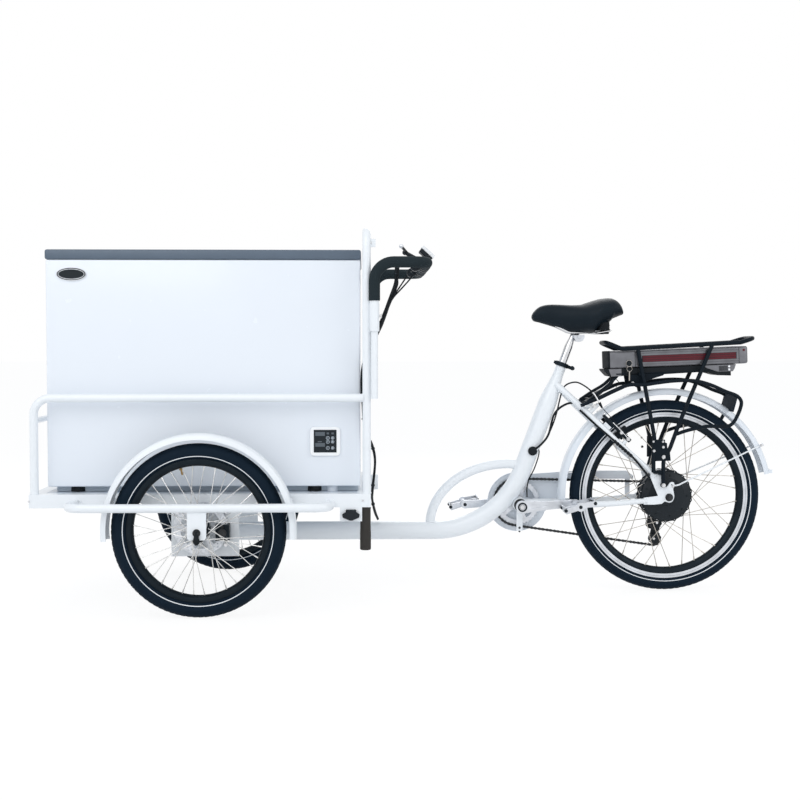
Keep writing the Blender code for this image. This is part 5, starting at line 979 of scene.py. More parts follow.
for x, small in ((-0.2745, 1.0), (-0.2602, 0.85)):
    add_block(bands, (x - 0.0035, -0.2978, 0.5235), (x + 0.0035, -0.2973, 0.529))
    for z in (0.5125, 0.501, 0.4825):
        add_tube(rings, arc((x, -0.2976, z), 0.0048 * small, 0, 360, 24), 0.0007, 6)
        add_pin(rings, (x, z), (-0.297, -0.298), 0.0016 if small == 1.0 else 0.0024, 12)
shaped("panel_bands", bands, panel_grey, "front_unit")
shaped("panel_keys", rings, grey_shell, "front_unit")
keep("compressor", black_coat)
form = bmesh.new()
for z in (0.4, 0.425, 0.45, 0.475, 0.5, 0.525, 0.55):
    add_rod(form, (-0.412, 0.2885, z), (-0.198, 0.2885, z), 0.0016, 8)
for x in (-0.4, -0.355, -0.305, -0.255, -0.21):
    add_rod(form, (x, 0.286, 0.384), (x, 0.286, 0.573), 0.0016, 8)
shaped("compressor_grille", form, black_coat, "front_unit")
form = bmesh.new()
add_tube(form, smooth_run([(-0.305, 0.18, 0.515), (-0.305, 0.18, 0.545), (-0.335, 0.15, 0.556),
                           (-0.38, 0.06, 0.552), (-0.392, -0.05, 0.54), (-0.38, -0.15, 0.52),
                           (-0.3, -0.18, 0.5)], 6), 0.004, 10)
add_tube(form, smooth_run([(-0.265, 0.2, 0.47), (-0.235, 0.21, 0.5), (-0.225, 0.15, 0.54),
                           (-0.23, 0.0, 0.548), (-0.24, -0.14, 0.53), (-0.28, -0.18, 0.48)], 6),
         0.0032, 10)
shaped("compressor_pipes", form, valve_brass, "front_unit")
form = bmesh.new()
add_block(form, (-1.09, -0.262, 0.3504), (-0.184, 0.262, 0.3668))
shaped("freezer_base", form, grey_shell, "front_unit", 0.001)
form = bmesh.new()
for x in (-1.027, -0.3155):
    for side, sign in SIDES:
        add_spun(form, [(0.0215, 0.016), (0.0225, 0.001), (0.0215, 0.0), (0.019, 0.0), (0.019, 0.016)],
                 (x, sign * 0.255, 0.3504), 24)
shaped("freezer_foot_cups", form, soft_black, "front_unit")

# %% [markdown]
# ## The push bar
# The bar slides in its sleeves, so the bar, its foam, the display and the controls ride together.
# The two brake levers turn on their own pins and end in a ball.

# %% Make the bar and its foam
def bar_run(lower):
    """The bar's middle line from a height on one side, over the top, to the same height again."""
    left = [(BAR_X, -BAR_Y, lower), (BAR_X, -BAR_Y, BAR_TOP), (BAR_BACK, -BAR_Y, BAR_TOP)]
    right = [(x, -y, z) for x, y, z in reversed(left)]
    return (rounded(left, 0.057, 12)[:-1] + rounded(left[1:] + right[:2], 0.045, 10)[1:-1]
            + rounded(right, 0.057, 12)[1:])


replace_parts(pipe("push_bar_tube", bar_run(0.632), 0.0105, white_coat, "handlebar", 24), "push_bar")
FOAM_R = 0.0168
foam = pipe("foam_sleeve", bar_run(0.9223), FOAM_R, foam_grip, "handlebar", 32)
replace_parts(foam, "bar_foam")
BAR_AT = Vector((BAR_BACK, 0, BAR_TOP))
# the levers point up and forward, and the display's face looks up and back
LEVER_OUT = polar((0, 0, 0), 1.0, math.radians(180 - 37))
FACE_OUT, FACE_ALONG = (polar((0, 0, 0), 1.0, math.radians(a)) for a in (90 - 42, -42))

# %% Make the levers and controls
bands, pins = bmesh.new(), bmesh.new()
for side, sign in SIDES:
    at = BAR_AT + Vector((0, sign * 0.11, 0))
    add_turned(bands, [(0.0182, -0.01), (0.0182, 0.01), (0.015, 0.01), (0.015, -0.01)], at, 28)
    add_tube(bands, [at + LEVER_OUT * d for d in (0.015, 0.03, 0.042, 0.0475)], 0.008, 14,
             [0.0095, 0.0088, 0.008, 0.007])
    add_rod(pins, at + LEVER_OUT * 0.02 + Vector((0, -sign * 0.007, 0.004)),
            at + LEVER_OUT * 0.02 + Vector((0, -sign * 0.023, 0.004)), 0.0038, 12)
    start = BAR_AT + LEVER_OUT * 0.052 + Vector((0, sign * 0.11, 0))
    elbow = start + Vector((0, sign * 0.02, 0)) + LEVER_OUT * 0.012
    reach = 0.0405 if sign < 0 else 0.004  # the near lever stands further out than the far one
    tip = start + Vector((0, sign * 0.105, 0)) + LEVER_OUT * reach
    form = bmesh.new()
    run = smooth_run([start, elbow, tip], 10)
    add_tube(form, run, 0.0044, 14)
    lever = shaped(side + "_lever_blade", form, black_alloy, side + "_lever")
    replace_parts(lever, side + "_brake_lever")
    form = bmesh.new()
    bmesh.ops.create_uvsphere(form, u_segments=20, v_segments=12, radius=0.0068,
                              matrix=Matrix.Translation(tip))
    shaped(side + "_lever_ball", form, silver_alloy, side + "_lever")
    pod = BAR_AT + Vector((-0.03, sign * 0.185, -0.004))
    add_turned(bands, [(0.012, -0.016), (0.015, -0.013), (0.015, 0.013), (0.012, 0.016), (0.004, 0.016),
                       (0.004, -0.016)],
               pod, 24)
    add_turned(bands, [(0.018, -0.008), (0.018, 0.008), (0.015, 0.008), (0.015, -0.008)],
               BAR_AT + Vector((0, sign * 0.185, 0)), 28)
    add_tube(bands, [pod + Vector((0.012, 0, 0)), BAR_AT + Vector((-0.014, sign * 0.185, 0))], 0.0075, 10)
shaped("control_clamps", bands, black_shell, "handlebar", sharp=40)
shaped("control_pins", pins, bright_plate, "handlebar", sharp=40)
form = bmesh.new()
knob = Vector((-0.0385, -0.15, 1.077))
bmesh.ops.create_uvsphere(form, u_segments=24, v_segments=14, radius=0.0086, matrix=Matrix.Translation(knob))
add_rod(form, knob, BAR_AT + Vector((-0.01, -0.15, 0.012)), 0.0062, 14, 0.0075)
shaped("cable_barrel", form, black_shell, "handlebar", sharp=50)
bell = BAR_AT + Vector((-0.006, -0.072, 0.0215))
form = bmesh.new()
dome = [(0.0, 0.01), (0.004, 0.0095), (0.0075, 0.0078), (0.0098, 0.0048), (0.0106, 0.001), (0.01, 0.0)]
for (r0, h0), (r1, h1) in zip(dome, dome[1:]):
    add_rod(form, bell + Vector((0, 0, h1)), bell + Vector((0, 0, h0)), r1, 24, max(r0, 0.0004))
shaped("bell_dome", form, bright_plate, "handlebar", sharp=50)
# the display is a white slab on a black foot; FACE_TOP is how far its face stands from the bar's middle
FACE_TOP = 0.0504
middle = BAR_AT + Vector((0, -0.045, 0)) - FACE_ALONG * 0.0214
tilt = Matrix.Rotation(math.radians(42), 3, "Y")
for name, rise, ahead, size, finish, bevel, segments in (
        ("display_foot", -0.0165, 0.0, (0.046, 0.066, 0.013), black_shell, 0.003, 3),
        ("display_slab", -0.0053, 0.0, (0.051, 0.07, 0.009), panel_white, 0.0018, 3),
        ("display_glass", -0.0004, 0.0, (0.047, 0.066, 0.0008), grey_shell, 0.0003, 2),
        ("display_readout", 0.0001, -0.004, (0.03, 0.05, 0.0003), panel_grey, 0.0, 2)):
    form = bmesh.new()
    add_box(form, middle + FACE_OUT * (FACE_TOP + rise) + FACE_ALONG * ahead, size, tilt)
    layer = shaped(name, form, finish, "handlebar", bevel, segments=segments)
    if name == "display_foot":
        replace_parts(layer, "display")
form = bmesh.new()
for y in (-0.018, -0.006, 0.006, 0.018):
    spot = middle + FACE_OUT * (FACE_TOP - 0.0002) + FACE_ALONG * 0.0165 + Vector((0, y, 0))
    add_rod(form, spot, spot + FACE_OUT * 0.001, 0.0032, 14)
stalk = BAR_AT + Vector((0, -0.045, 0))
add_tube(form, [stalk + FACE_OUT * 0.015, middle + FACE_OUT * (FACE_TOP - 0.02)], 0.0075, 14)
add_turned(form, [(0.018, -0.007), (0.018, 0.007), (0.015, 0.007), (0.015, -0.007)], stalk, 28)
shaped("display_mount", form, black_shell, "handlebar")
print("foam radius:", FOAM_R)

# %% [markdown]
# ## The cycle frame
# One tube runs level from the kingpin, bends up and becomes the seat tube, where it tapers to the
# collar. A thinner tube makes the step. Stays run from it to the dropouts. Ripples of weld stand
# where the tubes meet.

# %% Make the frame tubes
SEAT_ANGLE = math.radians(69.5)
TUBE_R, TUBE_Z, BEND_X, BEND_R = 0.0293, 0.193, 0.06, 0.306
BRACKET = Vector((0.336, 0, 0.277))
SEAT_DIR = Vector((math.cos(SEAT_ANGLE), 0, math.sin(SEAT_ANGLE)))


def bend_point(angle):
    """The point of the tube's middle line where it has turned up by an angle."""
    return Vector((BEND_X + BEND_R * math.sin(angle), 0, TUBE_Z + BEND_R * (1 - math.cos(angle))))


def seat_tube_point(z):
    """The point of the seat tube's middle line at a height."""
    foot = bend_point(SEAT_ANGLE)
    return foot + SEAT_DIR * ((z - foot.z) / SEAT_DIR.z)


run = [Vector((FRONT_X, 0, TUBE_Z)), Vector((BEND_X, 0, TUBE_Z))]
run += [bend_point(SEAT_ANGLE * i / 36) for i in range(1, 37)]
radii = [TUBE_R] * len(run)
for i in range(9):
    t = i / 8
    run.append(seat_tube_point(0.6 + 0.105 * t))
    radii.append(TUBE_R + (0.0165 - TUBE_R) * t * t * (3 - 2 * t))
run.append(seat_tube_point(0.735))
radii.append(0.0165)
spine = pipe("bent_frame_tube", run, TUBE_R, white_coat, "frame", 40, radii)
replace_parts(spine, "main_frame")
brace = [Vector((0.3 - 0.253 * math.cos(a), 0, 0.2106 + 0.1974 * math.sin(a)))
         for a in (math.pi / 2 * i / 28 for i in range(29))] + [seat_tube_point(0.404)]
pipe("step_tube", brace, 0.015, white_coat, "frame", 28)
form = bmesh.new()
add_turned(form, [(0.022, -0.034), (0.022, 0.034), (0.017, 0.034), (0.017, -0.034)], BRACKET, 40)
add_box(form, (0.336, -0.0095, 0.2265), (0.02, 0.005, 0.071))
add_rod(form, (-0.646, 0, 0.151), (-0.646, 0, 0.165), 0.0285, 36)
add_rod(form, (-0.646, 0, 0.165), (-0.646, 0, 0.264), 0.027, 36)
shaped("bracket_shell", form, white_coat, "frame", 0.0007, sharp=40)
form = bmesh.new()
for sign in (-1, 1):
    add_turned(form, [(0.0205, sign * 0.0395), (0.0205, sign * 0.0335), (0.0095, sign * 0.0335),
                      (0.0095, sign * 0.0395)],
               BRACKET, 24)
add_pin(form, (0.336, 0.201), (-0.0065, -0.013), 0.004, 6)
add_rod(form, (0.336, -0.0095, 0.191), (0.336, -0.0095, 0.1865), 0.0032, 10)
shaped("bracket_cups", form, oiled_steel, "frame")
form = bmesh.new()
add_bead(form, (0.052, 0, 0.2215), (0.12, 0, 1), 0.0152)
add_bead(form, seat_tube_point(0.404) + Vector((-0.03, 0, 0.0)), (1, 0, 0.02), 0.015)
for sign in (-1, 1):
    add_bead(form, seat_tube_point(0.648) + Vector((0.0235, sign * 0.015, 0)),
             (0.62, sign * 0.2, -0.62), 0.01)
    add_bead(form, (0.357, sign * 0.0265, 0.279), (1, sign * 0.2, 0), 0.0118)
add_bead(form, (-0.618, 0, 0.193), (1, 0, 0), 0.0286)
shaped("frame_welds", form, white_coat, "frame")

# %% Make the stays and dropouts
STAY_TOP, STAY_FOOT = Vector((0.462, 0, 0.656)), Vector((0.763, 0, 0.365193))
STAY_DIR = (STAY_FOOT - STAY_TOP).normalized()
STAY_UP = Vector((-STAY_DIR.z, 0, STAY_DIR.x))


def stay_point(along):
    """The point of the seat stay's middle line at a distance from its top."""
    return STAY_TOP + STAY_DIR * along


def brake_pivot(sign):
    """Where a brake arm turns, on a stud behind the stay."""
    return stay_point(0.268) + STAY_UP * 0.03 + Vector((0, sign * 0.062, 0))


corners = [(-0.06, 0.066), (-0.058, 0.076), (-0.055, 0.084), (-0.048, 0.088), (-0.04, 0.09),
           (-0.032, 0.091), (-0.026, 0.088), (-0.024, 0.082), (-0.0255, 0.06), (-0.026, 0.038),
           (-0.018, 0.033), (-0.01, 0.031), (-0.004, 0.036), (0.0, 0.042), (0.003, 0.046),
           (0.0085, 0.0485), (0.014, 0.047), (0.0165, 0.041), (0.016, 0.036), (0.013, 0.031), (0.012, 0.026),
           (0.0145, 0.014), (0.016, 0.004), (0.0145, -0.005), (0.011, -0.012), (0.006, -0.0155),
           (0.0, -0.016), (-0.007, -0.0145), (-0.014, -0.012), (-0.024, -0.02), (-0.05, -0.0225),
           (-0.08, -0.022), (-0.08, -0.002), (-0.055, 0.001), (-0.034, 0.004)]
outline = [(REAR_HUB.x + x, REAR_HUB.z + z) for x, z in corners]
for side, sign in SIDES:
    run = smooth_run([(0.348, sign * 0.026, 0.279), (0.455, sign * 0.046, 0.279),
                      (0.6, sign * 0.062, 0.283), (0.737, sign * 0.072, 0.294193)], 8)
    radii = [0.012 - 0.004 * i / (len(run) - 1) for i in range(len(run))]
    stay = pipe(side + "_chain_stay", run, 0.012, white_coat, "frame", 20, radii)
    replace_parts(stay, side + "_stays")
    run = smooth_run([stay_point(-0.012) + Vector((0, sign * 0.016, 0)),
                      stay_point(0.11) + Vector((0, sign * 0.058, 0)),
                      stay_point(0.25) + Vector((0, sign * 0.067, 0)),
                      Vector((0.763, sign * 0.072, 0.375193))], 8)
    radii = [0.0105 - 0.0025 * i / (len(run) - 1) for i in range(len(run))]
    pipe(side + "_seat_stay", run, 0.0105, white_coat, "frame", 20, radii)
    holes = [circle(REAR_HUB.x, REAR_HUB.z, 0.0063, 20),
             circle(REAR_HUB.x - 0.034, REAR_HUB.z + 0.081, 0.003, 12),
             circle(REAR_HUB.x + 0.008, REAR_HUB.z + 0.04, 0.0028, 12)]
    pierced(side + "_dropout", [outline] + holes, sign * 0.072, 0.006, white_coat, "frame", 0.0009)
    pivot_at = brake_pivot(sign)
    form = bmesh.new()
    add_rod(form, pivot_at - STAY_UP * 0.03, pivot_at - STAY_UP * 0.0078, 0.006, 16)
    add_box(form, stay_point(0.192) + STAY_UP * 0.01 + Vector((0, sign * 0.06, 0)), (0.026, 0.004, 0.02),
            Matrix.Rotation(math.atan2(-STAY_DIR.z, STAY_DIR.x), 3, "Y"))
    shaped(side + "_brake_boss", form, white_coat, "frame", 0.0006)
    form = bmesh.new()
    face = 0.0752
    add_pin(form, (REAR_HUB.x, REAR_HUB.z), (sign * face, sign * (face + 0.0016)), 0.0125, 20)
    add_pin(form, (REAR_HUB.x, REAR_HUB.z), (sign * (face + 0.0016), sign * (face + 0.0088)), 0.0105, 6)
    add_pin(form, (REAR_HUB.x, REAR_HUB.z), (sign * 0.04, sign * 0.0905), 0.006, 16)
    nuts = shaped(side + "_axle_nut", form, oiled_steel, "frame", sharp=30)
    if sign > 0:
        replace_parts(nuts, "rear_axle")

# %% Make the rim brake arms
for side, sign in SIDES:
    body = side + "_arm"
    at = brake_pivot(sign)
    tip, pad = at - STAY_DIR * 0.11, at - STAY_DIR * 0.0295
    form = bmesh.new()
    add_tube(form, [at + STAY_DIR * t for t in (0.01, 0.0, -0.02, -0.05, -0.09, -0.11)], 0.006, 12,
             [0.0068, 0.007, 0.0068, 0.006, 0.0054, 0.0048])
    add_rod(form, pad, (pad.x, sign * 0.027, pad.z), 0.0042, 12)
    arm = shaped(side + "_brake_arm_forging", form, black_alloy, body, 0.0004, sharp=50)
    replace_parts(arm, side + "_brake_arm")
    form = bmesh.new()
    tangent = Vector((pad.z - REAR_HUB.z, 0, REAR_HUB.x - pad.x)).normalized()
    turn = Matrix.Rotation(-math.atan2(tangent.z, tangent.x), 3, "Y")
    add_box(form, (pad.x, sign * 0.0222, pad.z), (0.056, 0.01, 0.009), turn)
    shaped(side + "_brake_shoe", form, soft_black, body, 0.0018)
    form = bmesh.new()
    outer = Vector((0, sign, 0))
    add_bolt(form, at + outer * 0.0072, (0, -sign, 0), 0.0042, 0.0034)
    add_bolt(form, pad + outer * 0.0068, (0, -sign, 0), 0.004, 0.003)
    add_tube(form, [at + STAY_DIR * 0.006 + outer * 0.009,
                    at - STAY_DIR * 0.03 + outer * 0.0095 + STAY_UP * 0.003,
                    at - STAY_DIR * 0.072 + outer * 0.0075 + STAY_UP * 0.004], 0.001, 8)
    add_rod(form, tip + STAY_UP * 0.003, tip + STAY_UP * 0.008, 0.0036, 10)
    shaped(side + "_brake_screws", form, bright_plate, body)

# %% [markdown]
# ## Saddle and seat post
# The saddle is a foam cushion under vinyl, so it is lofted from smooth sections: a narrow nose, a
# low middle and a wide raised tail, with the sides drawn in underneath. The post slides in the
# tube, and a collar with a lever clamps it.

# %% Make the saddle
# each line: place along the bike, half width, height of the seat and of the skirt's lower edge
STATIONS = ((0.3742, 0.01, 0.8855, 0.876), (0.3775, 0.018, 0.8925, 0.8705), (0.383, 0.023, 0.9, 0.8665),
            (0.3955, 0.027, 0.9115, 0.8636), (0.41, 0.029, 0.9178, 0.8595), (0.427, 0.031, 0.9206, 0.8545),
            (0.447, 0.034, 0.9212, 0.8484), (0.467, 0.04, 0.9205, 0.8413), (0.4871, 0.05, 0.9196, 0.833),
            (0.5043, 0.059, 0.9192, 0.8304), (0.5301, 0.076, 0.9204, 0.829), (0.5473, 0.087, 0.9255, 0.8283),
            (0.5674, 0.095, 0.9321, 0.828), (0.578, 0.0985, 0.9352, 0.84), (0.5903, 0.1, 0.9384, 0.852),
            (0.6104, 0.1, 0.9412, 0.859), (0.621, 0.099, 0.941, 0.865), (0.6276, 0.0975, 0.94, 0.873),
            (0.641, 0.091, 0.933, 0.879), (0.6505, 0.083, 0.9212, 0.883), (0.656, 0.073, 0.9075, 0.8852),
            (0.6588, 0.06, 0.8975, 0.8862), (0.6598, 0.042, 0.8935, 0.8872))
form = bmesh.new()
rings = []
for x, wide, top, low in smooth_run([Vector(row) for row in STATIONS], 4):
    ring = []
    for angle in around(48, 0.5):
        lift = math.sin(angle)
        y = wide * math.copysign(abs(math.cos(angle)) ** 0.75, math.cos(angle))
        if lift < 0:
            y *= 1.0 - 0.14 * abs(lift)
        z = (top + low) / 2 + (top - low) / 2 * math.copysign(abs(lift) ** 0.85, lift)
        ring.append(form.verts.new((x, y, z)))
    rings.append(ring)
loft(form, rings)
cushion = shaped("saddle_cushion", form, saddle_vinyl, "seat", sharp=70)
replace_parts(cushion, "saddle")
rails, pads = bmesh.new(), bmesh.new()
for sign in (-1, 1):
    add_tube(rails, smooth_run([(0.424, sign * 0.006, 0.866), (0.458, sign * 0.014, 0.848),
                                (0.476, sign * 0.019, 0.8395), (0.493, sign * 0.022, 0.832),
                                (0.512, sign * 0.022, 0.831), (0.56, sign * 0.024, 0.831),
                                (0.58, sign * 0.032, 0.83), (0.622, sign * 0.038, 0.8375)], 8), 0.0035, 12)
    add_box(rails, (0.5985, sign * 0.04, 0.833), (0.049, 0.048, 0.0024),
            Matrix.Rotation(math.radians(-10), 3, "Y"))
    add_rod(pads, (0.597, sign * 0.04, 0.8375), (0.597, sign * 0.04, 0.864), 0.0212, 28)
    add_rod(pads, (0.597, sign * 0.04, 0.826), (0.597, sign * 0.04, 0.832), 0.0185, 28, 0.0212)
    for z in (0.842, 0.848, 0.854):
        add_rod(pads, (0.597, sign * 0.04, z - 0.0014), (0.597, sign * 0.04, z + 0.0014), 0.0224, 28)
shaped("saddle_rails", rails, bright_plate, "seat")
shaped("saddle_elastomers", pads, soft_black, "seat", sharp=40)

# %% Make the post, clamp and collar
top = seat_tube_point(0.735)
run = [top - SEAT_DIR * 0.12, top + SEAT_DIR * 0.02, seat_tube_point(0.784), seat_tube_point(0.8),
       seat_tube_point(0.81), seat_tube_point(0.829)]
post = pipe("stepped_post", run, 0.0127, bright_plate, "seat", 28,
            [0.0127, 0.0127, 0.0127, 0.0108, 0.0088, 0.0082])
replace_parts(post, "seat_post")
head = seat_tube_point(0.815) + Vector((0.02, 0, 0.0035))
form = bmesh.new()
half_moon = flat(arc(head, 0.0165, 170, 380, 20))
for y in (-0.0205, 0.0205):
    add_plate(form, half_moon, y, 0.007)
add_rod(form, head + Vector((-0.022, 0, 0.002)), head + Vector((0.002, 0, 0.002)), 0.01, 16)
add_rod(form, head + Vector((0, -0.029, 0)), head + Vector((0, 0.029, 0)), 0.004, 12)
for sign in (-1, 1):
    add_rod(form, head + Vector((0, sign * 0.024, 0)), head + Vector((0, sign * 0.0285, 0)), 0.0068, 6)
    add_box(form, (0.566, sign * 0.022, 0.8335), (0.06, 0.01, 0.006))
for spot in arc(head, 0.0163, 178, 374, 15):
    add_rod(form, spot + Vector((0, -0.0238, 0)), spot + Vector((0, 0.0238, 0)), 0.0012, 6)
shaped("saddle_clamp", form, silver_alloy, "seat", sharp=35)
ear = Vector((SEAT_DIR.z, 0, -SEAT_DIR.x))
mid = top - SEAT_DIR * 0.0075
collar = bmesh.new()
add_spun(collar, [(0.0171, -0.0068), (0.0205, -0.0068), (0.0214, -0.0058), (0.0214, 0.0058),
                  (0.0205, 0.0068), (0.0171, 0.0068)], mid, 40, SEAT_DIR.to_track_quat("Z", "Y").to_matrix())
add_rod(collar, mid + ear * 0.019, mid + ear * 0.031, 0.0056, 14)
add_rod(collar, mid - ear * 0.02, mid - ear * 0.027, 0.0056, 16, 0.0048)
ring = shaped("collar_band", collar, black_alloy, "frame", sharp=40)
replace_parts(ring, "seat_collar")
form = bmesh.new()
hinge = mid + ear * 0.036
add_rod(form, hinge + Vector((0, 0.008, 0)), hinge + Vector((0, -0.012, 0)), 0.0062, 20)
add_tube(form, [hinge + Vector((0, -0.01, 0)), hinge + Vector((0, -0.024, 0)) - ear * 0.003,
                hinge + Vector((0, -0.048, 0)) - ear * 0.008], 0.0045, 14, [0.005, 0.0046, 0.0062])
cam = shaped("collar_cam_lever", form, black_alloy, "collar_lever", 0.0004, sharp=45)
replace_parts(cam, "seat_lever")
print("saddle length:", round(STATIONS[-1][0] - STATIONS[0][0], 3))

# %% [markdown]
# ## Cranks and pedals
# A forged crank has a long pointed hollow in its outer face. Two layers give it: a full plate, and
# one with a pointed hole on top. The pedals are cages on a turned body, tilted a little as they
# hang. Teeth of the chainring stay just under the rollers, so the ring can turn under the chain.

# %% Make the cranks
LEAN = math.radians(3.8)
EYES = {}
for side, sign in SIDES:
    ahead = Vector((math.cos(LEAN), 0, math.sin(LEAN))) * (-sign)
    across = Vector((-ahead.z, 0, ahead.x))
    eye = BRACKET + ahead * 0.17
    EYES[side] = eye

    def at(u, v):
        p = BRACKET + ahead * u + across * v
        return (p.x, p.z)

    edge = [at(0.019 * math.cos(a), 0.019 * math.sin(a))
            for a in (math.pi / 2 + math.pi * i / 14 for i in range(15))]
    edge += [at(0.03, -0.0165), at(0.055, -0.0136), at(0.085, -0.0122), at(0.13, -0.0112)]
    edge += [at(0.17 + 0.012 * math.cos(a), 0.012 * math.sin(a))
             for a in (-math.pi / 2 + math.pi * i / 12 for i in range(13))]
    edge += [at(0.13, 0.0112), at(0.085, 0.0122), at(0.055, 0.0136), at(0.03, 0.0165)]
    hollow = [at(0.0225, 0.0055), at(0.0225, -0.0085), at(0.035, -0.008), at(0.06, -0.005),
              at(0.088, 0.0005), at(0.06, 0.0045), at(0.035, 0.0065)]
    base = pierced(side + "_crank_web", [edge], sign * 0.084, 0.01, silver_alloy, "crankset", 0.0012)
    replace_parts(base, side + "_crank")
    pierced(side + "_crank_face", [edge, hollow], sign * 0.0906, 0.0048, silver_alloy, "crankset", 0.0012)
    form = bmesh.new()
    face = sign * 0.093
    add_turned(form, [(0.015, face + sign * 0.0012), (0.015, face - sign * 0.0006),
                      (0.0098, face - sign * 0.0006), (0.0098, face + sign * 0.0012)], BRACKET, 32)
    add_rod(form, eye + Vector((0, face - eye.y + sign * 0.0016, 0)),
            eye + Vector((0, face - eye.y - sign * 0.001, 0)), 0.0062, 8)
    back = sign * 0.079
    add_pin(form, (eye.x, eye.z), (back, back - sign * 0.0012), 0.0056, 20)
    shaped(side + "_crank_rings", form, black_shell, "crankset")
    form = bmesh.new()
    add_pin(form, (BRACKET.x, BRACKET.z), (face - sign * 0.001, face + sign * 0.0014), 0.009, 24, 0.0072)
    if sign < 0:
        add_pin(form, (BRACKET.x, BRACKET.z), (-0.08, 0.0785), 0.0085, 20)
    shaped(side + "_crank_bolt", form, bright_plate, "crankset")

# %% Make the pedals
TILT = math.radians(-14)
for side, sign in SIDES:
    eye = EYES[side]
    cage, core, caps = bmesh.new(), bmesh.new(), bmesh.new()
    middle = Vector((eye.x, sign * 0.1478, eye.z))
    roll = Matrix.Rotation(TILT, 3, "Y")

    def spot(u, y, w):
        return middle + roll @ Vector((u, sign * y, w))

    for u in (-1, 1):
        add_box(cage, spot(u * 0.047, 0, 0.0), (0.003, 0.078, 0.015), roll)
        for k in range(9):
            for w in (-1, 1):
                add_box(cage, spot(u * 0.047, -0.034 + 0.0085 * k, w * 0.0092), (0.003, 0.0045, 0.005), roll)
        add_box(caps, spot(u * 0.044, 0, 0.0), (0.004, 0.05, 0.012), roll)
        for y in (-0.0405, 0.0405):
            add_box(cage, spot(u * 0.025, y, u * 0.0015), (0.044, 0.0032, 0.0165),
                    roll @ Matrix.Rotation(math.radians(u * 4), 3, "Y"))
            add_rod(caps, spot(u * 0.047, y - 0.0035, 0), spot(u * 0.047, y + 0.0028, 0), 0.0056, 14)
    for y in (-0.0405, 0.0405):
        add_rod(cage, spot(0, y - 0.0022, 0), spot(0, y + 0.0022, 0), 0.0138, 24)
    add_rod(core, spot(0, -0.0405, 0), spot(0, 0.0405, 0), 0.0088, 24)
    add_box(core, spot(0, 0, 0), (0.086, 0.018, 0.008), roll)
    add_pin(core, (eye.x, eye.z), (sign * 0.0936, sign * 0.11), 0.007, 20)
    add_rod(caps, spot(0, 0.041, 0), spot(0, 0.0445, 0), 0.0062, 20, 0.0052)
    body = side + "_pedal_body"
    frame_piece = shaped(side + "_pedal_cage", cage, silver_alloy, body, 0.0006)
    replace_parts(frame_piece, side + "_pedal")
    shaped(side + "_pedal_core", core, silver_alloy, body, 0.0005)
    shaped(side + "_pedal_caps", caps, black_shell, body, 0.0008)

# %% [markdown]
# ## Chain, cogs and guard
# The chain is set out link by link at its true pitch of 12.7 mm along the same loop as the packed
# one: over the ring, round the two pulleys and over the cog. Narrow and wide links take turns.

# %% Make the chain
def belt(circles, y, step=math.radians(3)):
    """A loop of points round circles, each given with its radius and which way round it goes."""
    headings = []
    for (a, ra, sa), (b, rb, sb) in zip(circles, circles[1:] + circles[:1]):
        way = b - a
        headings.append(math.atan2(way.z, way.x) + math.asin((ra * sa - rb * sb) / way.length))
    path = []
    for i, (centre, radius, turn) in enumerate(circles):
        first = headings[i - 1] - turn * math.pi / 2
        sweep = ((headings[i] - headings[i - 1]) * turn) % (2 * math.pi)
        steps = max(2, math.ceil(sweep / step))
        for j in range(steps + 1):
            angle = first + turn * sweep * j / steps
            path.append(polar(centre, radius, angle, y))
    return path


CHAIN_Y = 0.052
LOWER, UPPER = Vector((0.785, 0, 0.1555)), Vector((0.795, 0, 0.208))
loop = belt([(BRACKET, 0.077, 1), (LOWER, 0.0218, 1), (UPPER, 0.0218, -1), (REAR_HUB, 0.0366, 1)], CHAIN_Y)
loop.append(loop[0])
length = sum((b - a).length for a, b in zip(loop, loop[1:]))
count = 2 * round(length / 0.0127 / 2)
marks, walked, want = [], 0.0, 0.0
for a, b in zip(loop, loop[1:]):
    span = (b - a).length
    while want <= walked + span and len(marks) < count:
        marks.append(a + (b - a) * ((want - walked) / span))
        want += length / count
    walked += span
form = bmesh.new()
pins = bmesh.new()
for i, (a, b) in enumerate(zip(marks, marks[1:] + marks[:1])):
    way = (b - a).normalized()
    side_way = Vector((-way.z, 0, way.x))
    wide, off = (0.0043, 0.0026) if i % 2 else (0.004, 0.0017)
    ring = []
    for end, half_turn in ((a, math.pi / 2), (b, -math.pi / 2)):
        for k in range(6):
            t = half_turn + math.pi * k / 5
            ring.append(end + way * (wide * math.cos(t)) + side_way * (wide * math.sin(t)))
        ring.append((a + b) / 2 - side_way * wide * math.copysign(0.72, half_turn))
    for y in (-off, off):
        add_plate(form, flat(ring), CHAIN_Y + y, 0.0008)
    add_rod(pins, a - Vector((0, 0.0034, 0)), a + Vector((0, 0.0034, 0)), 0.0016, 8)
links = shaped("chain_links", form, oiled_steel, "frame", sharp=40)
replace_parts(links, "chain")
shaped("chain_pins", pins, oiled_steel, "frame")
print("links:", count, "pitch mm:", round(length / count * 1000, 2))


# %% Make the chainring, cogs and derailleur
def toothed(centre, radius, teeth, low):
    """A gear outline: four points to a tooth."""
    loop = []
    for i in range(teeth):
        for share, r in ((0.0, low), (0.28, low), (0.42, radius), (0.7, radius), (0.86, low)):
            a = 2 * math.pi * (i + share) / teeth
            loop.append((centre.x + r * math.cos(a), centre.z + r * math.sin(a)))
    return loop


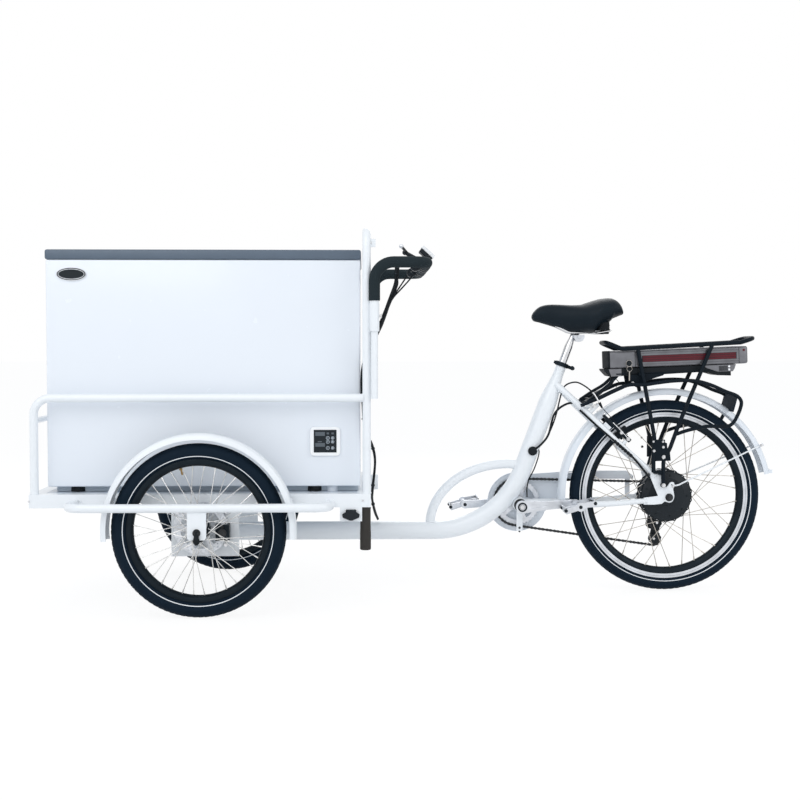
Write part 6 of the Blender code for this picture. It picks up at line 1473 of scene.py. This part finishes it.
def arms(centre, inner, outer, count, gap, start=0.0):
    """Outlines of the windows between the arms of a spider; gap is half an arm in radians."""
    gap, start = math.degrees(gap), math.degrees(start)
    loops = []
    for i in range(count):
        first, last = start + 360 * i / count + gap, start + 360 * (i + 1) / count - gap
        widen = gap * 0.9
        high, low = arc(centre, outer, first, last, 10), arc(centre, inner, last - widen, first + widen, 6)
        loops.append(flat(high + low))
    return loops


ring = [toothed(BRACKET, 0.0738, 38, 0.0706), circle(BRACKET.x, BRACKET.z, 0.011, 24)]
ring += arms(BRACKET, 0.026, 0.058, 5, 0.2)
pierced("chainring", ring, CHAIN_Y, 0.0024, silver_alloy, "crankset", 0.0004)
form = bmesh.new()
add_pin(form, (BRACKET.x, BRACKET.z), (0.0535, 0.08), 0.02, 28)
for a in around(5):
    spot = polar(BRACKET, 0.062, a, CHAIN_Y)
    add_rod(form, spot - Vector((0, 0.003, 0)), spot + Vector((0, 0.003, 0)), 0.0042, 14)
shaped("chainring_boss", form, silver_alloy, "crankset", 0.0005, sharp=35)
cogs = [(0.068, 34, 0.0325), (0.0615, 30, 0.0366), (0.055, 27, 0.0407), (0.048, 24, 0.0446),
        (0.033, 16, 0.052), (0.029, 14, 0.0572)]
for i, (radius, teeth, y) in enumerate(cogs):
    plate = [toothed(REAR_HUB, radius, teeth, radius - 0.003), circle(REAR_HUB.x, REAR_HUB.z, 0.0186, 24)]
    if radius > 0.05:
        plate += arms(REAR_HUB, 0.03, radius - 0.011, 6, 0.16, 0.2 * i)
    cog = pierced(f"cog_{teeth}_teeth", plate, y, 0.0018, oiled_steel, "freewheel_body", 0.0003)
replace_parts(cog, "freewheel")
form = bmesh.new()
add_turned(form, [(0.027, 0.0305), (0.027, 0.0462), (0.024, 0.0475), (0.0225, 0.06), (0.0186, 0.06),
                  (0.0186, 0.0305)],
           REAR_HUB, 36)
shaped("cog_body", form, oiled_steel, "freewheel_body", sharp=35)
softened("derailleur", "derailleur_body", black_shell, "frame", 0.001, 2)
form, wheels = bmesh.new(), bmesh.new()
for pulley in (UPPER, LOWER):
    add_pin(form, (pulley.x, pulley.z), (0.0572, 0.063), 0.0046, 6)
    add_pin(form, (pulley.x, pulley.z), (0.044, 0.048), 0.004, 12)
    add_plate(wheels, toothed(pulley, 0.0176, 11, 0.015), 0.0462, 0.0018)
add_bolt(form, (0.789, 0.087, 0.2932), (0, -1, 0), 0.005)
add_bolt(form, (0.779, 0.08, 0.202), (0, -1, 0), 0.0044)
shaped("derailleur_bolts", form, bright_plate, "frame")
shaped("derailleur_teeth", wheels, black_shell, "frame")
softened("chain_guard", "guard_sheet", silver_coat, "frame", 0.0005, 1)
form = bmesh.new()
add_tube(form, arc(BRACKET, 0.0955, 72, 338, 60, 0.0655), 0.0019, 8)
add_tube(form, [Vector((0.372, 0.0655, 0.366)), Vector((0.53, 0.0655, 0.377)),
                Vector((0.697, 0.0655, 0.3765))], 0.0016, 8)
shaped("guard_rim", form, silver_coat, "frame")

# %% [markdown]
# ## Rear mudguard, rack and battery
# The mudguard is a rolled channel like the front ones, held by wires from the dropouts. The rack is
# one welded cage of round bar. The battery lies on its dock and has a lock with a key in its side.

# %% Make the rear mudguard
guard = bent_guard("rear_fender", REAR_HUB, 0.347, 0.031, 0.02, 12, 170, silver_coat, "frame", 84)
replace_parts(guard, "rear_mudguard")
form = bmesh.new()
for y in (-1, 1):
    add_tube(form, arc(REAR_HUB, 0.3272, 12, 182, 70, y * 0.0305), 0.0014, 8)
tail = polar(REAR_HUB, 0.346, math.radians(12))
add_block(form, (tail.x - 0.003, -0.024, tail.z), (tail.x + 0.00856, 0.024, tail.z + 0.011))
shaped("rear_fender_edge", form, silver_coat, "frame", 0.0006)
wires, clips, bolts = bmesh.new(), bmesh.new(), bmesh.new()
for side, sign in SIDES:
    reach = math.radians(28.0)
    far = polar(REAR_HUB, 0.348, reach, sign * 0.032)
    near = REAR_HUB + Vector((0.012, sign * 0.0662, 0.036))
    add_tube(wires, smooth_run([near, near + Vector((0.02, 0, 0.003)),
                                near + Vector((0.048, -sign * 0.002, 0.016)),
                                far + Vector((-0.04, sign * 0.004, -0.018)), far], 6), 0.0026, 10)
    add_box(clips, far, (0.014, 0.006, 0.01), Matrix.Rotation(-reach, 3, "Y"))
    add_bolt(bolts, far + Vector((0, sign * 0.0035, 0)), (0, -sign, 0), 0.0034)
    add_bolt(bolts, near + Vector((0, sign * 0.0094, 0)), (0, -sign, 0), 0.0034)
shaped("fender_wires", wires, white_coat, "frame")
shaped("fender_clamps", clips, silver_alloy, "frame", 0.0008)
shaped("fender_wire_bolts", bolts, bright_plate, "frame")


# %% Make the rack
def flat_point(pair, y):
    """A point from its (x, z) pair and its place across."""
    return Vector((pair[0], y, pair[1]))


TILT_UP = math.radians(-2.2)
ALONG, UP = (polar((0, 0, 0), 1.0, a) for a in (-TILT_UP, math.pi / 2 - TILT_UP))
PACK_FRONT = Vector((0.597, 0, 0.7145))
PACK_TURN = Matrix.Rotation(TILT_UP, 3, "Y")


def pack(u, w, y=0.0):
    """A point in the battery's own directions: along it, up from its floor, and across."""
    return PACK_FRONT + ALONG * u + UP * w + Vector((0, y, 0))


def pack_box(form, u, w, y):
    """A box in the battery's directions from its (low, high) pairs."""
    middle = pack((u[0] + u[1]) / 2, (w[0] + w[1]) / 2, (y[0] + y[1]) / 2)
    return add_box(form, middle, (u[1] - u[0], y[1] - y[0], w[1] - w[0]), PACK_TURN)


# the far foot stands further back than the near one in the photo: its plate, and its strut
FAR_FOOT_BACK = (0.0165, 0.034)
form = bmesh.new()
half = 0.062
front, dip, rise, rear = (0.607, 0.7985), (0.655, 0.7785), (1.036, 0.7995), (1.079, 0.813)
start = ((front[0] + dip[0]) / 2, (front[1] + dip[1]) / 2)
top_rail = rounded([flat_point(start, -half), flat_point(dip, -half), flat_point(rise, -half),
                    flat_point(rear, -half), flat_point(rear, half), flat_point(rise, half),
                    flat_point(dip, half), flat_point(front, half), flat_point(front, -half),
                    flat_point(start, -half)], 0.025, 8)
add_tube(form, top_rail, 0.007, 16)
for side, sign in SIDES:
    back, strut = FAR_FOOT_BACK if sign > 0 else (0, 0)
    legs = [[Vector((0.706, sign * half, 0.779)), Vector((0.7575 + back, sign * 0.08, 0.497)),
             Vector((0.7535 + strut, sign * 0.084, 0.444)),
             Vector((0.7545 + strut * 0.5, sign * 0.084, 0.386))],
            [Vector((0.9455, sign * half, 0.795)), Vector((0.834, sign * 0.08, 0.537)),
             Vector((0.806, sign * 0.084, 0.462)), Vector((0.7855, sign * 0.084, 0.425)),
             Vector((0.7855, sign * 0.084, 0.345))]]
    for leg in legs:
        run = [leg[0]]
        for before, here, after in zip(leg, leg[1:], leg[2:]):
            back, ahead = (before - here).normalized() * 0.01, (after - here).normalized() * 0.01
            run += [here + back, here + (back + ahead) * 0.25, here + ahead]
        add_tube(form, run + [leg[-1]], 0.0065, 16)
    for x, z in ((0.773, 0.386), (0.7855, 0.345)):
        add_pin(form, (x, z), (sign * 0.0753, sign * 0.0905), 0.0078, 18)
    add_tube(form, [(0.7545 + strut * 0.5, sign * 0.084, 0.387), (0.773, sign * 0.084, 0.386)], 0.0052, 12)
    hoop = smooth_run([Vector((x, sign * 0.078, z)) for x, z in (
        (0.522, 0.5985), (0.545, 0.6085), (0.577, 0.6214), (0.6277, 0.6457), (0.6746, 0.664),
        (0.7255, 0.665), (0.762, 0.6704), (0.811, 0.6765), (0.8598, 0.6785), (0.9007, 0.6745),
        (0.9413, 0.6623), (0.9824, 0.6441), (1.019, 0.63), (1.0345, 0.6117), (1.0314, 0.5873),
        (1.0192, 0.559), (1.0069, 0.5407), (0.9865, 0.5318), (0.9334, 0.5325), (0.8966, 0.527),
        (0.86, 0.5185), (0.8232, 0.506))], 6)
    add_tube(form, hoop, 0.0058, 14, [0.0056] * 12 + [0.0066] * 10 + [0.0058] * (len(hoop) - 22))
    add_tube(form, smooth_run([(0.545, sign * 0.078, 0.612), (0.58, sign * 0.06, 0.638),
                               (0.615, sign * 0.04, 0.662), pack(0.048, -0.024, sign * 0.034)], 5),
             0.0052, 14)
    add_bead(form, flat_point((0.706, 0.779), sign * half), (0.17, 0, -1), 0.0066, 0.0016, 16)
    add_bead(form, flat_point((0.9455, 0.795), sign * half), (-0.35, 0, -1), 0.0066, 0.0016, 16)
add_tube(form, [(0.56, -0.078, 0.617), (0.56, 0.078, 0.617)], 0.0036, 14)
for x, z in ((0.7137, 0.7103), (0.9131, 0.7201)):
    add_tube(form, [(x, -0.0675, z - 0.012), (x, 0.0675, z - 0.012)], 0.005, 12)
rack = shaped("rack_bars", form, black_coat, "frame", sharp=50)
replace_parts(rack, "rear_rack")
form = bmesh.new()
pack_box(form, (0.043, 0.393), (-0.0206, -0.0166), (-0.0468, 0.0468))
for side, sign in SIDES:
    back = FAR_FOOT_BACK[0] if sign > 0 else 0
    add_plate(form, [(0.752 + back, 0.4912), (0.7898, 0.4906), (0.7898, 0.482), (0.7959, 0.4797),
                     (0.7973, 0.464), (0.8051, 0.456), (0.8084, 0.4235), (0.752 + back, 0.422)],
              sign * 0.086, 0.005)
    add_plate(form, [(0.682, 0.695), (0.797, 0.702), (0.79, 0.694), (0.734, 0.676), (0.722, 0.664),
                     (0.706, 0.655), (0.688, 0.664)],
              sign * 0.05, 0.004)
    add_box(form, (0.706, sign * 0.064, 0.666), (0.016, 0.03, 0.004))
shaped("rack_plates", form, black_coat, "frame", 0.0007)
form = bmesh.new()
add_box(form, (1.017, 0, 0.606), (0.003, 0.156, 0.058), Matrix.Rotation(math.radians(15), 3, "Y"))
shaped("lamp_plate", form, tyre_rubber, "frame", 0.0007)
form = bmesh.new()
for side, sign in SIDES:
    for x, y, z, size in ((0.752, 0.0912, 0.485, 0.0024), (0.754, 0.0912, 0.455, 0.0032),
                          (0.783, 0.0892, 0.4845, 0.0026), (0.784, 0.0892, 0.467, 0.003),
                          (0.786, 0.0892, 0.435, 0.0048)):
        add_bolt(form, (x, sign * y, z), (0, -sign, 0), size, 0.0026)
    add_bolt(form, (0.7855, sign * 0.091, 0.345), (0, -sign, 0), 0.005, 0.0034)
    for x, z in ((0.6925, 0.6695), (0.7085, 0.6655)):
        add_bolt(form, (x, sign * 0.0525, z), (0, -sign, 0), 0.0036, 0.003)
shaped("rack_bolts", form, bright_plate, "frame")

# %% Make the battery
LONG, HIGH, WIDE = 0.467, 0.056, 0.104


def rounded_section(wide, high, corner, grooves=()):
    """The (y, w) outline of the case, with shallow grooves at given heights on both sides."""
    loop = []
    for cy, cw, first in ((1, 0, -90), (1, 1, 0), (-1, 1, 90), (-1, 0, 180)):
        centre = (cy * (wide / 2 - corner), corner if cw == 0 else high - corner)
        for k in range(7):
            a = math.radians(first + 90 * k / 6)
            loop.append((centre[0] + corner * math.cos(a), centre[1] + corner * math.sin(a)))
        if first == -90:
            for w0, w1, deep in grooves:
                loop += [(wide / 2, w0), (wide / 2 - deep, w0 + 0.0006), (wide / 2 - deep, w1 - 0.0006),
                         (wide / 2, w1)]
        if first == 90:
            for w0, w1, deep in reversed(grooves):
                loop += [(-wide / 2, w1), (-wide / 2 + deep, w1 - 0.0006), (-wide / 2 + deep, w0 + 0.0006),
                         (-wide / 2, w0)]
    return loop


def extrude_pack(form, loop, stations):
    """Loft a section along the battery; each station is (u, scale up, scale across)."""
    rings = []
    for u, up, across in stations:
        rings.append([form.verts.new(pack(u, HIGH / 2 + (w - HIGH / 2) * up, y * across)) for y, w in loop])
    loft(form, rings)


grooves = ((0.0085, 0.0115, 0.0012), (0.0165, 0.038, 0.0008), (0.044, 0.047, 0.0012))
form = bmesh.new()
extrude_pack(form, rounded_section(WIDE, HIGH, 0.007, grooves), [(0.1045, 1, 1), (0.437, 1, 1)])
case = shaped("battery_extrusion", form, battery_case, "battery_pack", sharp=30)
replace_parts(case, "battery")
form = bmesh.new()
plain = rounded_section(WIDE, HIGH, 0.007)
extrude_pack(form, plain, [(0.0232, 0.998, 0.998), (0.1028, 0.998, 0.998)])
extrude_pack(form, plain, [(0.4385, 0.985, 0.985), (0.4395, 1, 1), (0.456, 1, 1), (0.463, 0.965, 0.965),
                           (0.4662, 0.9, 0.9), (0.467, 0.8, 0.8)])
shaped("battery_ends", form, battery_case, "battery_pack", sharp=35)
form = bmesh.new()
extrude_pack(form, plain, [(0.0077, 0.96, 0.1), (0.01, 0.975, 0.3), (0.0125, 0.985, 0.48),
                           (0.015, 1, 0.69), (0.0177, 1, 0.89), (0.0205, 1, 0.97), (0.0228, 1, 1)])
extrude_pack(form, plain, [(0.102, 0.975, 0.975), (0.1052, 0.975, 0.975)])
extrude_pack(form, plain, [(0.436, 0.975, 0.975), (0.439, 0.975, 0.975)])
shaped("battery_front_cap", form, soft_black, "battery_pack", sharp=60)
reds, blacks = bmesh.new(), bmesh.new()
for sign in (-1, 1):
    y = sorted((sign * 0.0508, sign * 0.0522))
    for w0, w1 in ((0.0176, 0.0228), (0.024, 0.0306), (0.0318, 0.037)):
        pack_box(reds, (0.128, 0.428), (w0, w1), y)
    y = sorted((sign * 0.0505, sign * 0.0518))
    pack_box(blacks, (0.126, 0.43), (0.0166, 0.038), y)
    pack_box(reds, (0.45, 0.457), (0.04, 0.047), sorted((sign * 0.0515, sign * 0.0524)))
shaped("battery_red_lines", reds, battery_strip, "battery_pack")
shaped("battery_dark_lines", blacks, black_shell, "battery_pack")


def pack_plate(form, outline, half):
    """A block across the battery from its side outline of (along, up) points."""
    points = [pack(u, w) for u, w in outline]
    add_plate(form, flat(points), 0, 2 * half)


form = bmesh.new()
pack_plate(form, [(0.06, -0.0008), (0.338, -0.0008), (0.35, -0.015), (0.369, -0.0232), (0.412, -0.0228),
                  (0.412, -0.0372), (0.369, -0.0345), (0.34, -0.0254), (0.3155, -0.0222), (0.2414, -0.0235),
                  (0.2005, -0.0245), (0.06, -0.025)],
           0.046)
pack_plate(form,
           [(0.003, -0.0008), (0.022, -0.0008), (0.027, -0.0262), (0.02, -0.024), (0.005, -0.007)], 0.043)
tray = shaped("dock_tray", form, soft_black, "frame", 0.0015)
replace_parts(tray, "battery_dock")
form = bmesh.new()
pack_plate(form, [(0.0185, -0.0008), (0.064, -0.0008), (0.064, -0.0255), (0.0262, -0.0265)], 0.0445)
pack_plate(form, [(0.3195, -0.0008), (0.4288, -0.0008), (0.4243, -0.0143), (0.418, -0.0238), (0.369, -0.0237),
                  (0.3485, -0.0163), (0.334, -0.0108)], 0.048)
shaped("dock_housings", form, battery_case, "frame", 0.002)
blacks, whites, keys = bmesh.new(), bmesh.new(), bmesh.new()
for sign in (-1, 1):
    for i in range(8):
        pack_box(blacks, (0.373 + 0.0036 * i, 0.3752 + 0.0036 * i), (-0.021, -0.0047),
                 sorted((sign * 0.0475, sign * 0.0486)))
    for w in (-0.007, -0.0172):
        spot = pack(0.406, w, sign * 0.0478)
        add_rod(whites, spot, spot + Vector((0, sign * 0.0012, 0)), 0.0034, 14)
pack_box(blacks, (0.072, 0.11), (-0.019, -0.0008), (-0.05, 0.05))
lock = pack(0.083, 0.0147, -WIDE / 2)
bosses = bmesh.new()
add_rod(bosses, lock, lock - Vector((0, 0.003, 0)), 0.0085, 28)
add_rod(bosses, lock + Vector((0.001, -0.0035, 0.0022)), lock + Vector((0.001, -0.0052, 0.0022)), 0.0046, 20)
for k, (drop, reach) in enumerate(((0.0, 0.01), (0.0175, 0.0085))):
    link_at = lock + Vector((0.0015 * k, -0.0046, -drop))
    add_tube(keys, arc(link_at, reach, 0, 360, 28, 0.0008 * k), 0.0006, 8)
add_box(keys, lock + Vector((0.001, -0.0052, -0.04)), (0.0032, 0.0016, 0.03))
shaped("battery_lock", bosses, black_shell, "battery_pack", sharp=40)
shaped("dock_vents", blacks, soft_black, "frame")
shaped("dock_dots", whites, panel_white, "frame")
shaped("battery_key", keys, dull_spoke, "battery_pack")
print("battery:", LONG, WIDE, HIGH)

# %% [markdown]
# ## Cables
# Thin cables leave the levers and meet in one bundle behind the freezer. A real bundle is several
# outer casings lying side by side with ties round them, so each casing is a tube of its own with a
# slow twist. The bundle is built in an upper half, between the push bar and the front unit, and a
# lower half, between the front unit and the frame.

# %% Make the control cables
def strand(run, out, phase, twist):
    """A line beside a run, at a distance from it, that winds slowly round it."""
    line = []
    for i, here in enumerate(run):
        ahead = (run[min(i + 1, len(run) - 1)] - run[max(i - 1, 0)]).normalized()
        across = ahead.cross(Vector((1, 0, 0))).normalized()
        up = ahead.cross(across)
        angle = phase + twist * i
        line.append(here + across * (out * math.cos(angle)) + up * (out * math.sin(angle)))
    return line


def add_tie(form, run, i, radius):
    """A cable tie round a run at one of its points, with its lock."""
    ahead = (run[i + 1] - run[i - 1]).normalized()
    add_rod(form, run[i] - ahead * 0.002, run[i] + ahead * 0.002, radius, 16)
    add_box(form, run[i] + Vector((0, -radius, 0)), (0.005, 0.004, 0.005))


def blended(name, form, finish, slot, bodies, start, end):
    """A finished mesh, left where it is built; the bodies are not used."""
    mesh = bpy.data.meshes.new(name)
    bmesh.ops.recalc_face_normals(form, faces=form.faces)
    form.to_mesh(mesh)
    form.free()
    mesh.materials.append(finish)
    mesh.shade_smooth()
    piece = show(name, mesh)
    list(bodies)
    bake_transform(piece)
    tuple(start)
    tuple(end)
    return piece


ROUTE = [Vector(p) for p in (
    (-0.064, -0.188, 1.03), (-0.066, -0.195, 0.995), (-0.07, -0.215, 0.97), (-0.092, -0.255, 0.914),
    (-0.116, -0.286, 0.852), (-0.146, -0.298, 0.79), (-0.168, -0.298, 0.72), (-0.17, -0.298, 0.62),
    (-0.164, -0.297, 0.54), (-0.142, -0.292, 0.49), (-0.133, -0.276, 0.438), (-0.1405, -0.24, 0.35),
    (-0.141, -0.18, 0.315), (-0.132, -0.08, 0.264), (-0.122, -0.01, 0.231))]
UPPER_RUN, LOWER_RUN = smooth_run(ROUTE[:8], 10), smooth_run(ROUTE[7:], 10)
THICK, THIN = (0.004, 0.0033), (0.0023, 0.002)
BEND_UP = (("handlebar", "front_unit"), (-0.055, -0.2, 0.99), (-0.155, -0.298, 0.74))
BEND_LOW = (("front_unit", "frame"), (-0.1405, -0.24, 0.35), (-0.122, -0.01, 0.231))
for name, run, bend in (("upper", UPPER_RUN, BEND_UP), ("lower", LOWER_RUN, BEND_LOW)):
    form, ties = bmesh.new(), bmesh.new()
    for k in range(4):
        offset = 0 if name == "upper" else 0.07 * (len(UPPER_RUN) - 1)
        thick = THICK if name == "upper" else THIN
        add_tube(form, strand(run, thick[0], math.pi / 2 * k + offset, 0.07), thick[1], 8)
    for i in range(6, len(run) - 3, 16):
        add_tie(ties, run, i, 0.0058)
    piece = blended(name + "_cable_bundle", form, soft_black, "cable_black", *bend)
    blended(name + "_cable_ties", ties, black_shell, "cable_black", *bend)
    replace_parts(piece, "control_cables")
form = bmesh.new()
for line in (((-0.034, -0.197, 1.003), (-0.042, -0.203, 0.99), (-0.062, -0.225, 0.96),
              (-0.084, -0.25, 0.928), (-0.098, -0.268, 0.898), (-0.112, -0.282, 0.864),
              (-0.126, -0.292, 0.83)),
             ((-0.018, -0.193, 1.003), (-0.027, -0.198, 0.99), (-0.052, -0.222, 0.962),
              (-0.077, -0.246, 0.934), (-0.096, -0.265, 0.9), (-0.11, -0.281, 0.866),
              (-0.124, -0.292, 0.832))):
    add_tube(form, smooth_run(line, 8), 0.0024, 8)
blended("lever_cables", form, soft_black, "cable_black", *BEND_UP)
print("bundle points:", len(UPPER_RUN), len(LOWER_RUN))

# %% Make the frame cables
GROMMET = seat_tube_point(0.451) + Vector((0.006, -0.0296, 0))
form = bmesh.new()
add_rod(form, GROMMET, GROMMET - Vector((0, 0.006, 0)), 0.0145, 28)
add_rod(form, GROMMET - Vector((0, 0.006, 0)), GROMMET - Vector((0, 0.01, 0)), 0.0145, 28, 0.01)
UP_TUBE = [GROMMET - Vector((0, 0.006, 0)), seat_tube_point(0.474) + Vector((0.026, -0.034, 0)),
           seat_tube_point(0.505) + Vector((0.039, -0.02, 0)),
           seat_tube_point(0.56) + Vector((0.042, -0.008, 0))]
run = smooth_run(UP_TUBE[:3] + [(0.4476, -0.014, 0.57), (0.4873, -0.018, 0.602), (0.5411, -0.02, 0.6076),
                                (0.5836, -0.02, 0.6284), (0.612, -0.02, 0.655), (0.63, -0.02, 0.672),
                                (0.6345, -0.02, 0.692)], 8)
add_tube(form, run, 0.0036, 12,
         [0.0036] * 44 + [0.0036 + 0.0044 * k / (len(run) - 45) for k in range(len(run) - 44)])
plugs = shaped("frame_cable_run", form, soft_black, "frame", 0.0)
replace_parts(plugs, "frame_cables")
form = bmesh.new()
add_tube(form, smooth_run(UP_TUBE + [(0.471, -0.004, 0.636), (0.484, -0.012, 0.662), (0.512, -0.034, 0.672),
                                     (0.536, -0.062, 0.661), (0.559, -0.0845, 0.641)], 8), 0.0025, 8)
add_rod(form, (0.5797, -0.085, 0.6087), (0.589, -0.082, 0.592), 0.0048, 14, 0.003)
add_tube(form, smooth_run([(0.5885, -0.082, 0.593), (0.606, -0.081, 0.574), (0.64, -0.08, 0.538),
                           (0.6713, -0.078, 0.506)], 6),
         0.0012, 6)
add_tube(form,
         smooth_run([(0.6371, -0.03, 0.6889), (0.6495, -0.04, 0.6704), (0.6394, -0.046, 0.6564)], 6),
         0.0012, 6)
MOTOR_RUN = [Vector(p) for p in (
    (0.52, -0.066, 0.584), (0.575, -0.07, 0.534), (0.623, -0.076, 0.492), (0.686, -0.082, 0.436),
    (0.715, -0.082, 0.403), (0.738, -0.079, 0.374), (0.745, -0.07, 0.362))]
add_tube(form, smooth_run(MOTOR_RUN, 8), 0.0034, 10)
gaiter = MOTOR_RUN[3] - MOTOR_RUN[2]
for i in range(7):
    here = MOTOR_RUN[2] + gaiter * (0.1 + 0.13 * i)
    add_rod(form, here, here + gaiter * 0.1, 0.0056, 16, 0.005)
add_tube(form, smooth_run([(0.394, -0.034, 0.455), (0.3965, -0.026, 0.447), (0.3945, -0.01, 0.425),
                           (0.384, 0, 0.3904), (0.3691, 0.01, 0.357), (0.3636, 0.02, 0.3275),
                           (0.3651, 0.03, 0.2963)], 8), 0.002, 8)
shaped("frame_cable_casings", form, soft_black, "frame")
form = bmesh.new()
add_tube(form,
         smooth_run([(0.5575, -0.083, 0.6425), (0.566, -0.085, 0.6315), (0.5797, -0.085, 0.6087)], 6),
         0.0026, 10)
for side, sign in SIDES:
    add_pin(form, (0.569, 0.5961), (sign * 0.06, sign * 0.066), 0.0062, 6)
shaped("brake_noodle", form, bright_plate, "frame")
form = bmesh.new()
for side, sign in SIDES:
    add_tube(form, [Vector((0.55, sign * 0.058, 0.5715)), Vector((0.581, sign * 0.058, 0.6022))], 0.0064, 14)
add_tube(form, [Vector((0.569, -0.06, 0.5905)), Vector((0.569, 0.06, 0.5905))], 0.006, 14)
shaped("stay_bridge", form, white_coat, "frame")
print("cable points:", len(MOTOR_RUN))
